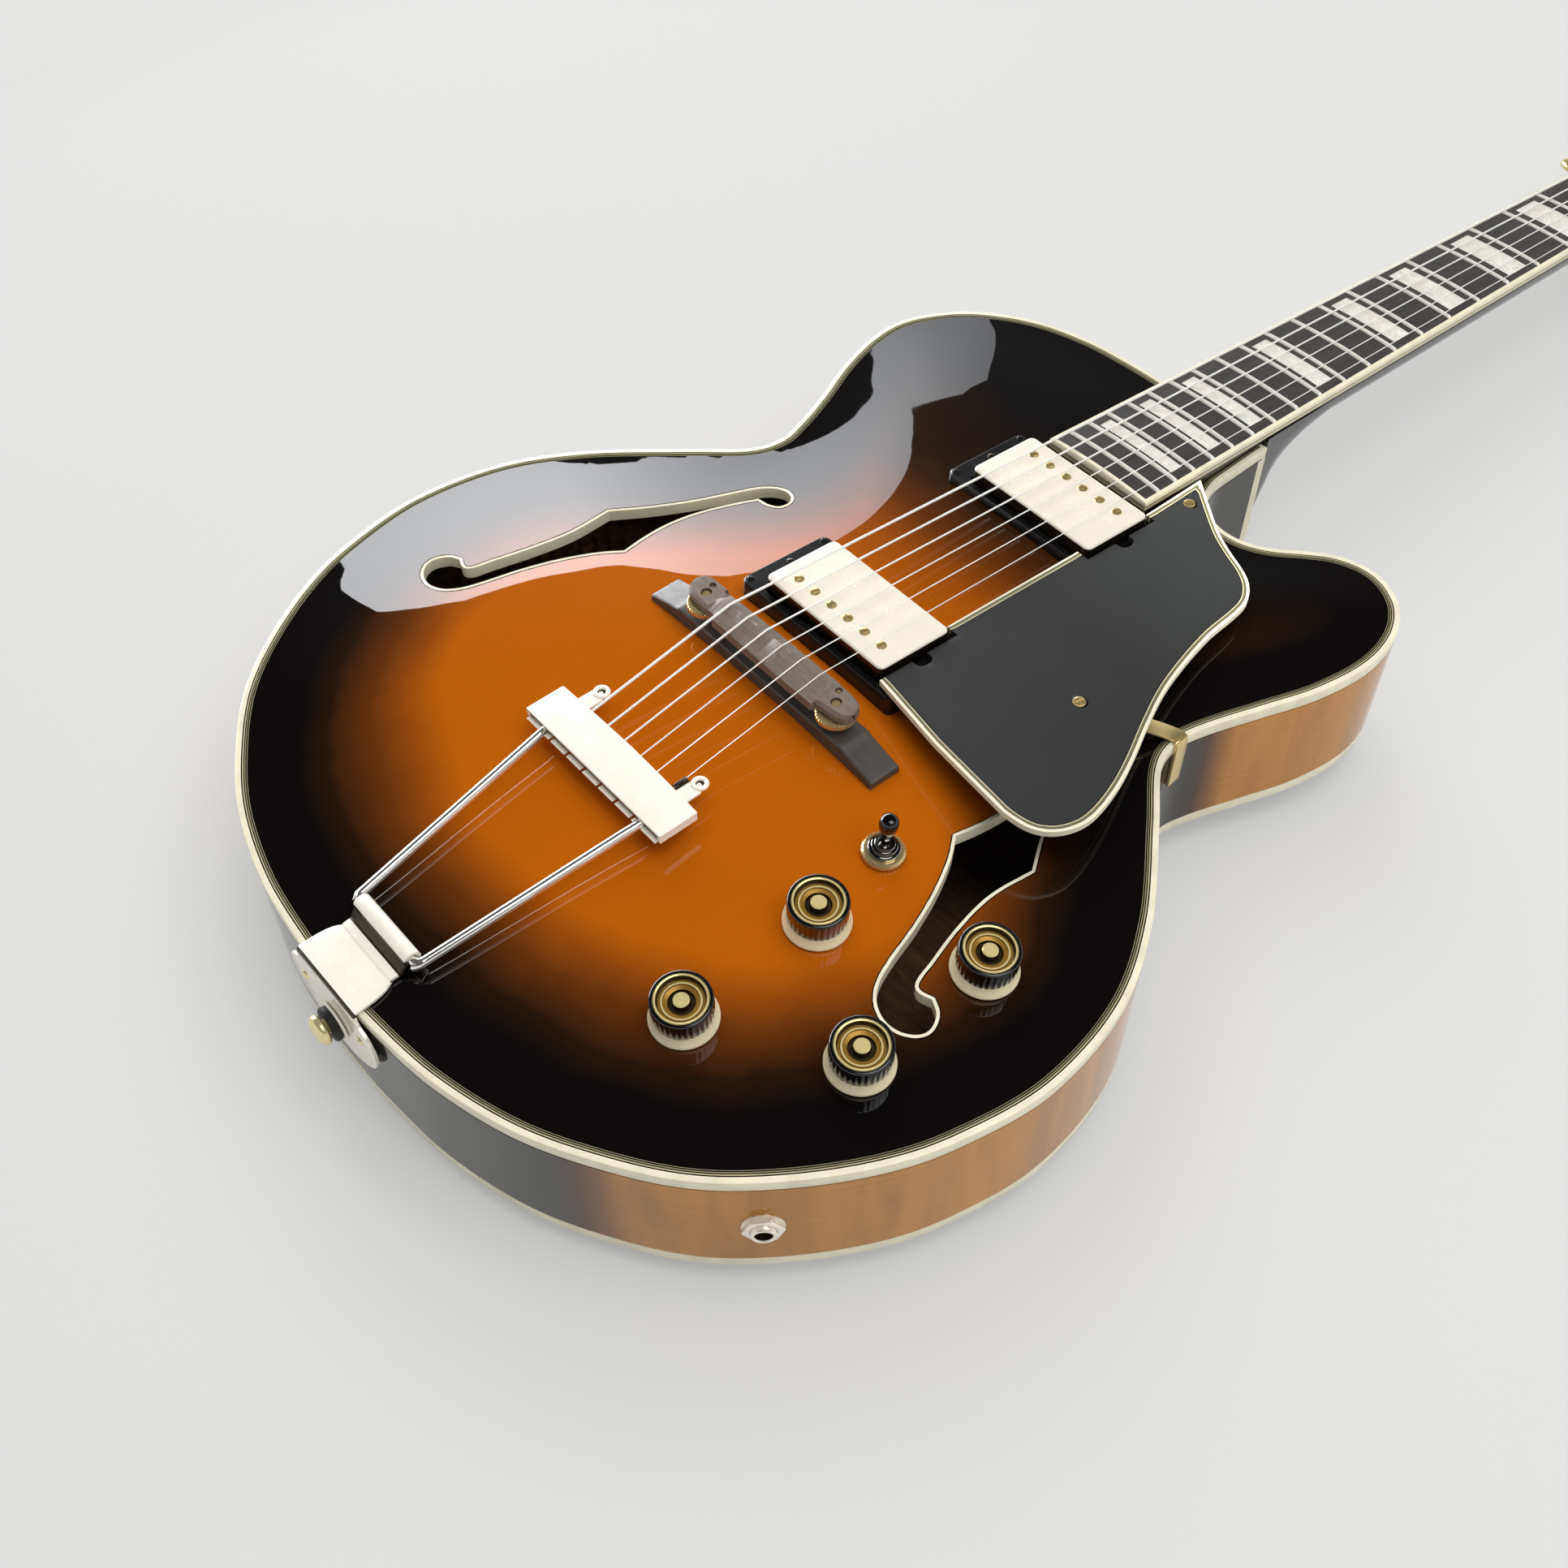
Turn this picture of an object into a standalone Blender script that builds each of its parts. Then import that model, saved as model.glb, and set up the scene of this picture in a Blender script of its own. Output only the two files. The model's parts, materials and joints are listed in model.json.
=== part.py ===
"""Full-depth archtop electric guitar with one rounded cutaway, built in metres.

+Y runs from the tail to the headstock, +X is the treble side, +Z leaves the top.
The body frame starts on the rim plane at the neck joint; the neck and head frames hang from it.
"""
import math

import bmesh
import bpy
import numpy as np
from mathutils import Matrix, Vector
from mathutils.geometry import delaunay_2d_cdt

# strings and neck
SCALE_LENGTH = 0.628
FRET_COUNT = 20
JOINT_FRET = 14
NUT_WIDTH = 0.043
BOARD_WIDTH_AT_LAST_FRET = 0.0575
BOARD_OVERRUN = 0.0105
BOARD_THICKNESS = 0.0062
BOARD_RADIUS = 0.305
BOARD_BINDING = 0.002
FRET_WIDTH = 0.0023
FRET_CROWN = 0.0011
NECK_ANGLE = math.radians(4.36)
BOARD_RISE = 0.00995
NECK_DEPTH_AT_NUT = 0.0145
NECK_DEPTH_AT_JOINT = 0.0180
HEEL_HALF_WIDTH = 0.0284
NUT_LENGTH = 0.005
NUT_HEIGHT = 0.0024
STRING_DIAMETERS = (0.0012, 0.0010, 0.0008, 0.0006, 0.0005, 0.0004)
STRING_SPREAD_AT_NUT = 0.0358
STRING_SPREAD_AT_SADDLE = 0.0520
STRING_SPREAD_AT_TAIL = 0.0510
FRET_CLEARANCE = 0.0005
ACTION_AT_SADDLE = 0.0040
NECK_ROUNDNESS = 0.86
NUT_ROUNDNESS = 0.80
HEEL_REACH = 0.046
HEAD_TILT = math.radians(12.0)
HEAD_LENGTH = 0.178
HEAD_WIDTH = 0.080
HEAD_THICKNESS = 0.0145
STRING_SLOT_CLEARANCE = 0.0002
TRUSS_COVER_THICKNESS = 0.0022

# heel, as (distance before the joint, share of the heel's width, share of the rim's depth, roundness)
HEEL_ROWS = (
    (0.0, 1.0, 0.97, 0.35), (0.004, 0.99, 0.93, 0.45), (0.0075, 0.985, 0.84, 0.55), (0.011, 0.98, 0.68, 0.62),
    (0.016, 0.975, 0.54, 0.68), (0.023, 0.97, 0.44, 0.74), (0.033, 0.965, 0.35, 0.80))

# headstock, as (share of its length, share of its width, share of its thickness, roundness)
HEAD_ROWS = (
    (0.056, 0.56, 1.12, 0.70), (0.124, 0.66, 1.02, 0.50), (0.191, 0.83, 1.0, 0.30), (0.258, 0.90, 1.0, 0.25),
    (0.534, 0.95, 1.0, 0.25), (0.815, 1.0, 1.0, 0.25), (0.888, 0.99, 1.0, 0.25), (0.944, 0.90, 1.0, 0.25),
    (0.978, 0.70, 1.0, 0.25), (1.0, 0.38, 1.0, 0.25))

# half outline of the cover over the truss rod, as (x, distance past the nut)
TRUSS_COVER = ((0.0045, 0.006), (0.0075, 0.012), (0.0062, 0.022), (0.0028, 0.031), (0.0, 0.0335))

# body
BODY_LENGTH = 0.488
BODY_WIDTH = 0.400
RIM_DEPTH = 0.062
PLATE_THICKNESS = 0.0055
BINDING_THICKNESS = 0.0024
RIM_THICKNESS = 0.0032
LINING_WIDTH = 0.009
LINING_DEPTH = 0.013
NECK_BLOCK_LENGTH = 0.050
END_BLOCK_LENGTH = 0.030
END_BLOCK_WIDTH = 0.060
END_BLOCK_RELIEF = 0.0012
TOP_ARCH = 0.0148
BACK_ARCH = 0.0130
ARCH_EXPONENT = 1.5
DEEPEST_SHARE = 0.66
EDGE_STEP = 0.003
FLAT_EDGE = 0.0045
OUTLINE_SAG = 0.00042
ARCH_GRID = 0.031
ARCH_GRID_CLEARANCE = 0.0085
ROW_SHARE = 0.866
BLUNTEST_CORNER = 0.35
FHOLE_BINDING = 0.0016
GAP = 0.0003
BORE_REACH = 0.04
SMOOTH_ANGLE = math.radians(38.0)

# half outlines as (share of the half width, share of the length), from the neck joint round to the tail
TREBLE_UPPER_SHARES = (
    (0.145, 0.0123), (0.147, 0.057), (0.1525, 0.090), (0.1825, 0.1148), (0.240, 0.1295), (0.305, 0.1295),
    (0.365, 0.1178), (0.4255, 0.0961), (0.475, 0.0809), (0.540, 0.0723), (0.605, 0.0758), (0.670, 0.0932),
    (0.715, 0.125), (0.730, 0.168), (0.710, 0.2213), (0.6675, 0.2725), (0.6275, 0.3197))
BASS_UPPER_SHARES = (
    (0.140, 0.0123), (0.260, 0.0129), (0.400, 0.0184), (0.535, 0.0348), (0.650, 0.0652), (0.720, 0.0994),
    (0.760, 0.1393), (0.7575, 0.1803), (0.7225, 0.2295), (0.6675, 0.2807), (0.630, 0.3217))
LOWER_SHARES = (
    (0.6135, 0.3514), (0.6375, 0.3832), (0.735, 0.4303), (0.875, 0.501), (0.9675, 0.5738), (1.0, 0.6598),
    (0.970, 0.7377), (0.920, 0.793), (0.835, 0.8504), (0.735, 0.8985), (0.610, 0.9365), (0.460, 0.9693),
    (0.280, 0.9908), (0.100, 0.999))

# f-hole, treble side, as offsets in metres from its middle; the wings and the hooks are sharp
FHOLE_SHARES = (0.590, 0.5553)
FHOLE = (
    (0.0240, -0.0600), (0.0205, -0.0490), (0.0160, -0.0320), (0.0133, -0.0130), (0.0150, 0.0078),
    (0.0050, 0.0230), (-0.0040, 0.0400), (-0.0110, 0.0570), (-0.0155, 0.0675), (-0.0210, 0.0743),
    (-0.0280, 0.0770), (-0.0345, 0.0750), (-0.0375, 0.0700), (-0.0362, 0.0645), (-0.0310, 0.0617),
    (-0.0250, 0.0612), (-0.0200, 0.0500), (-0.0155, 0.0360), (-0.0135, 0.0220), (-0.0142, 0.0080),
    (-0.0165, -0.0055), (-0.0095, -0.0150), (-0.0022, -0.0290), (0.0040, -0.0450), (0.0087, -0.0610),
    (0.0128, -0.0712), (0.0185, -0.0776), (0.0262, -0.0803), (0.0338, -0.0787), (0.0392, -0.0738),
    (0.0403, -0.0680), (0.0370, -0.0618), (0.0310, -0.0585))

# pickups, along the strings from the end of the fingerboard and from the bridge
NECK_PICKUP_SETBACK = 0.0241
BRIDGE_PICKUP_LEAD = 0.0442
PICKUP_LENGTH = 0.0700
PICKUP_WIDTH = 0.0380
PICKUP_DEPTH = 0.0180
PICKUP_TOP = -0.0012
PICKUP_CORNER = 0.0028
PICKUP_BEVEL = 0.0009
RING_LENGTH = 0.0910
RING_WIDTH = 0.0462
RING_CLEARANCE = 0.0008
RING_STEP = 0.0066
RING_CORNER = 0.0030
RING_LEDGE_AT_ENDS = 0.0065
RING_LEDGE_AT_SIDES = 0.0018

# bridge
BRIDGE_LENGTH = 0.1360
BRIDGE_WIDTH = 0.0150
BRIDGE_SETBACK = 0.0022
BRIDGE_BASE_TOP = 0.0205
BRIDGE_EDGE_HEIGHT = 0.0022
BRIDGE_TAPER = 0.94
STUD_SPACING = 0.0790
STUD_RADIUS = 0.0019
STUD_ROOT = 0.0030
STUD_RECESS = 0.0006
STUD_CLEARANCE = 0.0004
WHEEL_RADIUS = 0.0084
WHEEL_THICKNESS = 0.0028
WHEEL_LIFT = 0.0042
SADDLE_LENGTH = 0.0940
SADDLE_WIDTH = 0.0160
SADDLE_RIDGE = 0.0008
SADDLE_DROP = 0.0013
SADDLE_EAR_HEIGHT = 0.0048
SADDLE_SIDE_SHARE = 0.85
SADDLE_EAR_CROWN = 0.6
INTONATION = (0.0030, 0.0022, 0.0014, 0.0022, 0.0014, 0.0006)
SADDLE_FACE = 0.0018
SADDLE_CROWN_SHARE = 0.6

# half of the bridge's base, as (share of the half length, share of the full height)
BASE_ROWS = ((0.0, 1.0), (0.25, 1.0), (0.5, 1.0), (0.72, 1.0), (0.80, 0.80), (0.985, 0.25), (1.0, 0.0))

# half of the saddle, as (share of the half length, low, high, ridge, width)
SADDLE_ROWS = (
    (0.0, 0.0, 1.0, 1.0, 1.0), (0.30, 0.0, 1.0, 1.0, 1.0), (0.60, 0.0, 1.0, 1.0, 1.0),
    (0.66, 0.0, 1.0, 0.6, 1.0), (0.72, 0.0, 1.0, 0.0, 1.0), (0.88, 0.0, 1.0, 0.0, 0.97),
    (0.96, 0.0, 0.95, 0.0, 0.78), (1.0, 0.10, 0.75, 0.0, 0.50))

# tailpiece
BAR_LENGTH = 0.0840
BAR_WIDTH = 0.0185
BAR_THICKNESS = 0.0044
BAR_TOP = 0.0248
BAR_FRONT = 0.3500
EAR_SPACING = 0.0614
EAR_LENGTH = 0.0125
EAR_WIDTH = 0.0082
ROD_RADIUS = 0.0021
ROD_DROP = 0.0036
ROD_SPACING_AT_BAR = 0.0606
ROD_SPACING_AT_HINGE = 0.0412
ROD_BEND_LENGTH = 0.0050
ROD_BEND_RISE = 0.0004
ROD_BEND_REACH = 0.0018
EAR_SHOULDER_SHARE = 0.6
EAR_TIP_SHARE = 0.5
STRING_ANCHOR_INSET = 0.0006
BRACKET_WIDTH = 0.0370
BRACKET_THICKNESS = 0.0016
HINGE_SHARE = 0.46
HINGE_INSET = 0.0260
HINGE_HEIGHT = 0.0060
CURL_ANGLES = (-60.0, -15.0, 30.0, 75.0, 120.0, 165.0, 205.0)
BRACKET_FOOT = 0.0060
BRACKET_CLEARANCE = 0.0006
BRACKET_RISE = 0.0026
SIDE_PLATE_WIDTH = 0.0570
SIDE_PLATE_DEPTH = 0.0400
PIN_DEPTH = 0.0235
PIN_LENGTH = 0.0095
PIN_RADIUS = 0.0068
PIN_FOOT_RADIUS = 0.0050
PIN_NECK_RADIUS = 0.0042
PIN_NECK_HEIGHT = 0.0040

# plate on the rim, as (share of its depth, share of its half width)
SIDE_PLATE_ROWS = ((0.34, 1.0), (0.50, 1.0), (0.70, 0.84), (0.87, 0.58), (1.0, 0.20))

# pickguard, as (x, distance behind the neck joint) in metres, and its plane over the top
GUARD = (
    (0.0305, 0.0565), (0.0386, 0.0627), (0.0584, 0.0772), (0.0704, 0.0838), (0.0826, 0.0893),
    (0.0905, 0.0950), (0.0962, 0.1035), (0.0984, 0.1140), (0.1003, 0.1315), (0.1049, 0.1520),
    (0.1106, 0.1706), (0.1186, 0.1890), (0.1269, 0.2060), (0.1334, 0.2213), (0.1378, 0.2365),
    (0.1386, 0.2475), (0.1352, 0.2575), (0.1282, 0.2638), (0.1180, 0.2660), (0.1088, 0.2654),
    (0.0747, 0.2620))
GUARD_THICKNESS = 0.0030
GUARD_START = 0.0104
GUARD_EDGE = 0.0310
GUARD_NOTCH = 0.0372
GUARD_PICKUP_CLEARANCE = 0.0020
GUARD_SCREW_HALF_WIDTH = 0.0042
GUARD_SCREW_DEPTH = 0.0050
GUARD_CORNER_STEP = 0.0012
GUARD_CORNER_EASE = 0.0005
STAY_START = (0.0940, -0.2020)
STAY_WIDTH = 0.0084
STAY_THICKNESS = 0.0014
STAY_TONGUE = 0.012
STAY_TONGUE_DROP = 0.0006
STAY_LANDING_INSET = 0.0030
STAY_LANDING_HEIGHT = 0.0016
STAY_MIDDLE = (0.55, 0.62)
STAY_BEND = (0.3, 0.0004, -0.0010)
STAY_FOOT = -0.0240

# controls, as (share of the half width, share of the length)
KNOB_SHARES = (
    ("neck_volume", 0.7575, 0.6316), ("neck_tone", 0.7545, 0.7527),
    ("bridge_volume", 0.4970, 0.7010), ("bridge_tone", 0.4905, 0.8249))
KNOB_RADIUS = 0.0112
KNOB_SKIRT_RADIUS = 0.0129
KNOB_SKIRT_THICKNESS = 0.0009
KNOB_SHOULDER = 0.0034
KNOB_HEIGHT = 0.0150
KNOB_BEVEL = 0.0006
KNOB_BORE_RADIUS = 0.0056
KNOB_BORE_CLEARANCE = 0.0004
SEAT_CLEARANCE = 0.0007
POT_RADIUS = 0.0120
POT_DEPTH = 0.0110
POT_DROP = 0.0022
POT_SHAFT_RADIUS = 0.0046
POT_SHAFT_TOP = 0.0046
POT_HOLE_RADIUS = 0.0066
SWITCH_SHARES = (0.462, 0.6219)
SWITCH_HEIGHT = 0.0230
SWITCH_HOLE_RADIUS = 0.0078
SWITCH_CASE_RADIUS = 0.0090
SWITCH_CASE_DEPTH = 0.0180
SWITCH_NECK_RADIUS = 0.0058
SWITCH_NUT_RADIUS = 0.0086
SWITCH_NUT_TOP = 0.0030
SWITCH_BUSH_RADIUS = 0.0062
SWITCH_BUSH_TOP = 0.0068
SWITCH_BUSH_BEVEL = 0.0004
SWITCH_MOUTH_RADIUS = 0.0044
SWITCH_WELL_RADIUS = 0.0032
SWITCH_WELL_FLOOR = 0.0038
LEVER_PIVOT = 0.0060
LEVER_FOOT = ((0.0, -0.0014), (0.0012, -0.0010), (0.0014, 0.0))
LEVER_RADIUS = 0.0016
TIP_RADIUS = 0.0038
JACK_SHARES = (0.8220, 0.8600)
STRAP_SHARES = (-0.2700, 0.0130)
JACK_NUT_RADIUS = 0.0078
JACK_NUT_TOP = 0.0030
JACK_BORE_RADIUS = 0.0033
JACK_BARREL_RADIUS = 0.0047
JACK_BARREL_REACH = 0.0018
JACK_DEPTH = 0.0220
STRAP_HEIGHT = 0.0110
STRAP_FOOT_RADIUS = 0.0060
STRAP_WAIST_RADII = (0.0035, 0.0040)
STRAP_HEAD_RADIUS = 0.0072

# tuners
POST_ROW = (0.0210, 0.0240, 0.0270)
POST_STEP = 0.0420
POST_START = 0.0400
POST_RADIUS = 0.0030
POST_HEIGHT = 0.0160
POST_HOLE_CLEARANCE = 0.0018
POST_BORE_CLEARANCE = 0.0004
WINDING_SHARE = 0.62
WINDING_PITCH = 0.0004
PLATE_HALF_WIDTH = 0.0065
PLATE_MARGIN = 0.0125
PLATE_SHEET = 0.0012
HOUSING_DEPTH = 0.0085
HOUSING_REACH = 0.0060
HOUSING_SLOPE = 0.0010
HOUSING_BULGE = 0.0015
GEAR_SHARE = 0.55
STEM_RADIUS = 0.0024
BUTTON_REACH = 0.0155
BUTTON_LENGTH = 0.0150
BUTTON_HALF_WIDTH = 0.0071
BUTTON_HALF_THICKNESS = 0.0036

# button, as (share of its length, share of the half width, share of the half thickness)
BUTTON_ROWS = ((0.20, 0.83, 1.0), (0.60, 1.0, 1.0), (1.0, 0.52, 0.5))


def fret_place(count):
    """Distance from the nut to a fret."""
    return SCALE_LENGTH * (1.0 - 2.0 ** (-count / 12.0))


JOINT = fret_place(JOINT_FRET)
BOARD_END = fret_place(FRET_COUNT) + BOARD_OVERRUN
NECK_PICKUP = BOARD_END + NECK_PICKUP_SETBACK
BRIDGE_PICKUP = SCALE_LENGTH - BRIDGE_PICKUP_LEAD
NECK_FRAME = (Matrix.Translation((0.0, JOINT * math.cos(NECK_ANGLE) + BOARD_RISE * math.sin(NECK_ANGLE),
                                  BOARD_RISE * math.cos(NECK_ANGLE) - JOINT * math.sin(NECK_ANGLE)))
              @ Matrix.Rotation(-NECK_ANGLE, 4, "X"))
HEAD_FRAME = (NECK_FRAME @ Matrix.Translation((0.0, NUT_LENGTH + GAP, -BOARD_THICKNESS))
              @ Matrix.Rotation(-HEAD_TILT, 4, "X"))


def board_half_width(distance):
    """Half width of the bound fingerboard at a distance from the nut."""
    taper = (BOARD_WIDTH_AT_LAST_FRET - NUT_WIDTH) / fret_place(FRET_COUNT)
    return (NUT_WIDTH + taper * distance) / 2.0


def crown(x):
    """Drop of the radiused board surface at a sideways place."""
    return math.sqrt(BOARD_RADIUS ** 2 - x ** 2) - BOARD_RADIUS


def spline(knots, steps):
    """Smooth open curve through the knots."""
    points = [np.array(k, float) for k in knots]
    padded = [2 * points[0] - points[1]] + points + [2 * points[-1] - points[-2]]
    curve = []
    for a, b, c, d in zip(padded, padded[1:], padded[2:], padded[3:]):
        for i in range(steps):
            t = i / steps
            curve.append(0.5 * (2 * b + (c - a) * t + (2 * a - 5 * b + 4 * c - d) * t ** 2
                                + (3 * b - a - 3 * c + d) * t ** 3))
    curve.append(points[-1])
    return curve


def thin_out(curve, sag):
    """Fewest points of a dense curve whose chords stay within the sag."""
    kept = [0]
    while kept[-1] < len(curve) - 1:
        start = kept[-1]
        end = start + 1
        while end + 1 < len(curve):
            chord = curve[end + 1] - curve[start]
            normal = np.array((-chord[1], chord[0])) / np.linalg.norm(chord)
            if max(abs((p - curve[start]) @ normal) for p in curve[start + 1:end + 1]) > sag:
                break
            end += 1
        kept.append(end)
    return [curve[i] for i in kept]


def body_point(share_x, share_y):
    """Body-frame place of a share of the half width and of the length."""
    return (share_x * BODY_WIDTH / 2.0, -share_y * BODY_LENGTH)


def outline_knots():
    """Knots from the treble side of the neck joint round the tail to the bass side."""
    treble = [body_point(x, y) for x, y in TREBLE_UPPER_SHARES + LOWER_SHARES]
    tail = [(0.0, -BODY_LENGTH)]
    bass = [body_point(-x, y) for x, y in reversed(BASS_UPPER_SHARES + LOWER_SHARES)]
    return treble + tail + bass


DENSE_OUTLINE = spline(outline_knots(), 8)
OUTLINE = thin_out(DENSE_OUTLINE, OUTLINE_SAG)
JOINT_Y = OUTLINE[0][1]


def boundary_samples():
    """Middles and lengths of short pieces of the closed outline, for the arch."""
    closed = DENSE_OUTLINE + [DENSE_OUTLINE[0]]
    middles = []
    lengths = []
    for a, b in zip(closed, closed[1:]):
        pieces = max(1, int(np.linalg.norm(b - a) / EDGE_STEP))
        for i in range(pieces):
            middles.append(a + (b - a) * (i + 0.5) / pieces)
            lengths.append(np.linalg.norm(b - a) / pieces)
    return np.array(middles), np.array(lengths)


EDGE_MIDDLES, EDGE_LENGTHS = boundary_samples()


def depth_inside(x, y):
    """Smooth distance from the outline, without creases."""
    reach = np.hypot(EDGE_MIDDLES[:, 0] - x, EDGE_MIDDLES[:, 1] - y)
    if reach.min() < FLAT_EDGE:
        return 0.0
    return math.sqrt(2.0 / float((EDGE_LENGTHS / reach ** 3).sum()))


FULL_DEPTH = depth_inside(0.0, -DEEPEST_SHARE * BODY_LENGTH)


def arch(x, y, height):
    """Height of an arched plate over the rim plane."""
    return height * min(1.0, depth_inside(x, y) / FULL_DEPTH) ** ARCH_EXPONENT


def top_at(x, y):
    """Height of the top's outer face."""
    return arch(x, y, TOP_ARCH)


def top_normal(x, y):
    """Outward direction of the top at a place."""
    step = 0.004
    slope_x = (top_at(x + step, y) - top_at(x - step, y)) / (2 * step)
    slope_y = (top_at(x, y + step) - top_at(x, y - step)) / (2 * step)
    return Vector((-slope_x, -slope_y, 1.0)).normalized()


def offset_open(path, distance):
    """Open path moved to its right-hand side, square to its ends."""
    moved = []
    for i, point in enumerate(path):
        normals = []
        if i > 0:
            edge = path[i] - path[i - 1]
            normals.append(np.array((edge[1], -edge[0])) / np.linalg.norm(edge))
        if i < len(path) - 1:
            edge = path[i + 1] - path[i]
            normals.append(np.array((edge[1], -edge[0])) / np.linalg.norm(edge))
        if len(normals) == 2:
            direction = (normals[0] + normals[1]) / (1.0 + float(normals[0] @ normals[1]))
        else:
            direction = normals[0]
        moved.append(point + direction * distance)
    return moved


def offset_loop(loop, distance):
    """Counter-clockwise loop moved outwards, with blunt corners."""
    moved = []
    for before, point, after in zip(loop[-1:] + loop[:-1], loop, loop[1:] + loop[:1]):
        first = point - before
        second = after - point
        n1 = np.array((first[1], -first[0])) / np.linalg.norm(first)
        n2 = np.array((second[1], -second[0])) / np.linalg.norm(second)
        direction = (n1 + n2) / max(BLUNTEST_CORNER, 1.0 + float(n1 @ n2))
        moved.append(point + direction * distance)
    return moved


def signed_area(loop):
    """Area of a loop, positive when counter-clockwise."""
    total = 0.0
    for a, b in zip(loop, loop[1:] + loop[:1]):
        total += a[0] * b[1] - a[1] * b[0]
    return total / 2.0


def is_inside(point, loop):
    """Whether a point lies in a closed loop."""
    inside = False
    for a, b in zip(loop, loop[1:] + loop[:1]):
        if (a[1] > point[1]) != (b[1] > point[1]):
            if point[0] < a[0] + (point[1] - a[1]) / (b[1] - a[1]) * (b[0] - a[0]):
                inside = not inside
    return inside


def loop_distance(point, loop):
    """Distance from a point to a closed loop."""
    best = 1.0
    for a, b in zip(loop, loop[1:] + loop[:1]):
        edge = b - a
        share = min(1.0, max(0.0, float((point - a) @ edge) / float(edge @ edge)))
        best = min(best, float(np.linalg.norm(point - a - share * edge)))
    return best


def circle(x, y, radius, count):
    """Regular counter-clockwise loop."""
    angles = [2 * math.pi * i / count for i in range(count)]
    return [np.array((x + radius * math.cos(angle), y + radius * math.sin(angle))) for angle in angles]


def rectangle(x0, x1, y0, y1):
    """Counter-clockwise rectangle."""
    return [np.array(p) for p in ((x0, y0), (x1, y0), (x1, y1), (x0, y1))]


def rounded_rectangle(x0, x1, y0, y1, radius, steps, splits=0):
    """Counter-clockwise rectangle with round corners and extra points on its long sides."""
    loop = []
    centres = ((x1 - radius, y0 + radius, -90), (x1 - radius, y1 - radius, 0),
               (x0 + radius, y1 - radius, 90), (x0 + radius, y0 + radius, 180))
    for index, (cx, cy, start) in enumerate(centres):
        for i in range(steps + 1):
            angle = math.radians(start + 90.0 * i / steps)
            loop.append(np.array((cx + radius * math.cos(angle), cy + radius * math.sin(angle))))
        if splits and index in (1, 3):
            following = centres[(index + 1) % 4]
            for i in range(splits):
                share = (i + 1) / (splits + 1)
                loop.append(np.array((cx + (following[0] - cx) * share, loop[-1][1])))
    return loop


def new_material(name, colour, metallic, roughness):
    """Principled material of one piece."""
    material = bpy.data.materials.new(name)
    material.use_nodes = True
    shader = material.node_tree.nodes["Principled BSDF"]
    shader.inputs["Base Color"].default_value = (*colour, 1.0)
    shader.inputs["Metallic"].default_value = metallic
    shader.inputs["Roughness"].default_value = roughness
    material.diffuse_color = (*colour, 1.0)
    return material


GOLD = ((0.80, 0.62, 0.30), 1.0, 0.22)
STEEL = ((0.70, 0.68, 0.64), 1.0, 0.25)
CREAM = ((0.85, 0.80, 0.62), 0.0, 0.30)
BLACK = ((0.015, 0.015, 0.015), 0.0, 0.25)
DARK = ((0.05, 0.05, 0.055), 0.0, 0.45)
AMBER = ((0.42, 0.14, 0.02), 0.0, 0.12)
MAPLE = ((0.40, 0.20, 0.07), 0.0, 0.15)
RAW_WOOD = ((0.50, 0.36, 0.20), 0.0, 0.60)
ROSEWOOD = ((0.16, 0.11, 0.08), 0.0, 0.45)


def new_object(name, vertices, faces, finish, parent, smooth=False):
    """One closed body facing outwards."""
    mesh = bpy.data.meshes.new(name)
    mesh.from_pydata([tuple(v) for v in vertices], [], faces)
    work = bmesh.new()
    work.from_mesh(mesh)
    bmesh.ops.remove_doubles(work, verts=work.verts, dist=1e-7)
    bmesh.ops.recalc_face_normals(work, faces=work.faces)
    work.to_mesh(mesh)
    work.free()
    mesh.materials.append(new_material(name, *finish))
    item = bpy.data.objects.new(name, mesh)
    bpy.context.scene.collection.objects.link(item)
    item.parent = parent
    if smooth:
        mesh.shade_smooth()
        limit = math.cos(SMOOTH_ANGLE)
        normals = {}
        for polygon in mesh.polygons:
            for key in polygon.edge_keys:
                normals.setdefault(key, []).append(polygon.normal.copy())
        for edge in mesh.edges:
            sides = normals.get(tuple(sorted(edge.vertices)), [])
            edge.use_edge_sharp = len(sides) == 2 and sides[0].dot(sides[1]) < limit
    return item


def loft(sections, closed=False):
    """Vertices and faces through equal rings, capped at the ends unless closed."""
    count = len(sections[0])
    vertices = [p for section in sections for p in section]
    faces = []
    last = len(sections) if closed else len(sections) - 1
    for i in range(last):
        a = i * count
        b = ((i + 1) % len(sections)) * count
        for j in range(count):
            k = (j + 1) % count
            faces.append((a + j, a + k, b + k, b + j))
    if not closed:
        faces.append(tuple(range(count - 1, -1, -1)))
        faces.append(tuple(range(len(vertices) - count, len(vertices))))
    return vertices, faces


def revolve(profile, count):
    """Solid of a closed (radius, height) profile that starts and ends on the axis."""
    vertices = []
    rings = []
    for radius, height in profile:
        if radius == 0.0:
            rings.append([len(vertices)] * count)
            vertices.append((0.0, 0.0, height))
            continue
        rings.append(list(range(len(vertices), len(vertices) + count)))
        for i in range(count):
            angle = 2 * math.pi * i / count
            vertices.append((radius * math.cos(angle), radius * math.sin(angle), height))
    faces = []
    for lower, upper in zip(rings, rings[1:]):
        for j in range(count):
            k = (j + 1) % count
            corners = []
            for index in (lower[j], lower[k], upper[k], upper[j]):
                if index not in corners:
                    corners.append(index)
            if len(corners) > 2:
                faces.append(tuple(corners))
    return vertices, faces


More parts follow.
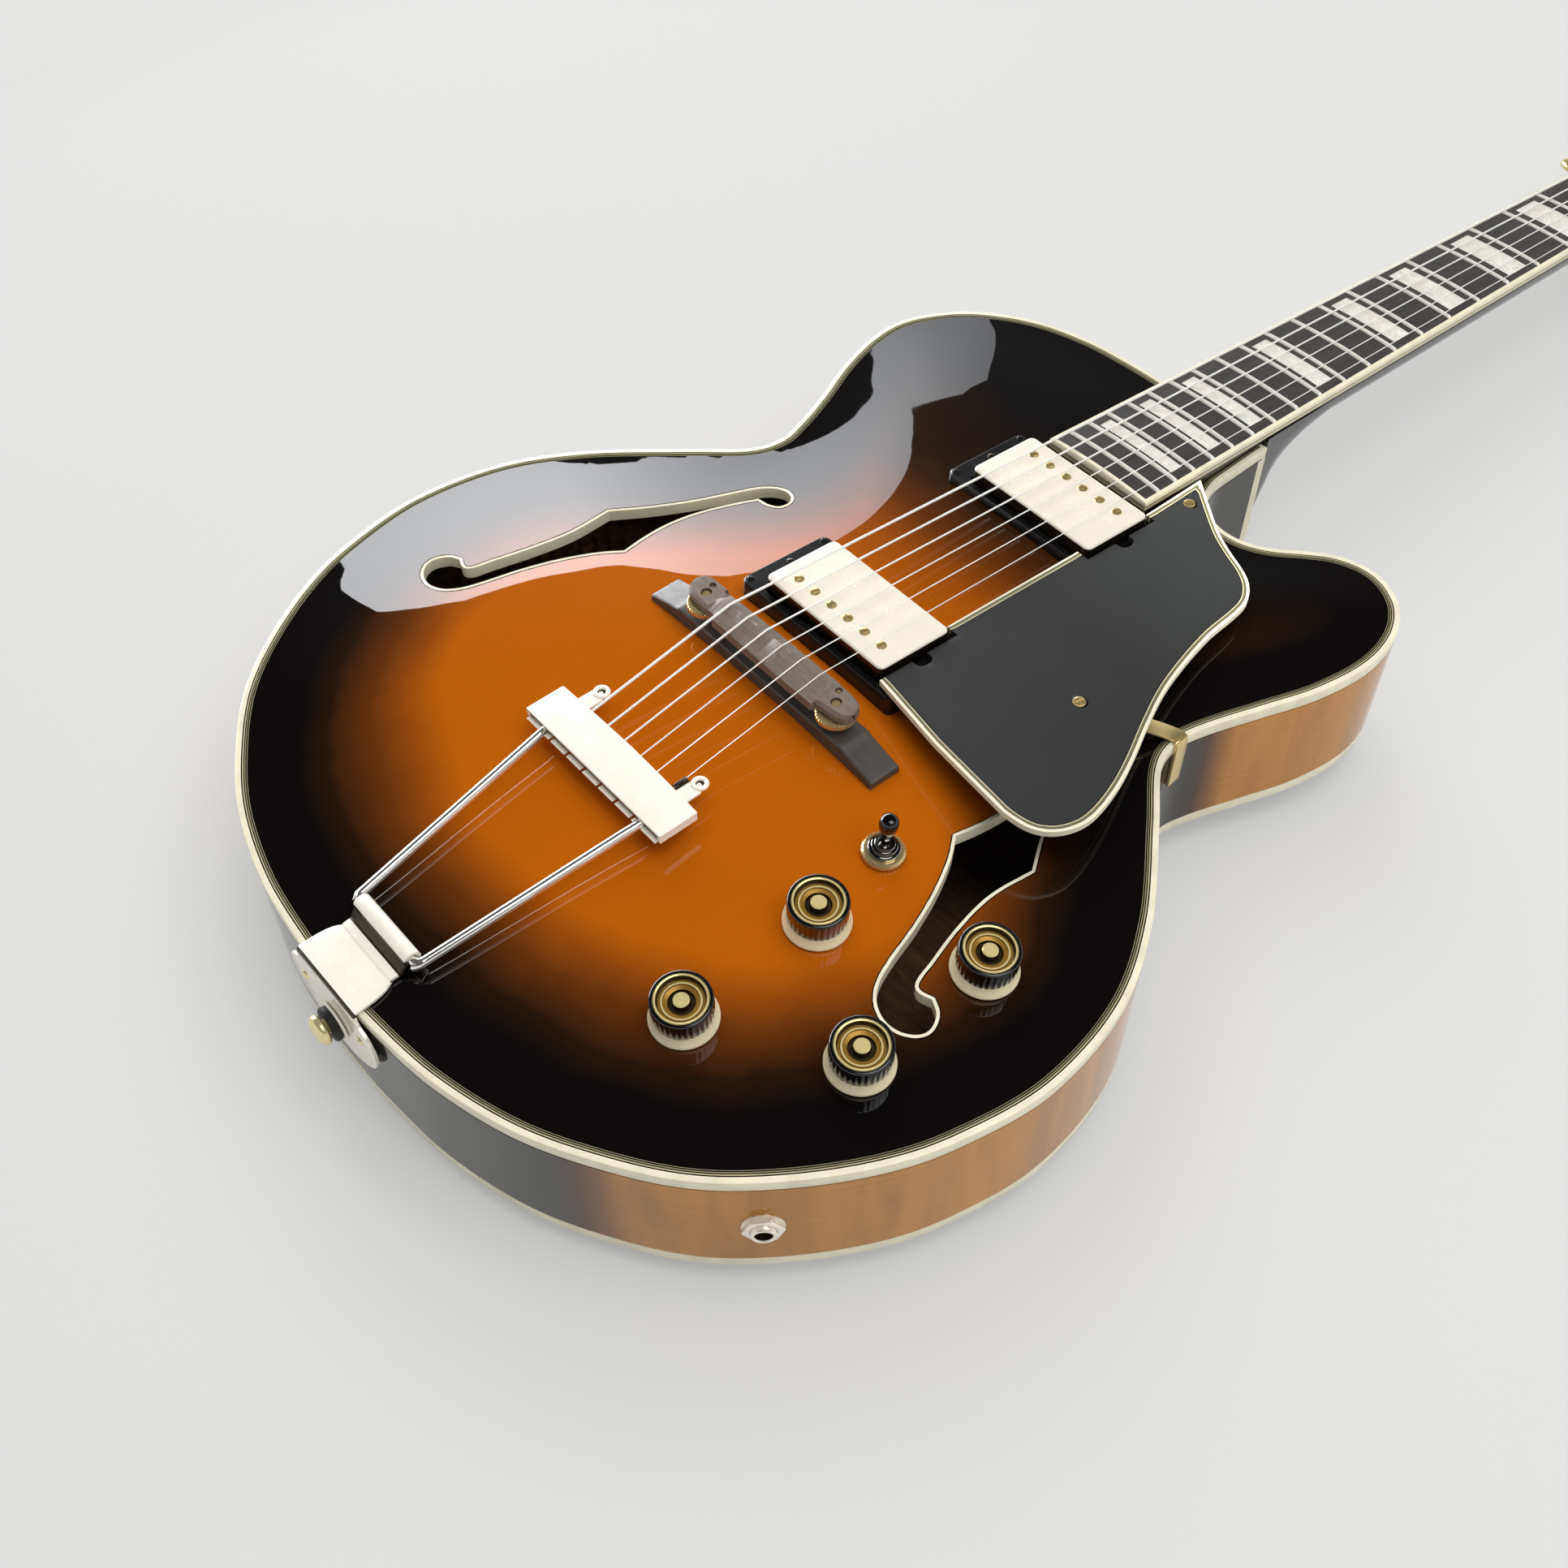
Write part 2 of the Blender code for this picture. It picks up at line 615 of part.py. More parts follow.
def tube(path, radius, count, closed=False):
    """Round wire along a path of points."""
    path = [Vector(p) for p in path]
    sections = []
    side = None
    for i, point in enumerate(path):
        if closed:
            before, after = path[i - 1], path[(i + 1) % len(path)]
        else:
            before, after = path[max(0, i - 1)], path[min(len(path) - 1, i + 1)]
        along = (after - before).normalized()
        if side is None:
            upright = Vector((0.0, 0.0, 1.0)) if abs(along.z) < 0.9 else Vector((0.0, 1.0, 0.0))
            side = along.cross(upright)
        side = (side - along * side.dot(along)).normalized()
        other = along.cross(side)
        angles = [2 * math.pi * j / count for j in range(count)]
        sections.append([point + (side * math.cos(a) + other * math.sin(a)) * radius for a in angles])
    return loft(sections, closed)


def plate(loops, interior, upper, lower):
    """Plate between two height functions, open inside each loop after the first."""
    coordinates = [Vector(p) for loop in loops for p in loop] + [Vector(p) for p in interior]
    edges = []
    start = 0
    for loop in loops:
        edges += [(start + i, start + (i + 1) % len(loop)) for i in range(len(loop))]
        start += len(loop)
    flat, _, triangles, _, _, _ = delaunay_2d_cdt(coordinates, edges, [], 0, 1e-8)
    kept = []
    for triangle in triangles:
        middle = sum((flat[i] for i in triangle), Vector((0.0, 0.0))) / 3.0
        if is_inside(middle, loops[0]) and not any(is_inside(middle, hole) for hole in loops[1:]):
            kept.append(tuple(triangle))
    count = len(flat)
    vertices = [(p.x, p.y, upper(p.x, p.y)) for p in flat] + [(p.x, p.y, lower(p.x, p.y)) for p in flat]
    faces = list(kept)
    faces += [tuple(i + count for i in reversed(triangle)) for triangle in kept]
    used = {(t[i], t[(i + 1) % 3]) for t in kept for i in range(3)}
    for a, b in used:
        if (b, a) not in used:
            faces.append((b, a, a + count, b + count))
    present = sorted({i for face in faces for i in face})
    lookup = {old: new for new, old in enumerate(present)}
    return [vertices[i] for i in present], [tuple(lookup[i] for i in face) for face in faces]


def grid_inside(loops, spacing, clearance):
    """Staggered grid of points well inside the first loop and clear of the others."""
    points = []
    rows = int(BODY_LENGTH / (spacing * ROW_SHARE)) + 2
    columns = int(BODY_WIDTH / spacing) + 2
    for row in range(rows):
        for column in range(-columns // 2, columns // 2 + 1):
            point = np.array(((column + 0.5 * (row % 2)) * spacing, -row * spacing * ROW_SHARE))
            if not is_inside(point, loops[0]) or any(is_inside(point, hole) for hole in loops[1:]):
                continue
            if min(loop_distance(point, loop) for loop in loops) > clearance:
                points.append(point)
    return points


def bore(radius):
    """Round cutter that reaches through a piece on both sides."""
    return revolve(((0.0, -BORE_REACH), (radius, -BORE_REACH), (radius, BORE_REACH), (0.0, BORE_REACH)), 8)


def cut_with(item, cutter):
    """Exact difference kept as a live modifier, with the cutter hidden."""
    modifier = item.modifiers.new("cut_" + cutter.name, "BOOLEAN")
    modifier.operation = "DIFFERENCE"
    modifier.solver = "EXACT"
    modifier.object = cutter
    cutter.hide_render = True
    cutter.hide_viewport = True
    cutter.display_type = "WIRE"


def join_with(item, addition):
    """Exact union kept as a live modifier, with the addition hidden."""
    modifier = item.modifiers.new("join_" + addition.name, "BOOLEAN")
    modifier.operation = "UNION"
    modifier.solver = "EXACT"
    modifier.object = addition
    addition.hide_render = True
    addition.hide_viewport = True
    addition.display_type = "WIRE"


def new_frame(name, matrix, parent):
    """Empty that carries a frame."""
    frame = bpy.data.objects.new(name, None)
    bpy.context.scene.collection.objects.link(frame)
    frame.parent = parent
    frame.matrix_local = matrix
    frame.empty_display_size = 0.02
    return frame


def fhole_loop(side):
    """Outer edge of an f-hole's binding, counter-clockwise."""
    middle = body_point(*FHOLE_SHARES)
    loop = [np.array((side * (middle[0] + x), middle[1] + y)) for x, y in FHOLE]
    if signed_area(loop) < 0.0:
        loop.reverse()
    return loop


def plate_loop(inset):
    """Outline of a plate inside its binding, closed along the neck joint, counter-clockwise."""
    path = offset_open(OUTLINE, inset)
    bass_end = path[-1]
    corner = np.array((OUTLINE[-1][0] + GAP, bass_end[1]))
    loop = path + [corner, np.array((corner[0], JOINT_Y))]
    if signed_area(loop) < 0.0:
        loop.reverse()
    return loop


def pickup_hole(distance):
    """Hole in the top under a pickup ring."""
    middle = NECK_FRAME @ Vector((0.0, -distance, 0.0))
    half_length = RING_LENGTH / 2.0 - RING_LEDGE_AT_ENDS
    half_width = RING_WIDTH / 2.0 - RING_LEDGE_AT_SIDES
    return rectangle(-half_length, half_length, middle.y - half_width, middle.y + half_width)


def build_body(root):
    """Plates, rim, blocks and bindings."""
    top_loops = [plate_loop(BINDING_THICKNESS + GAP)]
    top_loops += [offset_loop(fhole_loop(side), GAP * 0.7) for side in (-1.0, 1.0)]
    top_loops += [pickup_hole(NECK_PICKUP), pickup_hole(BRIDGE_PICKUP)]
    for _, share_x, share_y in KNOB_SHARES:
        top_loops.append(circle(*body_point(share_x, share_y), POT_HOLE_RADIUS, 8))
    top_loops.append(circle(*body_point(*SWITCH_SHARES), SWITCH_HOLE_RADIUS, 8))
    interior = grid_inside(top_loops, ARCH_GRID, ARCH_GRID_CLEARANCE)
    vertices, faces = plate(top_loops, interior, top_at, lambda x, y: top_at(x, y) - PLATE_THICKNESS)
    new_object("top_plate", vertices, faces, AMBER, root, smooth=True)

    back_loops = [plate_loop(BINDING_THICKNESS + GAP)]
    interior = grid_inside(back_loops, ARCH_GRID, ARCH_GRID_CLEARANCE)
    vertices, faces = plate(
        back_loops, interior,
        lambda x, y: PLATE_THICKNESS - RIM_DEPTH - arch(x, y, BACK_ARCH),
        lambda x, y: -RIM_DEPTH - arch(x, y, BACK_ARCH))
    new_object("back_plate", vertices, faces, MAPLE, root, smooth=True)

    high = -PLATE_THICKNESS - GAP
    low = -RIM_DEPTH + PLATE_THICKNESS + GAP
    wall = RIM_THICKNESS
    wide = LINING_WIDTH
    section = ((0.0, high), (wide, high), (wide, high - LINING_DEPTH * 0.6), (wall, high - LINING_DEPTH),
               (wall, low + LINING_DEPTH), (wide, low + LINING_DEPTH * 0.6), (wide, low), (0.0, low))
    paths = {inset: offset_open(OUTLINE, inset) for inset in (0.0, wall, wide)}
    sections = [[(*paths[inset][i], z) for inset, z in section] for i in range(len(OUTLINE))]
    vertices, faces = loft(sections)
    rim = new_object("rim", vertices, faces, MAPLE, root, smooth=True)

    inner = offset_open(OUTLINE, BINDING_THICKNESS)
    for name, z0, z1 in (("top_binding", -PLATE_THICKNESS, 0.0), ("back_binding", -RIM_DEPTH, low - GAP)):
        sections = [[(*OUTLINE[i], z0), (*OUTLINE[i], z1), (*inner[i], z1), (*inner[i], z0)]
                    for i in range(len(OUTLINE))]
        vertices, faces = loft(sections)
        new_object(name, vertices, faces, CREAM, root, smooth=True)

    for name, side in (("fhole_binding_bass", -1.0), ("fhole_binding_treble", 1.0)):
        outer = fhole_loop(side)
        inner_loop = offset_loop(outer, -FHOLE_BINDING)
        sections = []
        for a, b in zip(outer, inner_loop):
            z = top_at(*a)
            sections.append([(*a, z), (*b, z), (*b, z - PLATE_THICKNESS), (*a, z - PLATE_THICKNESS)])
        vertices, faces = loft(sections, closed=True)
        new_object(name, vertices, faces, CREAM, root)

    left = OUTLINE[-1][0] + GAP
    right = OUTLINE[0][0] - LINING_WIDTH - GAP
    block = rectangle(left, right, JOINT_Y - NECK_BLOCK_LENGTH, JOINT_Y - GAP)
    vertices, faces = plate([block], [], lambda x, y: high, lambda x, y: low)
    new_object("neck_block", vertices, faces, RAW_WOOD, root)
    tail_y = -BODY_LENGTH + LINING_WIDTH + GAP + END_BLOCK_RELIEF
    block = rectangle(-END_BLOCK_WIDTH / 2.0, END_BLOCK_WIDTH / 2.0, tail_y, tail_y + END_BLOCK_LENGTH)
    vertices, faces = plate([block], [], lambda x, y: high, lambda x, y: low)
    new_object("end_block", vertices, faces, RAW_WOOD, root)
    return rim


def neck_sections():
    """Rings of the neck from the end of its tongue to the tip of the headstock, in the body frame."""
    steps = 10
    floor = -BOARD_THICKNESS - GAP

    def ring(place, half_width, depth, power, frame, top):
        points = []
        for i in range(steps + 1):
            angle = math.pi * i / steps
            c = math.cos(angle)
            s = max(0.0, math.sin(angle))
            points.append(frame @ Vector((half_width * math.copysign(abs(c) ** power, c), place,
                                          top - depth * s ** power)))
        return points

    def plane_at(y):
        return BOARD_RISE - y * math.tan(NECK_ANGLE)

    def upright(y, half_width, bottom, power):
        high = plane_at(y) + floor / math.cos(NECK_ANGLE)
        return ring(y, half_width, high - bottom, power, Matrix.Identity(4), high)

    sections = []
    tongue_end = -(BOARD_END - JOINT) + BOARD_BINDING + GAP
    for share in (0.0, 0.35, 0.7, 1.0):
        y = tongue_end + (JOINT_Y + 2 * GAP - tongue_end) * share
        half_width = board_half_width(JOINT - y) - BOARD_BINDING
        high = plane_at(y) + floor / math.cos(NECK_ANGLE)
        points = []
        for i in range(steps + 1):
            c = math.cos(math.pi * i / steps)
            if i in (0, steps):
                points.append(Vector((half_width * c, y, high)))
                continue
            x = half_width * math.copysign(1.0, c) if i in (1, steps - 1) else half_width * c
            points.append(Vector((x, y, top_at(x, y) + GAP)))
        sections.append(points)
    for ahead, width, share, power in HEEL_ROWS:
        y = JOINT_Y + GAP + ahead
        sections.append(upright(y, HEEL_HALF_WIDTH * width, -RIM_DEPTH * share, power))
    start = JOINT - HEEL_REACH
    for share in (0.0, 0.25, 0.5, 0.75, 1.0):
        distance = start * (1.0 - share)
        depth = NECK_DEPTH_AT_JOINT + (NECK_DEPTH_AT_NUT - NECK_DEPTH_AT_JOINT) * share
        sections.append(ring(-distance, board_half_width(distance), depth, NECK_ROUNDNESS, NECK_FRAME, floor))
    sections.append(ring(NUT_LENGTH, NUT_WIDTH / 2.0, NECK_DEPTH_AT_NUT, NUT_ROUNDNESS, NECK_FRAME, floor))
    half = HEAD_WIDTH / 2.0
    for place, width, share, power in HEAD_ROWS:
        depth = HEAD_THICKNESS * share
        sections.append(ring(HEAD_LENGTH * place, half * width, depth, power, HEAD_FRAME, 0.0))
    return sections


def post_place(index):
    """Head-frame place of a tuner post, from low to high string."""
    rank = index if index < 3 else 5 - index
    side = -1.0 if index < 3 else 1.0
    return Vector((side * POST_ROW[rank], POST_START + POST_STEP * rank, 0.0))


def build_neck(root, neck, head):
    """Neck, board, nut and the cover on the headstock."""
    vertices, faces = loft(neck_sections())
    item = new_object("neck", vertices, faces, BLACK, root, smooth=True)
    for index in range(6):
        place = post_place(index)
        vertices, faces = bore(POST_RADIUS + POST_HOLE_CLEARANCE)
        cutter = new_object("post_hole_%d" % (index + 1), vertices, faces, BLACK, head)
        cutter.location = place
        cut_with(item, cutter)

    crest = FRET_WIDTH * 0.22
    stations = [(BOARD_END - BOARD_BINDING - GAP, 0.0)]
    for count in range(FRET_COUNT, 0, -1):
        place = fret_place(count)
        stations += [(place + FRET_WIDTH / 2, 0.0), (place + crest, FRET_CROWN),
                     (place - crest, FRET_CROWN), (place - FRET_WIDTH / 2, 0.0)]
    stations.append((GAP, 0.0))
    sections = []
    for distance, lift in stations:
        half = board_half_width(distance) - BOARD_BINDING - GAP
        ring = [(-half, -distance, -BOARD_THICKNESS), (half, -distance, -BOARD_THICKNESS)]
        for share in (1.0, 0.5, -0.5, -1.0):
            x = half * share
            ring.append((x, -distance, crown(x) + lift))
        sections.append(ring)
    vertices, faces = loft(sections)
    new_object("fretboard", vertices, faces, DARK, neck)

    path = [(GAP, -1.0)] + [(BOARD_END, share) for share in (-1.0, -0.5, 0.0, 0.5, 1.0)] + [(GAP, 1.0)]
    sections = []
    for i, (distance, share) in enumerate(path):
        half = board_half_width(distance)
        x = half * share
        inner_distance = distance - (BOARD_BINDING if 0 < i < len(path) - 1 else 0.0)
        inner_half = board_half_width(inner_distance) - BOARD_BINDING
        inner_x = math.copysign(inner_half, share) if abs(share) == 1.0 else x
        z = crown(x)
        sections.append([(x, -distance, z), (inner_x, -inner_distance, crown(inner_x)),
                         (inner_x, -inner_distance, -BOARD_THICKNESS), (x, -distance, -BOARD_THICKNESS)])
    vertices, faces = loft(sections)
    new_object("fretboard_binding", vertices, faces, CREAM, neck)

    half = NUT_WIDTH / 2.0
    shoulder = NUT_HEIGHT * 0.6
    profile = [np.array(p) for p in ((-half, -BOARD_THICKNESS), (half, -BOARD_THICKNESS), (half, shoulder))]
    for index in range(5, -1, -1):
        x = string_x(index, STRING_SPREAD_AT_NUT)
        radius = STRING_DIAMETERS[index] / 2.0 + STRING_SLOT_CLEARANCE
        floor = crown(x) + FRET_CROWN + FRET_CLEARANCE - GAP / 2.0
        profile += [np.array((x + radius, NUT_HEIGHT + crown(x))), np.array((x + radius, floor)),
                    np.array((x - radius, floor)), np.array((x - radius, NUT_HEIGHT + crown(x)))]
    profile.append(np.array((-half, shoulder)))
    vertices, faces = plate([profile], [], lambda x, y: NUT_LENGTH, lambda x, y: GAP * 0.5)
    vertices = [(x, z, y) for x, y, z in vertices]
    new_object("nut", vertices, faces, CREAM, neck)

    loop = [np.array(p) for p in TRUSS_COVER]
    loop += [np.array((-x, y)) for x, y in reversed(TRUSS_COVER[:-1])]
    vertices, faces = plate([loop], [], lambda x, y: GAP + TRUSS_COVER_THICKNESS, lambda x, y: GAP)
    new_object("truss_rod_cover", vertices, faces, BLACK, head)


def string_x(index, spread):
    """Sideways place of a string, from low to high."""
    return -spread / 2.0 + spread * index / 5.0


def build_strings(neck):
    """Six strings from the tailpiece over the saddle and the nut to the posts."""
    to_neck = NECK_FRAME.inverted()
    for index in range(6):
        radius = STRING_DIAMETERS[index] / 2.0
        tail_x = string_x(index, STRING_SPREAD_AT_TAIL)
        tail_y = -BAR_FRONT + GAP + STRING_ANCHOR_INSET
        tail = to_neck @ Vector((tail_x, tail_y, BAR_TOP - BAR_THICKNESS / 2.0))
        saddle_x = string_x(index, STRING_SPREAD_AT_SADDLE)
        break_height = ACTION_AT_SADDLE + crown(saddle_x) * SADDLE_CROWN_SHARE
        saddle = Vector((saddle_x, -saddle_place(index), break_height))
        nut_x = string_x(index, STRING_SPREAD_AT_NUT)
        height = crown(nut_x) + FRET_CROWN + FRET_CLEARANCE + radius
        points = [tail, saddle, Vector((nut_x, 0.0, height)), Vector((nut_x, NUT_LENGTH, height))]
        head_to_neck = to_neck @ HEAD_FRAME
        place = post_place(index)
        side = math.copysign(1.0, place.x)
        winding = POST_RADIUS + POST_BORE_CLEARANCE + radius
        for step in range(7):
            angle = math.pi + step * math.pi / 4
            height = POST_HEIGHT * WINDING_SHARE - step * WINDING_PITCH
            round_post = Vector((side * winding * math.cos(angle), winding * math.sin(-angle), height))
            points.append(head_to_neck @ (place + round_post))
        vertices, faces = tube(points, radius, 6)
        new_object("string_%d" % (6 - index), vertices, faces, STEEL, neck, smooth=True)


def saddle_place(index):
    """Distance from the nut to a string's break on the intonated saddle."""
    return SCALE_LENGTH + INTONATION[index] - SADDLE_FACE


def build_pickups(neck):
    """Covered double-coil pickups in their rings."""
    for name, distance in (("neck", NECK_PICKUP), ("bridge", BRIDGE_PICKUP)):
        half_length = PICKUP_LENGTH / 2.0
        half_width = PICKUP_WIDTH / 2.0
        sections = []
        for height, shrink in ((-PICKUP_DEPTH, 0.0), (-PICKUP_BEVEL, 0.0), (0.0, PICKUP_BEVEL)):
            loop = rounded_rectangle(-half_length + shrink, half_length - shrink, -half_width + shrink,
                                     half_width - shrink, PICKUP_CORNER, 2)
            sections.append([(p[0], p[1], height) for p in loop])
        vertices, faces = loft(sections)
        item = new_object("%s_pickup" % name, vertices, faces, GOLD, neck, smooth=True)
        item.location = (0.0, -distance, PICKUP_TOP)

        outer = rounded_rectangle(-RING_LENGTH / 2, RING_LENGTH / 2, -RING_WIDTH / 2, RING_WIDTH / 2,
                                  RING_CORNER, 2, 4)
        inner = rounded_rectangle(-half_length - RING_CLEARANCE, half_length + RING_CLEARANCE,
                                  -half_width - RING_CLEARANCE, half_width + RING_CLEARANCE,
                                  PICKUP_CORNER, 2, 4)
        top = PICKUP_TOP - RING_STEP
        sections = []
        for a, b in zip(outer, inner):
            rows = []
            for point, at_top in ((a, True), (b, True), (b, False), (a, False)):
                place = Vector((point[0], point[1] - distance, top))
                if not at_top:
                    body = NECK_FRAME @ place
                    for _ in range(3):
                        body = NECK_FRAME @ place
                        place.z += top_at(body.x, body.y) + GAP - body.z
                rows.append(tuple(place))
            sections.append(rows)
        vertices, faces = loft(sections, closed=True)
        new_object("%s_pickup_ring" % name, vertices, faces, BLACK, neck)


def mirrored(rows):
    """Rows from the far side over the middle, from half of them."""
    return [(-row[0], *row[1:]) for row in reversed(rows[1:])] + list(rows)


def build_bridge(root):
    """Floating wooden bridge on the arched top."""
    middle = NECK_FRAME @ Vector((0.0, -SCALE_LENGTH, 0.0))
    y = middle.y - BRIDGE_SETBACK
    half = BRIDGE_LENGTH / 2.0
    w = BRIDGE_WIDTH / 2.0
    edge = top_at(half, y) + BRIDGE_EDGE_HEIGHT
    sections = []
    for share, top in mirrored(BASE_ROWS):
        x = half * share
        low = max(top_at(x, y - w), top_at(x, y + w), top_at(x, y)) + GAP
        high = edge + (BRIDGE_BASE_TOP - edge) * top
        sections.append([(x, y - w, low), (x, y + w, low), (x, y + w * BRIDGE_TAPER, high),
                         (x, y - w * BRIDGE_TAPER, high)])
    vertices, faces = loft(sections)
    base = new_object("bridge_base", vertices, faces, ROSEWOOD, root)
    break_height = (NECK_FRAME @ Vector((0.0, -SCALE_LENGTH, ACTION_AT_SADDLE))).z
    wheel_low = BRIDGE_BASE_TOP + WHEEL_LIFT
    saddle_low = wheel_low + WHEEL_THICKNESS + GAP
    ear_top = saddle_low + SADDLE_EAR_HEIGHT
    stud_low = BRIDGE_BASE_TOP - STUD_ROOT
    stud_high = ear_top - STUD_RECESS
    for index, side in enumerate((-1.0, 1.0)):
        vertices, faces = revolve(((0.0, stud_low), (STUD_RADIUS, stud_low), (STUD_RADIUS, stud_high),
                                   (0.0, stud_high)), 8)
        stud = new_object("stud_%d" % index, vertices, faces, GOLD, root)
        stud.location = (side * STUD_SPACING / 2.0, y, 0.0)
        join_with(base, stud)

    saddle_frame = new_frame("saddle_frame", Matrix.Translation((0.0, y, saddle_low)), root)
    peak = break_height - saddle_low
    sections = []
    ear = SADDLE_EAR_HEIGHT
    for share, low, high, ridge, wide in mirrored(SADDLE_ROWS):
        x = SADDLE_LENGTH / 2.0 * share
        w = SADDLE_WIDTH / 2.0 * wide
        drop = crown(min(abs(x), STRING_SPREAD_AT_SADDLE / 2.0)) if ridge > 0.5 else 0.0
        top = ear * high + (peak - ear - SADDLE_DROP + drop * SADDLE_CROWN_SHARE) * ridge
        side_top = ear * high * SADDLE_SIDE_SHARE
        slim = SADDLE_RIDGE if ridge > 0.5 else w * SADDLE_EAR_CROWN
        shift = SADDLE_RIDGE if ridge > 0.5 else 0.0
        sections.append([(x, -w, ear * low), (x, w, ear * low), (x, w, side_top),
                         (x, shift + slim, top), (x, shift - slim, top), (x, -w, side_top)])
    vertices, faces = loft(sections)
    saddle = new_object("bridge_saddle", vertices, faces, ROSEWOOD, saddle_frame)
    for index, side in enumerate((-1.0, 1.0)):
        vertices, faces = bore(STUD_RADIUS + STUD_CLEARANCE)
        cutter = new_object("stud_bore_%d" % index, vertices, faces, GOLD, saddle_frame)
        cutter.location = (side * STUD_SPACING / 2.0, 0.0, 0.0)
        cut_with(saddle, cutter)

    inner = STUD_RADIUS + GAP
    for name, side in (("bass", -1.0), ("treble", 1.0)):
        sections = []
        for near, far in zip(circle(0.0, 0.0, inner, 16), circle(0.0, 0.0, WHEEL_RADIUS, 16)):
            sections.append([(*near, 0.0), (*far, 0.0), (*far, WHEEL_THICKNESS), (*near, WHEEL_THICKNESS)])
        vertices, faces = loft(sections, closed=True)
        wheel = new_object("thumbwheel_%s" % name, vertices, faces, GOLD, root, smooth=True)
        wheel.location = (side * STUD_SPACING / 2.0, y, wheel_low)


def build_tailpiece(root):
    """Trapeze tailpiece: hinged bar, rods and the bracket screwed to the tail."""
    half = BAR_LENGTH / 2.0
    front = -BAR_FRONT
    rear = front - BAR_WIDTH
    low = BAR_TOP - BAR_THICKNESS
    ear_x = EAR_SPACING / 2.0
    outside = EAR_WIDTH / 2.0
    tip = outside * EAR_TIP_SHARE
    shoulder = front + EAR_LENGTH * EAR_SHOULDER_SHARE
    end = front + EAR_LENGTH
    right = [(half, rear), (half, front), (ear_x + outside, front), (ear_x + outside, shoulder),
             (ear_x + tip, end), (ear_x - tip, end), (ear_x - outside, shoulder), (ear_x - outside, front)]
    loop = [np.array(p) for p in right] + [np.array((-x, y)) for x, y in reversed(right)]
    vertices, faces = plate([loop], [], lambda x, y: BAR_TOP, lambda x, y: low)
    new_object("tailpiece_bar", vertices, faces, GOLD, root)

    rod_z = BAR_TOP - ROD_DROP
    hinge_y = -BODY_LENGTH + HINGE_INSET
    hinge_z = top_at(0.0, hinge_y) + HINGE_HEIGHT
    bar_y = rear - 3 * GAP
    bar_x = ROD_SPACING_AT_BAR / 2.0
    hinge_x = ROD_SPACING_AT_HINGE / 2.0
    path = [(-bar_x, bar_y, rod_z), (-hinge_x, hinge_y + ROD_BEND_LENGTH, hinge_z + ROD_BEND_RISE),
            (-hinge_x + ROD_BEND_RISE, hinge_y + ROD_BEND_LENGTH * 0.28, hinge_z),
            (-hinge_x + ROD_BEND_REACH, hinge_y, hinge_z)]
    path += [(-x, y, z) for x, y, z in reversed(path)]
    vertices, faces = tube(path, ROD_RADIUS, 8)
    new_object("tailpiece_rods", vertices, faces, GOLD, root, smooth=True)

    thick = BRACKET_THICKNESS
    out = -BODY_LENGTH - GAP
    curl = ROD_RADIUS + 2 * GAP + thick / 2
    line = []
    for angle in CURL_ANGLES:
        turn = math.radians(angle)
        line.append((hinge_y + curl * math.cos(turn), hinge_z + curl * math.sin(turn), HINGE_SHARE))
    floor = top_at(0.0, hinge_y - BRACKET_FOOT) + GAP + thick / 2 + BRACKET_CLEARANCE
    over = 2 * GAP + thick / 2
    face = out - thick / 2 - GAP
    line += [(hinge_y - 0.92 * BRACKET_FOOT, floor, HINGE_SHARE),
             (hinge_y - 1.25 * BRACKET_FOOT, floor - GAP, HINGE_SHARE),
             (hinge_y - HINGE_INSET / 2.0, GAP + thick / 2 + BRACKET_RISE, 0.50),
             (out + thick, over, 0.52), (out - thick / 4, over, 0.52),
             (face, GAP, 0.52), (face, -10 * GAP, 0.53),
             (face, -SIDE_PLATE_DEPTH * 0.10, 0.56), (face, -SIDE_PLATE_DEPTH * 0.20, 0.68)]
    plate_half = SIDE_PLATE_WIDTH / 2.0 / BRACKET_WIDTH
    for share, width in SIDE_PLATE_ROWS:
        line.append((face, -SIDE_PLATE_DEPTH * share, plate_half * width))
    sections = []
    for i, (y, z, width) in enumerate(line):
        y0, z0, _ = line[max(0, i - 1)]
        y1, z1, _ = line[min(len(line) - 1, i + 1)]
        along = Vector((0.0, y1 - y0, z1 - z0)).normalized()
        across = along.cross(Vector((1.0, 0.0, 0.0))) * (thick / 2)
        middle = Vector((0.0, y, z))
        side = Vector((width * BRACKET_WIDTH, 0.0, 0.0))
        sections.append([middle - side - across, middle + side - across,
                         middle + side + across, middle - side + across])
    vertices, faces = loft(sections)
    new_object("tailpiece_bracket", vertices, faces, GOLD, root)

    profile = ((0.0, 0.0), (PIN_FOOT_RADIUS, 0.0), (PIN_NECK_RADIUS, PIN_NECK_HEIGHT),
               (PIN_RADIUS * 0.9, PIN_LENGTH * 0.62), (PIN_RADIUS, PIN_LENGTH * 0.8),
               (PIN_RADIUS * 0.85, PIN_LENGTH), (0.0, PIN_LENGTH))
    vertices, faces = revolve(profile, 14)
    pin = new_object("end_pin", vertices, faces, GOLD, root, smooth=True)
    pin.location = (0.0, -BODY_LENGTH - thick - 3 * GAP, -PIN_DEPTH)
    pin.rotation_euler = (math.radians(90.0), 0.0, 0.0)


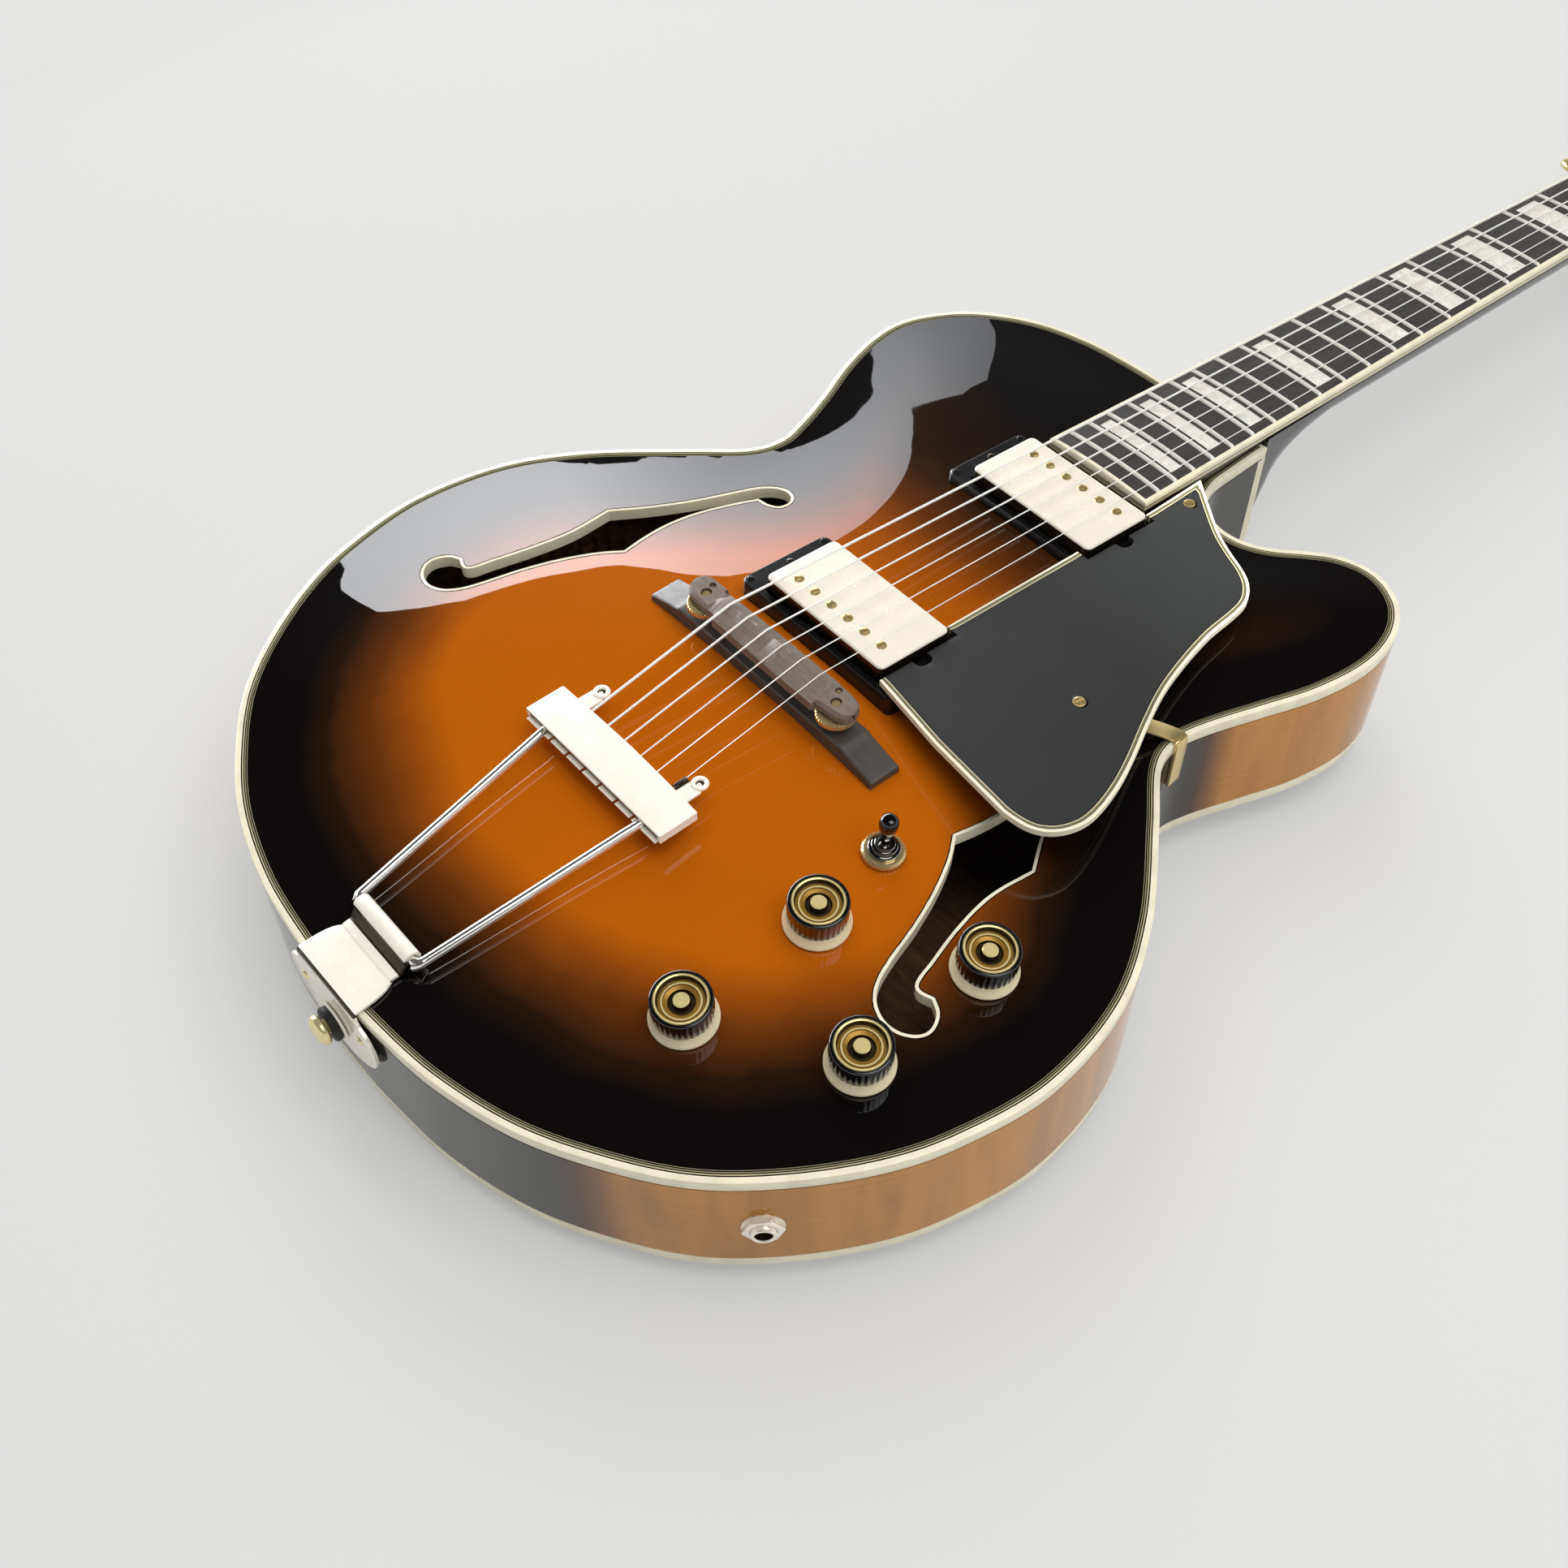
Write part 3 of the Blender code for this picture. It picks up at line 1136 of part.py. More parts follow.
def build_guard(root):
    """Raised pickguard and the bracket that holds it to the waist."""
    neck_middle = (NECK_FRAME @ Vector((0.0, -NECK_PICKUP, 0.0))).y
    bridge_middle = (NECK_FRAME @ Vector((0.0, -BRIDGE_PICKUP, 0.0))).y
    reach = PICKUP_WIDTH / 2.0 + GUARD_PICKUP_CLEARANCE
    screw = GUARD_SCREW_HALF_WIDTH
    deep = GUARD_NOTCH + GUARD_SCREW_DEPTH
    loop = [(x, -y) for x, y in GUARD]
    loop.append((GUARD_NOTCH, bridge_middle - reach - GUARD_CORNER_EASE))
    for middle in (bridge_middle, neck_middle):
        loop += [(GUARD_NOTCH, middle - screw), (deep, middle - screw * 0.8), (deep, middle + screw * 0.8),
                 (GUARD_NOTCH, middle + screw), (GUARD_NOTCH, middle + reach)]
        if middle == bridge_middle:
            loop += [(GUARD_EDGE, middle + reach), (GUARD_EDGE, neck_middle - reach),
                     (GUARD_NOTCH, neck_middle - reach)]
    loop.append((GUARD_EDGE + GUARD_CORNER_STEP, neck_middle + reach))
    loop = [np.array(p) for p in loop]

    def face(x, y):
        return GUARD_START + math.tan(NECK_ANGLE) * (-GUARD[0][1] - y)

    if signed_area(loop) < 0.0:
        loop.reverse()
    vertices, faces = plate([loop], [], face, lambda x, y: face(x, y) - GUARD_THICKNESS)
    new_object("pickguard", vertices, faces, DARK, root)

    start = Vector((*STAY_START, 0.0))
    seat = rim_frame(*body_point(*LOWER_SHARES[0]))
    outward = (seat.to_3x3() @ Vector((0.0, 0.0, 1.0))).normalized()
    edge = Vector((seat.translation.x, seat.translation.y, 0.0))
    along = (edge - start).normalized()
    across = Vector((-along.y, along.x, 0.0))
    rim_way = Vector((-outward.y, outward.x, 0.0))
    thick = STAY_THICKNESS / 2.0
    under = face(start.x, start.y) - GUARD_THICKNESS - GAP - thick
    off = outward * (GAP + thick)
    middle_share, middle_height = STAY_MIDDLE
    bend_share, bend_height, bend_end = STAY_BEND
    line = ((start - along * STAY_TONGUE, under - STAY_TONGUE_DROP, across), (start, under, across),
            (start + (edge - start) * middle_share, under * middle_height, across),
            (edge - outward * STAY_LANDING_INSET, STAY_LANDING_HEIGHT, (across + rim_way * 2.0).normalized()),
            (edge + off * bend_share, GAP + thick + bend_height, rim_way),
            (edge + off, bend_end, rim_way), (edge + off, STAY_FOOT, rim_way))
    points = [place + Vector((0.0, 0.0, z)) for place, z, _ in line]
    sections = []
    for i, (_, _, sideways) in enumerate(line):
        tangent = (points[min(len(line) - 1, i + 1)] - points[max(0, i - 1)]).normalized()
        lift = sideways.cross(tangent).normalized() * thick
        half = sideways * STAY_WIDTH / 2.0
        point = points[i]
        sections.append([point - half - lift, point + half - lift, point + half + lift, point - half + lift])
    vertices, faces = loft(sections)
    new_object("pickguard_bracket", vertices, faces, GOLD, root)


def rim_frame(x, y):
    """Frame on the middle of the rim's flat nearest to a place, with its height pointing out."""
    goal = np.array((x, y))
    pairs = list(zip(OUTLINE, OUTLINE[1:]))
    reaches = [float(np.linalg.norm((a + b) / 2.0 - goal)) for a, b in pairs]
    first, second = pairs[reaches.index(min(reaches))]
    edge = second - first
    outward = Vector((-edge[1], edge[0], 0.0)).normalized()
    middle = (first + second) / 2.0
    turn = Vector((0.0, 0.0, 1.0)).rotation_difference(outward).to_matrix().to_4x4()
    return Matrix.Translation((middle[0], middle[1], -RIM_DEPTH / 2.0)) @ turn


def top_frame(x, y):
    """Frame standing square on the top."""
    turn = Vector((0.0, 0.0, 1.0)).rotation_difference(top_normal(x, y))
    return Matrix.Translation((x, y, top_at(x, y))) @ turn.to_matrix().to_4x4()


def build_controls(root, rim):
    """Knobs on their pots, the selector switch and the output jack."""
    under = -PLATE_THICKNESS - POT_DROP
    for name, share_x, share_y in KNOB_SHARES:
        axis = new_frame("%s_axis" % name, top_frame(*body_point(share_x, share_y)), root)
        bush = POT_SHAFT_TOP + KNOB_BORE_CLEARANCE
        rim_top = SEAT_CLEARANCE + KNOB_SKIRT_THICKNESS
        profile = ((0.0, bush), (KNOB_BORE_RADIUS, bush), (KNOB_BORE_RADIUS, SEAT_CLEARANCE),
                   (KNOB_SKIRT_RADIUS, SEAT_CLEARANCE), (KNOB_SKIRT_RADIUS, rim_top),
                   (KNOB_RADIUS, KNOB_SHOULDER), (KNOB_RADIUS * 0.99, KNOB_HEIGHT - KNOB_BEVEL),
                   (KNOB_RADIUS * 0.88, KNOB_HEIGHT), (0.0, KNOB_HEIGHT))
        vertices, faces = revolve(profile, 16)
        new_object("%s_knob" % name, vertices, faces, BLACK, axis, smooth=True)
        profile = ((0.0, under - POT_DEPTH), (POT_RADIUS, under - POT_DEPTH), (POT_RADIUS, under),
                   (POT_SHAFT_RADIUS, under), (POT_SHAFT_RADIUS, POT_SHAFT_TOP), (0.0, POT_SHAFT_TOP))
        vertices, faces = revolve(profile, 12)
        new_object("%s_pot" % name, vertices, faces, STEEL, axis, smooth=True)

    axis = new_frame("switch_axis", top_frame(*body_point(*SWITCH_SHARES)), root)
    profile = ((0.0, under - SWITCH_CASE_DEPTH), (SWITCH_CASE_RADIUS, under - SWITCH_CASE_DEPTH),
               (SWITCH_CASE_RADIUS, under), (SWITCH_NECK_RADIUS, under), (SWITCH_NECK_RADIUS, SEAT_CLEARANCE),
               (SWITCH_NUT_RADIUS, SEAT_CLEARANCE), (SWITCH_NUT_RADIUS, SWITCH_NUT_TOP),
               (SWITCH_BUSH_RADIUS, SWITCH_NUT_TOP + SWITCH_BUSH_BEVEL),
               (SWITCH_BUSH_RADIUS, SWITCH_BUSH_TOP),
               (SWITCH_MOUTH_RADIUS, SWITCH_BUSH_TOP + SWITCH_BUSH_BEVEL),
               (SWITCH_WELL_RADIUS, SWITCH_WELL_FLOOR), (0.0, SWITCH_WELL_FLOOR))
    vertices, faces = revolve(profile, 14)
    new_object("toggle_switch", vertices, faces, GOLD, axis, smooth=True)
    pivot = new_frame("toggle_pivot", Matrix.Translation((0.0, 0.0, LEVER_PIVOT)), axis)
    reach = SWITCH_HEIGHT - LEVER_PIVOT
    profile = LEVER_FOOT + ((LEVER_RADIUS, reach * 0.45), (TIP_RADIUS * 0.75, reach * 0.52),
                            (TIP_RADIUS, reach * 0.75), (TIP_RADIUS * 0.85, reach * 0.93),
                            (TIP_RADIUS * 0.4, reach), (0.0, reach))
    vertices, faces = revolve(profile, 12)
    new_object("toggle_lever", vertices, faces, BLACK, pivot, smooth=True)

    axis = new_frame("jack_axis", rim_frame(*body_point(*JACK_SHARES)), root)
    hole = JACK_BARREL_RADIUS + 2 * GAP
    profile = ((0.0, -JACK_DEPTH), (hole, -JACK_DEPTH), (hole, JACK_DEPTH), (0.0, JACK_DEPTH))
    vertices, faces = revolve(profile, 12)
    cutter = new_object("jack_hole", vertices, faces, BLACK, axis)
    cut_with(rim, cutter)
    mouth = JACK_NUT_TOP + JACK_BARREL_REACH
    outside = ((JACK_NUT_RADIUS, GAP), (JACK_NUT_RADIUS, JACK_NUT_TOP), (JACK_BARREL_RADIUS, JACK_NUT_TOP),
               (JACK_BARREL_RADIUS, mouth), (JACK_BORE_RADIUS, mouth), (JACK_BORE_RADIUS, -JACK_DEPTH),
               (JACK_BARREL_RADIUS, -JACK_DEPTH), (JACK_BARREL_RADIUS, GAP))
    sections = []
    for x, y in circle(0.0, 0.0, 1.0, 12):
        sections.append([(radius * x, radius * y, height) for radius, height in outside])
    vertices, faces = loft(sections, closed=True)
    new_object("output_jack", vertices, faces, GOLD, axis, smooth=True)


def build_strap_button(root):
    """Button on the bass shoulder for the strap's front end."""
    lower, upper = STRAP_WAIST_RADII
    profile = ((0.0, GAP), (STRAP_FOOT_RADIUS, GAP), (lower, STRAP_HEIGHT * 0.32),
               (upper, STRAP_HEIGHT * 0.64), (STRAP_HEAD_RADIUS, STRAP_HEIGHT * 0.82),
               (STRAP_HEAD_RADIUS, STRAP_HEIGHT), (0.0, STRAP_HEIGHT))
    vertices, faces = revolve(profile, 14)
    axis = new_frame("strap_axis", rim_frame(*body_point(*STRAP_SHARES)), root)
    new_object("strap_button", vertices, faces, GOLD, axis, smooth=True)


def tuner_plate(name, indices, head):
    """Plate with three gear housings and the bores of its posts; returns it with its outward direction."""
    side = -1.0 if name == "bass" else 1.0
    first = post_place(indices[0])
    last = post_place(indices[2])
    along = (last - first).normalized()
    across = Vector((along.y, -along.x, 0.0)) * side
    if across.x * side < 0.0:
        across = -across
    span = (last - first).length
    top = -HEAD_THICKNESS - GAP
    profile = [(-PLATE_MARGIN, 0.0)]
    for index in range(3):
        s = span * index / 2.0
        profile += [(s - HOUSING_REACH - HOUSING_SLOPE, 0.0), (s - HOUSING_REACH, 1.0),
                    (s + HOUSING_REACH, 1.0), (s + HOUSING_REACH + HOUSING_SLOPE, 0.0)]
    profile.append((span + PLATE_MARGIN, 0.0))
    sections = []
    for s, deep in profile:
        low = top - PLATE_SHEET - (HOUSING_DEPTH - PLATE_SHEET) * deep
        centre = first + along * s
        a = centre - across * PLATE_HALF_WIDTH
        b = centre + across * (PLATE_HALF_WIDTH + HOUSING_BULGE * deep)
        sections.append([(a.x, a.y, top), (b.x, b.y, top), (b.x, b.y, low), (a.x, a.y, low)])
    vertices, faces = loft(sections)
    item = new_object("tuner_plate_%s" % name, vertices, faces, GOLD, head)
    for number, index in enumerate(indices):
        vertices, faces = bore(POST_RADIUS + POST_BORE_CLEARANCE)
        cutter = new_object("plate_bore_%s_%d" % (name, number), vertices, faces, GOLD, head)
        cutter.location = post_place(index)
        cut_with(item, cutter)
    return across


def build_tuners(head):
    """Three tuners on each plate, with geared posts and turning buttons."""
    gear = -HEAD_THICKNESS - HOUSING_DEPTH * GEAR_SHARE
    low = -HEAD_THICKNESS - GAP - HOUSING_DEPTH
    post = ((0.0, low), (POST_RADIUS, low), (POST_RADIUS, POST_HEIGHT * 0.42),
            (POST_RADIUS * 0.78, POST_HEIGHT * 0.55), (POST_RADIUS, POST_HEIGHT * 0.7),
            (POST_RADIUS, POST_HEIGHT), (0.0, POST_HEIGHT))
    button = [(0.0, STEM_RADIUS, STEM_RADIUS), (BUTTON_REACH * 0.87, STEM_RADIUS, STEM_RADIUS),
              (BUTTON_REACH, BUTTON_HALF_WIDTH * 0.48, STEM_RADIUS)]
    button += [(BUTTON_REACH + BUTTON_LENGTH * share, BUTTON_HALF_WIDTH * wide, BUTTON_HALF_THICKNESS * thick)
               for share, wide, thick in BUTTON_ROWS]
    sections = [[(wide * x, thick * y, height) for x, y in circle(0.0, 0.0, 1.0, 10)]
                for height, wide, thick in button]
    for name, indices in (("bass", (0, 1, 2)), ("treble", (5, 4, 3))):
        across = tuner_plate(name, indices, head)
        for index in indices:
            number = 6 - index
            place = post_place(index)
            post_axis = new_frame("post_axis_%d" % number, Matrix.Translation(place), head)
            vertices, faces = revolve(post, 10)
            new_object("tuner_post_%d" % number, vertices, faces, GOLD, post_axis, smooth=True)
            start = place + across * (PLATE_HALF_WIDTH + HOUSING_BULGE + GAP)
            turn = Vector((0.0, 0.0, 1.0)).rotation_difference(across.normalized()).to_matrix().to_4x4()
            seat = Matrix.Translation((start.x, start.y, gear)) @ turn
            button_axis = new_frame("button_axis_%d" % number, seat, head)
            vertices, faces = loft(sections)
            new_object("tuner_button_%d" % number, vertices, faces, GOLD, button_axis, smooth=True)


def rest_on_back(root):
    """Lay the guitar on its arched back and headstock, with the ground at zero and the plan centred."""
    bpy.context.view_layer.update()
    points = []
    for item in bpy.data.objects:
        if item.type == "MESH" and not item.hide_render:
            points += [tuple(item.matrix_world @ vertex.co) for vertex in item.data.vertices]
    points = np.array(points)
    split = JOINT / 2.0
    body = points[points[:, 1] < split]
    ahead = points[points[:, 1] >= split]
    low, high = -0.05, 0.08
    for _ in range(40):
        tilt = (low + high) / 2.0
        turn = np.array((math.sin(tilt), math.cos(tilt)))
        if (body[:, 1:] @ turn).min() < (ahead[:, 1:] @ turn).min():
            high = tilt
        else:
            low = tilt
    along = points[:, 1] * math.cos(tilt) - points[:, 2] * math.sin(tilt)
    up = points[:, 1] * math.sin(tilt) + points[:, 2] * math.cos(tilt)
    root.rotation_euler = (tilt, 0.0, 0.0)
    root.location = (0.0, -(along.min() + along.max()) / 2.0, -up.min())


def main():
    for item in list(bpy.data.objects):
        bpy.data.objects.remove(item, do_unlink=True)
    root = new_frame("guitar", Matrix.Identity(4), None)
    neck = new_frame("neck_frame", NECK_FRAME, root)
    head = new_frame("head_frame", HEAD_FRAME, root)
    rim = build_body(root)
    build_neck(root, neck, head)
    build_strings(neck)
    build_pickups(neck)
    build_bridge(root)
    build_tailpiece(root)
    build_guard(root)
    build_controls(root, rim)
    build_strap_button(root)
    build_tuners(head)
    rest_on_back(root)


main()
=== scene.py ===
"""Looks of a full-depth archtop guitar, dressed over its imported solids.

Each operator makes one piece or group of like pieces. Lengths are in metres. The body frame has its
origin on the rim plane at the neck joint, +X to the treble side, +Y to the headstock and +Z out of the top.
Profiles of turned pieces are in millimetres.
"""
import json
import math

import bpy
import numpy as np
from mathutils import Matrix, Vector
from mathutils.geometry import delaunay_2d_cdt


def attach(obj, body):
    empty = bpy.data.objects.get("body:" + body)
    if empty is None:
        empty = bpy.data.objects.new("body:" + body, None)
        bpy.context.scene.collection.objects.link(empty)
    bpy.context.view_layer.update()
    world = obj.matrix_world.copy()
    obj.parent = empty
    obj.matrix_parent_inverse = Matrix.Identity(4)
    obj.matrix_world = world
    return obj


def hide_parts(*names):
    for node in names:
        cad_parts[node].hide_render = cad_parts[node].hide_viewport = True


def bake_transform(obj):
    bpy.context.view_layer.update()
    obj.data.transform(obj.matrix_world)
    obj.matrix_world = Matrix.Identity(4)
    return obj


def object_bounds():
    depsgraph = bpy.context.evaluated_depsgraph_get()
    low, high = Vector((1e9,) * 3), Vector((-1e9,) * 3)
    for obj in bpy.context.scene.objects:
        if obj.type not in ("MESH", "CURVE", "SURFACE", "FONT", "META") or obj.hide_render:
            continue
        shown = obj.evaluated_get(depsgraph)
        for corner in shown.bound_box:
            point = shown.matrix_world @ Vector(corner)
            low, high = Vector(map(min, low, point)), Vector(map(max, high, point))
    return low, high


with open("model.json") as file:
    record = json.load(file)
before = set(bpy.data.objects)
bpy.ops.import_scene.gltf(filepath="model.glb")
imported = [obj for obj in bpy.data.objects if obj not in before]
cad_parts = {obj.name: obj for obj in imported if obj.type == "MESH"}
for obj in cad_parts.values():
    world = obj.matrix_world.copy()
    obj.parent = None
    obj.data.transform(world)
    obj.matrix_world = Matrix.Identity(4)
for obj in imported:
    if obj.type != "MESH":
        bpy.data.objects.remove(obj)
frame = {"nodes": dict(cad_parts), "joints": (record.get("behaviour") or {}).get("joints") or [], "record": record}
CAD_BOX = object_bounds()

bl_info = {
    "name": "Archtop Guitar Dresser",
    "version": (1, 0, 0),
    "blender": (4, 5, 0),
    "location": "View3D > Sidebar > Archtop",
    "description": "Dresses the packed solids of an archtop guitar with finished pieces and materials",
    "category": "Object",
}

# strings and neck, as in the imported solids
SCALE_LENGTH = 0.628
FRET_COUNT = 20
NUT_WIDTH = 0.043
BOARD_WIDTH_AT_LAST_FRET = 0.0575
BOARD_OVERRUN = 0.0105
BOARD_THICKNESS = 0.0062
BOARD_RADIUS = 0.305
BOARD_BINDING = 0.002
NECK_ANGLE = math.radians(4.36)
BOARD_RISE = 0.00995
NUT_LENGTH = 0.005
NUT_HEIGHT = 0.0024
HEAD_TILT = math.radians(12.0)
GAP = 0.0003
MILLIMETRE = 0.001

# body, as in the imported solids
BODY_LENGTH = 0.488
BODY_WIDTH = 0.4
RIM_DEPTH = 0.062
PLATE_THICKNESS = 0.0055
TOP_ARCH = 0.0148
BACK_ARCH = 0.013
ARCH_EXPONENT = 1.5
TREBLE_UPPER_SHARES = (
    (0.145, 0.0123), (0.147, 0.057), (0.1525, 0.09), (0.1825, 0.1148), (0.24, 0.1295), (0.305, 0.1295),
    (0.365, 0.1178), (0.4255, 0.0961), (0.475, 0.0809), (0.54, 0.0723), (0.605, 0.0758), (0.67, 0.0932),
    (0.715, 0.125), (0.73, 0.168), (0.71, 0.2213), (0.6675, 0.2725), (0.6275, 0.3197))
BASS_UPPER_SHARES = (
    (0.14, 0.0123), (0.26, 0.0129), (0.4, 0.0184), (0.535, 0.0348), (0.65, 0.0652), (0.72, 0.0994),
    (0.76, 0.1393), (0.7575, 0.1803), (0.7225, 0.2295), (0.6675, 0.2807), (0.63, 0.3217))
LOWER_SHARES = ((0.6135, 0.3514), (0.6375, 0.3832), (0.735, 0.4303), (0.875, 0.501), (0.9675, 0.5738),
                (1.0, 0.6598), (0.97, 0.7377), (0.92, 0.793), (0.835, 0.8504), (0.735, 0.8985),
                (0.61, 0.9365), (0.46, 0.9693), (0.28, 0.9908), (0.1, 0.999))
FHOLE_SHARES = (0.59, 0.5553)
FHOLE = (
    (0.024, -0.06), (0.0205, -0.049), (0.016, -0.032), (0.0133, -0.013), (0.015, 0.0078),
    (0.005, 0.023), (-0.004, 0.04), (-0.011, 0.057), (-0.0155, 0.0675), (-0.021, 0.0743),
    (-0.028, 0.077), (-0.0345, 0.075), (-0.0375, 0.07), (-0.0362, 0.0645), (-0.031, 0.0617),
    (-0.025, 0.0612), (-0.02, 0.05), (-0.0155, 0.036), (-0.0135, 0.022), (-0.0142, 0.008),
    (-0.0165, -0.0055), (-0.0095, -0.015), (-0.0022, -0.029), (0.004, -0.045), (0.0087, -0.061),
    (0.0128, -0.0712), (0.0185, -0.0776), (0.0262, -0.0803), (0.0338, -0.0787), (0.0392, -0.0738),
    (0.0403, -0.068), (0.037, -0.0618), (0.031, -0.0585))
FHOLE_CORNERS = (4, 15, 20, 32)
CONTROL_SHARES = {"neck_volume": (0.7575, 0.6316), "neck_tone": (0.7545, 0.7527),
                  "bridge_volume": (0.497, 0.701), "bridge_tone": (0.4905, 0.8249), "switch": (0.462, 0.6219)}
CONTROL_HOLES = {"switch": 0.0078}


def fret_place(count):
    """Distance from the nut to a fret."""
    return SCALE_LENGTH * (1.0 - 2.0 ** (-count / 12.0))


JOINT = fret_place(14)
BOARD_END = fret_place(FRET_COUNT) + BOARD_OVERRUN
NECK_PICKUP = BOARD_END + 0.0241
BRIDGE_PICKUP = SCALE_LENGTH - 0.0442
TO_NECK = (Matrix.Translation((0.0, JOINT * math.cos(NECK_ANGLE) + BOARD_RISE * math.sin(NECK_ANGLE),
                               BOARD_RISE * math.cos(NECK_ANGLE) - JOINT * math.sin(NECK_ANGLE)))
           @ Matrix.Rotation(-NECK_ANGLE, 4, "X"))
TO_HEAD = (TO_NECK @ Matrix.Translation((0.0, NUT_LENGTH + GAP, -BOARD_THICKNESS))
           @ Matrix.Rotation(-HEAD_TILT, 4, "X"))
BRIDGE_Y = (TO_NECK @ Vector((0.0, -SCALE_LENGTH, 0.0))).y - 0.0022
WHEEL_LOW = 0.0247
STUD_X = 0.0395
SADDLE_LOW = 0.0278
CREST_RISE = 0.004
STRING_GAUGES = (0.0012, 0.001, 0.0008, 0.0006, 0.0005, 0.0004)
STRING_SETBACKS = (0.003, 0.0022, 0.0014, 0.0022, 0.0014, 0.0006)
SADDLE_SPREAD = 0.052
NUT_SPREAD = 0.0358
BAR_SPREAD = 0.051
HINGE_Y = -0.462
HINGE_RISE = 0.006
GUARD_THICKNESS = 0.003
GUARD_SCREWS = ((0.0387, -0.0736), (0.0939, -0.2021))
HEAD_HALF_WIDTH = 0.04
NECK_DEPTH_AT_NUT = 0.0145
MARKED_FRETS = (3, 5, 7, 9, 12, 15, 17, 19)
KNOBS = ("neck_volume", "neck_tone", "bridge_volume", "bridge_tone")

# camera that took the photograph, in the body frame
PHOTO_LENS = 41.777
PHOTO_SENSOR = 36.0
PHOTO_PLACE = (0.385253, -0.594786, 0.547327)
PHOTO_RIGHT = (0.64791, 0.76166, -0.008695)
PHOTO_DOWN = (0.58292, -0.50315, -0.638)
PHOTO_AHEAD = (-0.49031, 0.4083, -0.76999)


def joint_named(name):
    """Packed facts of a joint."""
    return next(joint for joint in frame["joints"] if joint["name"] == name)


def body_frame():
    """Place of the body frame, from the saddle's lift axis and the wheel on its stud."""
    lift = Vector(joint_named("saddle_height")["axis"])
    turn = Matrix.Rotation(math.atan2(-lift.y, lift.z), 4, "X")
    wheel = joint_named("thumbwheel_treble_turn")["pos_m"]
    return Matrix.Translation(Vector(wheel) - turn @ Vector((wheel[0], BRIDGE_Y, WHEEL_LOW))) @ turn


BODY = body_frame()
NECK = BODY @ TO_NECK
HEAD = BODY @ TO_HEAD


# shapes of the body

def spline(knots, steps):
    """Smooth open curve through the knots, as rows of an array."""
    knots = [np.array(k, float) for k in knots]
    padded = [2 * knots[0] - knots[1]] + knots + [2 * knots[-1] - knots[-2]]
    curve = []
    for a, b, c, d in zip(padded, padded[1:], padded[2:], padded[3:]):
        for t in np.arange(steps) / steps:
            curve.append(0.5 * (2 * b + (c - a) * t + (2 * a - 5 * b + 4 * c - d) * t ** 2
                                + (3 * b - a - 3 * c + d) * t ** 3))
    return np.array(curve + [knots[-1]])


def body_point(share_x, share_y):
    """Body-frame place of a share of the half width and of the length."""
    return np.array((share_x * BODY_WIDTH / 2.0, -share_y * BODY_LENGTH))


def evenly(curve, spacing):
    """The same open curve with points at equal steps."""
    reach = np.concatenate(([0.0], np.cumsum(np.linalg.norm(np.diff(curve, axis=0), axis=1))))
    marks = np.linspace(0.0, reach[-1], max(2, int(round(reach[-1] / spacing)) + 1))
    return np.column_stack([np.interp(marks, reach, curve[:, axis]) for axis in range(curve.shape[1])])


OUTLINE = evenly(spline(
    [body_point(x, y) for x, y in TREBLE_UPPER_SHARES + LOWER_SHARES] + [(0.0, -BODY_LENGTH)]
    + [body_point(-x, y) for x, y in reversed(BASS_UPPER_SHARES + LOWER_SHARES)], 24), 0.0024)
ALONG = np.concatenate(([0.0], np.cumsum(np.linalg.norm(np.diff(OUTLINE, axis=0), axis=1))))


def inward(distance):
    """The outline moved into the body."""
    path = np.vstack((2 * OUTLINE[0] - OUTLINE[1], OUTLINE, 2 * OUTLINE[-1] - OUTLINE[-2]))
    edges = np.diff(path, axis=0)
    normals = np.column_stack((edges[:, 1], -edges[:, 0])) / np.linalg.norm(edges, axis=1)[:, None]
    both = normals[:-1] + normals[1:]
    return OUTLINE + both / (1.0 + (normals[:-1] * normals[1:]).sum(axis=1))[:, None] * distance


CLOSED = np.vstack((OUTLINE, OUTLINE[:1]))
EDGE_MIDDLES = evenly(CLOSED, 0.0012)
EDGE_LENGTH = np.linalg.norm(EDGE_MIDDLES[1] - EDGE_MIDDLES[0])


def edge_depth(points):
    """(smooth depth used by the arch, plain distance to the outline) of body-frame points."""
    smooth, plain = [], []
    for chunk in np.array_split(np.asarray(points, float)[:, :2], max(1, len(points) // 500)):
        reach = np.hypot(chunk[:, None, 0] - EDGE_MIDDLES[:, 0], chunk[:, None, 1] - EDGE_MIDDLES[:, 1])
        nearest = reach.min(axis=1)
        depth = np.sqrt(2.0 / (EDGE_LENGTH / np.maximum(reach, 1e-5) ** 3).sum(axis=1))
        smooth.append(np.where(nearest < 0.0018, 0.0, depth))
        plain.append(nearest)
    return np.concatenate(smooth), np.concatenate(plain)


FULL_DEPTH = edge_depth([(0.0, -0.66 * BODY_LENGTH)])[0][0]


def arch_at(points, height):
    """Heights of an arched plate over the rim plane."""
    return height * np.minimum(1.0, edge_depth(points)[0] / FULL_DEPTH) ** ARCH_EXPONENT


def top_point(x, y):
    """Point on the top's outer face."""
    return Vector((x, y, arch_at([(x, y)], TOP_ARCH)[0]))


def top_frame(x, y):
    """Frame on the top at a place, with its Z leaving the surface."""
    step = 0.004
    slope = [arch_at([(x + dx, y + dy)], TOP_ARCH)[0] - arch_at([(x - dx, y - dy)], TOP_ARCH)[0]
             for dx, dy in ((step, 0.0), (0.0, step))]
    normal = Vector((-slope[0], -slope[1], 2 * step)).normalized()
    turn = Vector((0.0, 0.0, 1.0)).rotation_difference(normal).to_matrix().to_4x4()
    return Matrix.Translation(top_point(x, y)) @ turn


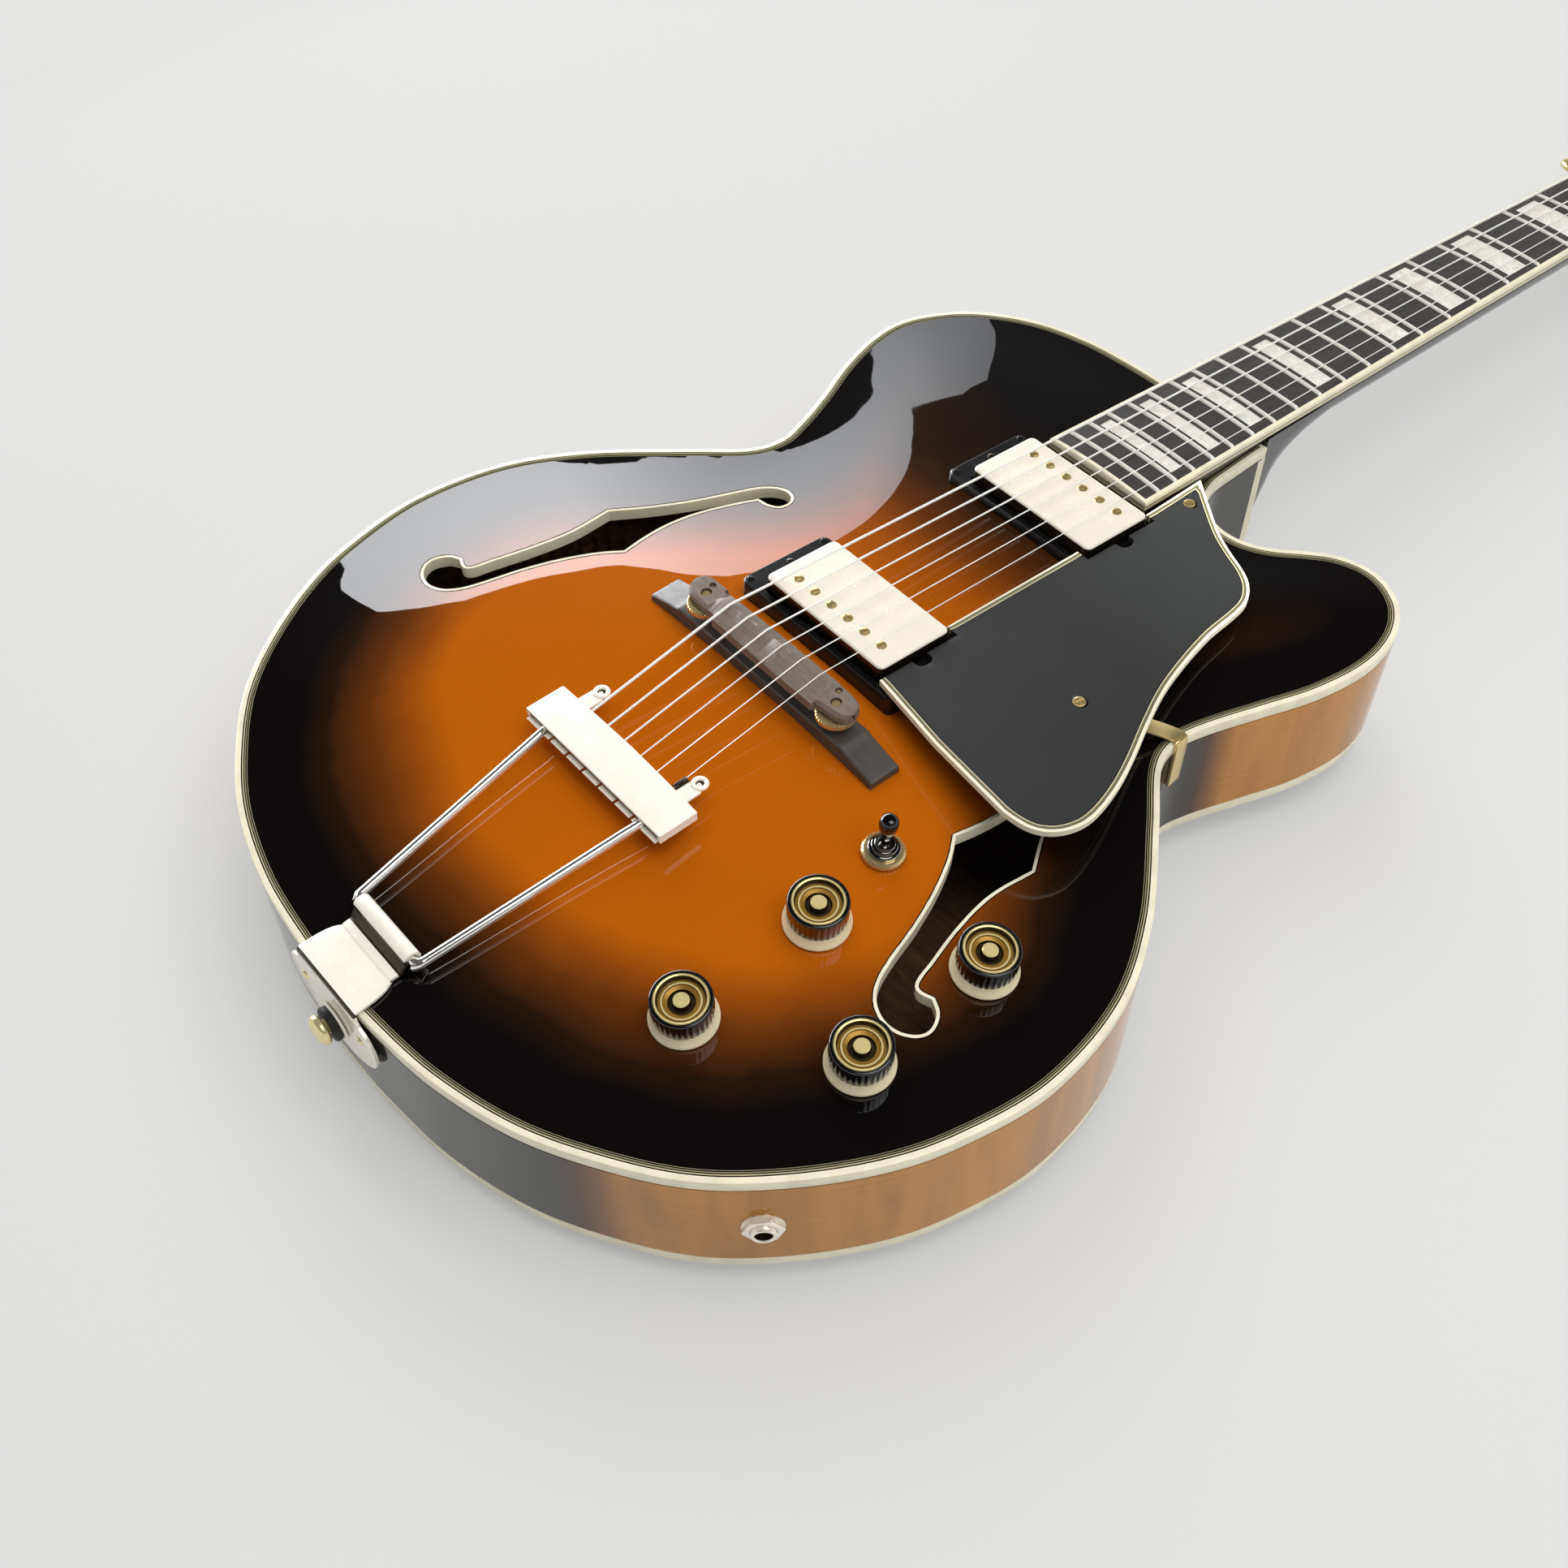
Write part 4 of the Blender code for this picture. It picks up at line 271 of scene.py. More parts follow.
def mount_frame(mount_name, node_name, reach):
    """World frame on a round solid's own axis, its origin a reach below the solid's outer end."""
    mount = next(m for m in frame["record"]["mounts"] if m["name"] == mount_name)
    axis = Vector(mount["axis"])
    points = [v.co for v in frame["nodes"][node_name].data.vertices]
    middle = sum(points, Vector()) / len(points)
    end = max((point - middle).dot(axis) for point in points)
    turn = Vector((0.0, 0.0, 1.0)).rotation_difference(axis).to_matrix().to_4x4()
    return Matrix.Translation(middle + axis * (end - reach)) @ turn


def fhole_loop(side):
    """Outer edge of an f-hole's binding, round between its four corners, counter-clockwise."""
    knots = [np.array(p) for p in FHOLE]
    knots = knots[FHOLE_CORNERS[0]:] + knots[:FHOLE_CORNERS[0] + 1]
    corners = [c - FHOLE_CORNERS[0] for c in FHOLE_CORNERS] + [len(FHOLE)]
    loop = np.vstack([spline(knots[a:b + 1], 6)[:-1] for a, b in zip(corners, corners[1:])])
    loop = (loop + body_point(*FHOLE_SHARES)) * (side, 1.0)
    return loop[::-1] if turns_right(loop) else loop


def turns_right(loop):
    """Whether a closed loop runs clockwise."""
    following = np.roll(loop, -1, axis=0)
    return (loop[:, 0] * following[:, 1] - loop[:, 1] * following[:, 0]).sum() < 0.0


def widened(loop, distance):
    """Counter-clockwise loop moved outwards, with blunt corners."""
    edges = np.roll(loop, -1, axis=0) - loop
    normals = np.column_stack((edges[:, 1], -edges[:, 0])) / np.linalg.norm(edges, axis=1)[:, None]
    before = np.roll(normals, 1, axis=0)
    return loop + (before + normals) / np.maximum(0.5, 1.0 + (before * normals).sum(axis=1))[:,
                                                                                             None] * distance


def circle(x, y, radius, count):
    """Counter-clockwise ring of points."""
    angles = 2.0 * math.pi * np.arange(count) / count
    return np.column_stack((x + radius * np.cos(angles), y + radius * np.sin(angles)))


def plate_loop(inset):
    """Closed outline of a plate inside its binding, counter-clockwise."""
    path = inward(inset)
    corner = OUTLINE[-1][0] + GAP
    loop = np.vstack((path, (corner, path[-1][1]), (corner, OUTLINE[0][1])))
    return loop[::-1] if turns_right(loop) else loop


def within(points, loop):
    """Which points lie in a closed loop."""
    inside = np.zeros(len(points), bool)
    for (ax, ay), (bx, by) in zip(loop, np.roll(loop, -1, axis=0)):
        crosses = (ay > points[:, 1]) != (by > points[:, 1])
        if crosses.any():
            inside ^= crosses & (points[:, 0] < ax + (points[:, 1] - ay) / (by - ay + 1e-30) * (bx - ax))
    return inside


def filled(loops, spacing):
    """Flat fine triangle mesh inside the first loop and outside the others: (points, triangles)."""
    low, high = loops[0].min(axis=0), loops[0].max(axis=0)
    rows = np.arange(int((high[1] - low[1]) / (spacing * 0.866)) + 2)
    columns = np.arange(int((high[0] - low[0]) / spacing) + 2)
    grid = np.array([(low[0] + (c + 0.5 * (r % 2)) * spacing, low[1] + r * spacing * 0.866)
                     for r in rows for c in columns])
    keep = within(grid, loops[0])
    for loop in loops[1:]:
        keep &= ~within(grid, loop)
    walls = np.vstack([evenly(np.vstack((loop, loop[:1])), spacing / 3.0) for loop in loops])
    grid = grid[keep]
    clear = np.array([np.hypot(*(walls - point).T).min() > spacing * 0.55 for point in grid])
    points = [Vector(p) for loop in loops for p in loop] + [Vector(p) for p in grid[clear]]
    edges, start = [], 0
    for loop in loops:
        edges += [(start + i, start + (i + 1) % len(loop)) for i in range(len(loop))]
        start += len(loop)
    flat, _, triangles, _, _, _ = delaunay_2d_cdt(points, edges, [], 0, 1e-8)
    flat = np.array([tuple(p) for p in flat])
    triangles = np.array([tuple(t) for t in triangles])
    middles = flat[triangles].mean(axis=1)
    keep = within(middles, loops[0])
    for loop in loops[1:]:
        keep &= ~within(middles, loop)
    return flat, triangles[keep]


# making and finishing pieces

def pick(*items):
    """Selects these objects alone, the first one active."""
    if bpy.context.object and bpy.context.object.mode != "OBJECT":
        bpy.ops.object.mode_set(mode="OBJECT")
    bpy.ops.object.select_all(action="DESELECT")
    for item in items:
        item.select_set(True)
    bpy.context.view_layer.objects.active = items[0]
    return items[0]


def shaped(vertices, faces):
    """Object from worked-out points, with its faces turned outwards."""
    mesh = bpy.data.meshes.new("piece")
    mesh.from_pydata([tuple(v) for v in vertices], [], faces)
    item = bpy.data.objects.new("piece", mesh)
    bpy.context.scene.collection.objects.link(item)
    return outward(item)


def outward(item):
    """Merges doubles and turns the faces outwards."""
    pick(item)
    bpy.ops.object.mode_set(mode="EDIT")
    bpy.ops.mesh.select_all(action="SELECT")
    bpy.ops.mesh.remove_doubles(threshold=2e-7)
    bpy.ops.mesh.normals_make_consistent(inside=False)
    bpy.ops.object.mode_set(mode="OBJECT")
    return item


def around(section, angle):
    """Section of (radius, height) points, turned about Z."""
    return [(radius * math.cos(angle), radius * math.sin(angle), height) for radius, height in section]


def added(operator, **settings):
    """Runs an operator that adds an object, and gives that object."""
    bpy.ops.object.select_all(action="DESELECT")
    operator(**settings)
    return bpy.context.object


def lofted(rings, closed=False):
    """Skin through equal rings of points, capped at both ends where it isn't closed."""
    count = len(rings[0])
    faces = []
    for i in range(len(rings) if closed else len(rings) - 1):
        a, b = i * count, (i + 1) % len(rings) * count
        faces += [(a + j, a + (j + 1) % count, b + (j + 1) % count, b + j) for j in range(count)]
    if not closed:
        last = (len(rings) - 1) * count
        faces += [tuple(range(count - 1, -1, -1)), tuple(range(last, last + count))]
    return shaped(np.vstack(rings), faces)


def two_faced(flat, triangles, upper, lower):
    """Closed plate between two sets of heights over the same flat mesh."""
    count = len(flat)
    faces = [tuple(t) for t in triangles] + [tuple(t[::-1] + count) for t in triangles]
    used = {(t[i], t[(i + 1) % 3]) for t in triangles for i in range(3)}
    faces += [(b, a, a + count, b + count) for a, b in used if (b, a) not in used]
    return shaped(np.vstack((np.column_stack((flat, upper)), np.column_stack((flat, lower)))), faces)


def turned(profile, steps=48, unit=MILLIMETRE):
    """Profile of (radius, height) points, extruded from one vertex and spun about Z."""
    profile = [(radius * unit, height * unit) for radius, height in profile]
    item = added(bpy.ops.mesh.primitive_plane_add, size=0.001)
    bpy.ops.object.mode_set(mode="EDIT")
    bpy.ops.mesh.merge(type="CENTER")
    bpy.ops.transform.translate(value=(profile[0][0], 0.0, profile[0][1]))
    for (r0, z0), (r1, z1) in zip(profile, profile[1:]):
        bpy.ops.mesh.extrude_region_move(TRANSFORM_OT_translate={"value": (r1 - r0, 0.0, z1 - z0)})
    bpy.ops.mesh.select_all(action="SELECT")
    bpy.ops.mesh.spin(steps=steps, angle=2.0 * math.pi, center=(0.0, 0.0, 0.0), axis=(0.0, 0.0, 1.0))
    bpy.ops.object.mode_set(mode="OBJECT")
    return outward(item)


def rod(radius, low, high, steps=24):
    """Plain round rod about Z, in millimetres."""
    return turned(((0, low), (radius, low), (radius, high), (0, high)), steps)


def rectangle(x0, x1, y0, y1):
    """Counter-clockwise corners of a rectangle."""
    return np.array(((x0, y0), (x1, y0), (x1, y1), (x0, y1)))


def at(x, y, z, turn=0.0):
    """Matrix of a place, turned about Z in degrees."""
    return Matrix.Translation((x, y, z)) @ Matrix.Rotation(math.radians(turn), 4, "Z")


def outlined(loop, low, high):
    """Circle moved onto an outline, filled and extruded between two heights."""
    item = added(bpy.ops.mesh.primitive_circle_add, vertices=len(loop), fill_type="NGON")
    for vertex, point in zip(item.data.vertices, loop):
        vertex.co = (point[0], point[1], low)
    bpy.ops.object.mode_set(mode="EDIT")
    bpy.ops.mesh.select_all(action="SELECT")
    bpy.ops.mesh.extrude_region_move(TRANSFORM_OT_translate={"value": (0.0, 0.0, high - low)})
    bpy.ops.object.mode_set(mode="OBJECT")
    return outward(item)


def wire(points, radius, sides=12):
    """Round wire along points, through a curve made a mesh."""
    curve = bpy.data.curves.new("piece", "CURVE")
    curve.dimensions = "3D"
    curve.bevel_depth = radius
    curve.bevel_resolution = max(1, sides // 4)
    curve.use_fill_caps = True
    line = curve.splines.new("POLY")
    line.points.add(len(points) - 1)
    for spot, point in zip(line.points, points):
        spot.co = (*point, 1.0)
    item = bpy.data.objects.new("piece", curve)
    bpy.context.scene.collection.objects.link(item)
    pick(item)
    bpy.ops.object.convert(target="MESH")
    return outward(bpy.context.object)


def points_of(item):
    """Places of a piece's vertices, one row each."""
    return np.array([v.co for v in item.data.vertices])


def modified(item, kind, **settings):
    """Adds a modifier with its settings and applies it."""
    pick(item)
    modifier = item.modifiers.new(kind.lower(), kind)
    for key, value in settings.items():
        setattr(modifier, key, value)
    bpy.ops.object.modifier_apply(modifier=modifier.name)
    return item


def rounded(item, width, segments=3, angle=30.0):
    """Bevels the edges sharper than an angle."""
    return modified(item, "BEVEL", width=width, segments=segments, limit_method="ANGLE",
                    angle_limit=math.radians(angle), harden_normals=False)


def cut(item, cutter, operation="DIFFERENCE"):
    """Takes a cutter out of a piece, or joins it on, and removes it."""
    modified(item, "BOOLEAN", operation=operation, solver="EXACT", object=cutter)
    bpy.data.objects.remove(cutter)
    return item


def placed(item, matrix):
    """Moves a piece's mesh by a matrix."""
    item.data.transform(matrix @ item.matrix_basis)
    item.matrix_basis = Matrix.Identity(4)
    return item


def copied(item, matrix):
    """Copy of a piece with its own mesh, moved by a matrix."""
    twin = bpy.data.objects.new(item.name, item.data.copy())
    bpy.context.scene.collection.objects.link(twin)
    twin.data.transform(matrix)
    return twin


def joined(*items):
    """One piece from several."""
    pick(*items)
    bpy.ops.object.join()
    return bpy.context.object


def repeated(item, matrices):
    """Copies of a piece at the given places, joined in its stead."""
    twins = [copied(item, matrix) for matrix in matrices]
    bpy.data.objects.remove(item)
    return joined(*twins)


def dressed(item, name, body, look, stands_for=(), angle=35.0, move=None):
    """Names a piece, gives it its place, smoothness and finish, and hangs it on its body."""
    placed(item, move or Matrix.Identity(4))
    for vertex in item.data.vertices:
        vertex.co = [min(max(c, low), high) for c, low, high in zip(vertex.co, *CAD_BOX)]
    item.name = name
    item.data.name = name
    pick(item)
    bpy.ops.object.shade_smooth_by_angle(angle=math.radians(angle))
    if not any(item.data.materials):
        item.data.materials.clear()
        item.data.materials.append(finish(look))
    if body:
        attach(item, body)
    if stands_for:
        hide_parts(*stands_for)
    return item


def painted(item, base, *parts):
    """Gives faces a base finish, and others by tests of a face's middle and normal, the last that holds."""
    item.data.materials.clear()
    for look in (base, *(look for look, _ in parts)):
        item.data.materials.append(finish(look))
    for polygon in item.data.polygons:
        for index, (_, test) in enumerate(parts, 1):
            if test(polygon.center, polygon.normal):
                polygon.material_index = index
    return item


def written(item, name, values):
    """Stores one number for each vertex."""
    layer = item.data.attributes.new(name, "FLOAT", "POINT")
    layer.data.foreach_set("value", np.asarray(values, np.float32))
    return item


# finishes

def hex_colour(text):
    """Linear colour of an sRGB hex value."""
    parts = [int(text[i:i + 2], 16) / 255.0 for i in (1, 3, 5)]
    return tuple(c / 12.92 if c <= 0.04045 else ((c + 0.055) / 1.055) ** 2.4 for c in parts) + (1.0,)


def feed(made, inputs):
    """Gives a node its inputs: constants, hex colours, sockets, or nodes by their main output."""
    for key, value in inputs.items():
        if isinstance(value, bpy.types.Node):
            value = value.outputs[2 if value.bl_idname == "ShaderNodeMix" else 0]
        if isinstance(value, bpy.types.NodeSocket):
            made.id_data.links.new(value, made.inputs[key])
        else:
            made.inputs[key].default_value = hex_colour(value) if isinstance(value, str) else value


def node(tree, kind, inputs=None, stops=None, **settings):
    """Adds a node with its settings, its inputs and its ramp stops."""
    made = tree.nodes.new("ShaderNode" + kind)
    for key, value in settings.items():
        setattr(made, key, value)
    feed(made, inputs or {})
    if stops:
        elements = made.color_ramp.elements
        while len(elements) < len(stops):
            elements.new(1.0)
        for element, (place, colour) in zip(elements, stops):
            element.position = place
            if isinstance(colour, float):
                colour = (colour, colour, colour, 1.0)
            element.color = hex_colour(colour) if isinstance(colour, str) else colour
    return made


MULTIPLY = {"data_type": "RGBA", "blend_type": "MULTIPLY"}


def span(*ends):
    """Limits of a MapRange: from low and high, to low and high."""
    return dict(zip(("From Min", "From Max", "To Min", "To Max"), ends))


def clouded(tree, base, scale, detail, *stops):
    """Colour dulled by soft clouds: (noise of the clouds, clouded colour)."""
    place = node(tree, "TexCoord").outputs["Object"]
    cloud = node(tree, "TexNoise", {"Vector": place, "Scale": scale, "Detail": detail})
    tint = node(tree, "ValToRGB", {"Fac": cloud}, stops=stops)
    return cloud, node(tree, "Mix", {0: 1.0, 6: base, 7: tint}, **MULTIPLY)


def surface(name, **constants):
    """New material: (material, node tree, Principled shader with its constant values)."""
    material = bpy.data.materials.new(name)
    material.use_nodes = True
    shader = material.node_tree.nodes["Principled BSDF"]
    for key, value in constants.items():
        shader.inputs[key.replace("_", " ")].default_value = value
    return material, material.node_tree, shader


class ArchtopSizes(bpy.types.PropertyGroup):
    """Sizes of the trim that a user would change."""
    binding: bpy.props.FloatProperty(name="Binding", description="Width of the outer binding on the top",
                                     default=0.0024, min=0.001, max=0.005, unit="LENGTH")
    purfling: bpy.props.FloatProperty(name="Purfling",
                                      description="Width of the fine lines inside the top's binding",
                                      default=0.0028, min=0.001, max=0.006, unit="LENGTH")
    fhole_binding: bpy.props.FloatProperty(name="F-hole binding",
                                           description="Width of the binding in the f-holes",
                                           default=0.0016, min=0.001, max=0.003, unit="LENGTH")
    fret_width: bpy.props.FloatProperty(name="Fret width", description="Width of a fret's crown",
                                        default=0.0023, min=0.0015, max=0.003, unit="LENGTH")
    fret_height: bpy.props.FloatProperty(name="Fret height", description="Height of a fret over the board",
                                         default=0.0011, min=0.0007, max=0.0015, unit="LENGTH")
    flame: bpy.props.FloatProperty(name="Flame spacing",
                                   description="Distance between two flames of the maple",
                                   default=0.008, min=0.003, max=0.03, unit="LENGTH")
    burst: bpy.props.FloatProperty(name="Burst band",
                                   description="Width of the dark band along the top's edge",
                                   default=0.07, min=0.03, max=0.12, unit="LENGTH")


def colour_setting(label, what, default):
    """Colour property with an sRGB hex default."""
    return bpy.props.FloatVectorProperty(name=label, description=what, subtype="COLOR", size=4,
                                         min=0.0, max=1.0, default=hex_colour(default))


class ArchtopColours(bpy.types.PropertyGroup):
    """Colours that a user would change."""
    top_centre: colour_setting("Top, centre", "Lacquer colour in the middle of the burst", "#b65c08")
    top_middle: colour_setting("Top, middle", "Lacquer colour between the middle and the dark edge",
                               "#8c450c")
    top_edge: colour_setting("Top, edge", "Lacquer colour along the edge", "#0d0b0a")
    side_centre: colour_setting("Sides, centre", "Amber of the maple rim and back", "#bd7f2c")
    side_edge: colour_setting("Sides, edge", "Dark shade of the rim and back", "#302e2a")
    binding: colour_setting("Binding", "Cream celluloid of the bindings", "#efe8cc")
    neck: colour_setting("Neck", "Lacquer of the neck and headstock", "#0a0808")
    board: colour_setting("Fingerboard", "Oiled wood of the fingerboard", "#3b3836")
    bridge: colour_setting("Bridge", "Wood of the floating bridge", "#74665c")
    guard: colour_setting("Pickguard", "Satin vinyl of the pickguard", "#2a2c2a")
    cover: colour_setting("Pickup covers", "Pale plating of the pickup covers", "#fbf3e2")
    gold: colour_setting("Hardware", "Plating of the hardware", "#e2c88e")
    knob: colour_setting("Knobs", "Moulded ring of the knobs", "#0b0b0c")
    floor: colour_setting("Floor", "Paper sweep under the guitar", "#dadad8")


def sunburst_lacquer():
    """Dyed laminated top under thick polyester: colour sinks to black at the edge below a wet mirror."""
    look = bpy.context.scene.archtop_colours
    material, tree, shader = surface("sunburst_polyester_lacquer", Roughness=0.6, Specular_IOR_Level=0.0,
                                     Coat_Weight=1.0, Coat_Roughness=0.012, Coat_IOR=1.5)
    place = node(tree, "TexCoord").outputs["Object"]
    cloud = node(tree, "TexNoise", {"Vector": place, "Scale": 16.0, "Detail": 3.0, "Roughness": 0.55})
    fine = node(tree, "Mapping", {"Vector": place, "Scale": (900.0, 26.0, 60.0)})
    fibre = node(tree, "TexNoise", {"Vector": fine, "Scale": 1.0, "Detail": 3.0})
    depth = node(tree, "Attribute", attribute_name="burst").outputs["Fac"]
    uneven = node(tree, "MapRange", {"Value": cloud, **span(0.3, 0.7, -0.06, 0.06)})
    wavering = node(tree, "Math", {0: depth, 1: uneven}, operation="ADD")
    burst = node(tree, "ValToRGB", {"Fac": wavering}, stops=(
        (0.0, look.top_edge[:]), (0.08, look.top_edge[:]), (0.26, "#241509"), (0.52, "#5f300d"),
        (0.72, look.top_middle[:]), (0.95, look.top_centre[:])))
    streak = node(tree, "MapRange", {"Value": fibre, **span(0.3, 0.7, 0.965, 1.015)})
    mixed = node(tree, "Mix", {0: 1.0, 6: burst, 7: streak}, **MULTIPLY)
    wave = node(tree, "TexNoise", {"Vector": place, "Scale": 30.0, "Detail": 1.0})
    sink = node(tree, "Bump", {"Height": wave, "Strength": 0.1, "Distance": 0.0004})
    feed(shader, {"Base Color": mixed, "Coat Normal": sink})
    return material


def flamed_maple():
    """Figured maple veneer, stained amber, shaded and lacquered: curls catch the light across the grain."""
    look = bpy.context.scene.archtop_colours
    spacing = bpy.context.scene.archtop_sizes.flame
    material, tree, shader = surface("flamed_maple_lacquered", Roughness=0.6, Specular_IOR_Level=0.0,
                                     Coat_Weight=1.0, Coat_Roughness=0.02, Coat_IOR=1.5)
    along = node(tree, "Attribute", attribute_name="grain").outputs["Vector"]
    wide = node(tree, "Mapping", {"Vector": along, "Scale": (0.5 / spacing, 9.0, 1.0)})
    flame = node(tree, "TexNoise", {"Vector": wide, "Scale": 1.0, "Detail": 2.0, "Roughness": 0.6,
                                    "Distortion": 0.4})
    fine = node(tree, "Mapping", {"Vector": along, "Scale": (14.0, 900.0, 1.0)})
    fibre = node(tree, "TexNoise", {"Vector": fine, "Scale": 1.0, "Detail": 3.0})
    shade = node(tree, "Attribute", attribute_name="burst").outputs["Fac"]
    tone = node(tree, "ValToRGB", {"Fac": shade}, stops=(
        (0.0, look.side_edge[:]), (0.25, look.side_edge[:]), (0.5, "#4a2a0c"), (0.75, "#8a5516"),
        (1.0, look.side_centre[:])))
    curl = node(tree, "ValToRGB", {"Fac": flame}, stops=((0.34, 0.78), (0.52, 0.96), (0.68, 1.1)))
    both = node(tree, "Mix", {0: 1.0, 6: tone, 7: curl}, **MULTIPLY)
    streak = node(tree, "MapRange", {"Value": fibre, **span(0.3, 0.7, 0.88, 1.06)})
    feed(shader, {"Base Color": node(tree, "Mix", {0: 1.0, 6: both, 7: streak}, **MULTIPLY)})
    return material


def celluloid(name, colour, roughness=0.18):
    """Cream celluloid strip, scraped and buffed: warm, faintly cloudy and waxy."""
    material, tree, shader = surface(name, Roughness=roughness, Subsurface_Weight=0.08,
                                     Subsurface_Scale=0.002, Subsurface_Radius=(1.0, 0.8, 0.5))
    feed(shader, {"Base Color": clouded(tree, colour, 90.0, 4.0, (0.3, 0.86), (0.6, 1.0))[1]})
    return material


def plies(name, bands, scale):
    """Glued celluloid plies read across the strip: cream, black and olive lines between crisp edges."""
    material, tree, shader = surface(name, Roughness=0.2)
    across = node(tree, "Attribute", attribute_name="across").outputs["Fac"]
    share = node(tree, "MapRange", {"Value": across, "From Min": 0.0, "From Max": scale})
    lines = node(tree, "ValToRGB", {"Fac": share}, stops=[(place / scale, colour) for place, colour in bands])
    lines.color_ramp.interpolation = "CONSTANT"
    feed(shader, {"Base Color": clouded(tree, lines, 120.0, 3.0, (0.3, 0.88), (0.6, 1.0))[1]})
    return material


def plated(name, colour, roughness, scratch=0.25, metal=1.0):
    """Plated and polished metal: warm mirror with faint haze; pale satin plate scatters part of the light."""
    material, tree, shader = surface(name, Metallic=metal)
    haze, mixed = clouded(tree, colour, 90.0, 3.0, (0.3, 0.96), (0.65, 1.0))
    gloss = node(tree, "MapRange", {"Value": haze, **span(0.3, 0.7, roughness * (1.0 - scratch),
                                                          roughness * (1.0 + scratch))})
    feed(shader, {"Base Color": mixed, "Roughness": gloss})
    return material


def moulded(name, colour, roughness, grit=0.0, coat=0.0):
    """Moulded or sheet plastic: even colour, a fine surface texture and small changes of gloss."""
    material, tree, shader = surface(name, Coat_Weight=coat, Coat_Roughness=0.03)
    cloud, mixed = clouded(tree, colour, 60.0, 4.0, (0.3, 0.88), (0.65, 1.0))
    gloss = node(tree, "MapRange", {"Value": cloud, **span(0.3, 0.7, roughness * 0.85, roughness * 1.15)})
    feed(shader, {"Base Color": mixed, "Roughness": gloss})
    if grit:
        place = node(tree, "TexCoord").outputs["Object"]
        speck = node(tree, "TexNoise", {"Vector": place, "Scale": 1400.0, "Detail": 2.0})
        feed(shader, {"Normal": node(tree, "Bump", {"Height": speck, "Strength": grit, "Distance": 0.0001})})
    return material


def open_grained(name, colour, roughness, spread, pores=0.5, figure=1.0):
    """Oiled open-grained wood: dark pores and lighter streaks along the grain, barely glossy."""
    material, tree, shader = surface(name)
    place = node(tree, "TexCoord").outputs["Object"]
    wide = node(tree, "Mapping", {"Vector": place, "Scale": spread})
    streak = node(tree, "TexNoise", {"Vector": wide, "Scale": 1.0, "Detail": 5.0, "Roughness": 0.65,
                                     "Distortion": 0.3})
    finer = node(tree, "Mapping", {"Vector": place, "Scale": [s * 3.1 for s in spread]})
    pore = node(tree, "TexNoise", {"Vector": finer, "Scale": 1.0, "Detail": 2.0})
    tone = node(tree, "ValToRGB", {"Fac": streak}, stops=(
        (0.3, 1.0 - 0.55 * figure), (0.5, 1.0 - 0.05 * figure), (0.7, 1.0 + 0.35 * figure)))
    pit = node(tree, "ValToRGB", {"Fac": pore}, stops=((0.34, 1.0 - pores), (0.46, 1.0)))
    mixed = node(tree, "Mix", {0: 1.0, 6: colour, 7: tone}, **MULTIPLY)
    pitted = node(tree, "Mix", {0: 1.0, 6: mixed, 7: pit}, **MULTIPLY)
    gloss = node(tree, "MapRange", {"Value": pore, **span(0.3, 0.6, roughness * 1.25, roughness * 0.9)})
    bump = node(tree, "Bump", {"Height": pit, "Strength": 0.35, "Distance": 0.0002})
    feed(shader, {"Base Color": pitted, "Roughness": gloss, "Normal": bump})
    return material


def lacquered(name, colour):
    """Opaque gloss lacquer: deep colour under a wet mirror with a faint buffing wave."""
    material, tree, shader = surface(name, Roughness=0.4, Specular_IOR_Level=0.2, Coat_Weight=1.0,
                                     Coat_Roughness=0.015, Coat_IOR=1.5)
    cloud, mixed = clouded(tree, colour, 26.0, 3.0, (0.3, 0.8), (0.65, 1.0))
    wave = node(tree, "Bump", {"Height": cloud, "Strength": 0.1, "Distance": 0.0004})
    feed(shader, {"Base Color": mixed, "Coat Normal": wave})
    return material


def mother_of_pearl(name):
    """Ground pearl inlay: milky, with drifting grey-green and pink clouds under a polished face."""
    material, tree, shader = surface(name, Roughness=0.16, Coat_Weight=0.4, Coat_Roughness=0.05)
    place = node(tree, "TexCoord").outputs["Object"]
    drift = node(tree, "TexNoise", {"Vector": place, "Scale": 110.0, "Detail": 3.0, "Distortion": 0.5})
    feed(shader, {"Base Color": node(tree, "ValToRGB", {"Fac": drift}, stops=(
        (0.3, "#cfd0c8"), (0.42, "#e6e3da"), (0.52, "#dcd6cd"), (0.62, "#ece9e0"), (0.72, "#d3d2c9")))})
    return material


def wound(name, colour, roughness):
    """Roundwound string: fine turns of nickel wire, drawn twice as coarse as the real ones."""
    material, tree, shader = surface(name, Metallic=0.2, Roughness=roughness)
    along = node(tree, "Attribute", attribute_name="along").outputs["Fac"]
    turns = node(tree, "Math", {0: along, 1: 6000.0}, operation="MULTIPLY")
    wave = node(tree, "Math", {0: turns}, operation="SINE")
    # Darker between the turns: painted shade in the grooves of the winding.
    tint = node(tree, "MapRange", {"Value": wave, **span(-1.0, 1.0, 0.78, 1.0)})
    mixed = node(tree, "Mix", {0: 1.0, 6: colour, 7: tint}, **MULTIPLY)
    bump = node(tree, "Bump", {"Height": wave, "Strength": 0.5, "Distance": 0.0001})
    feed(shader, {"Base Color": mixed, "Normal": bump})
    return material


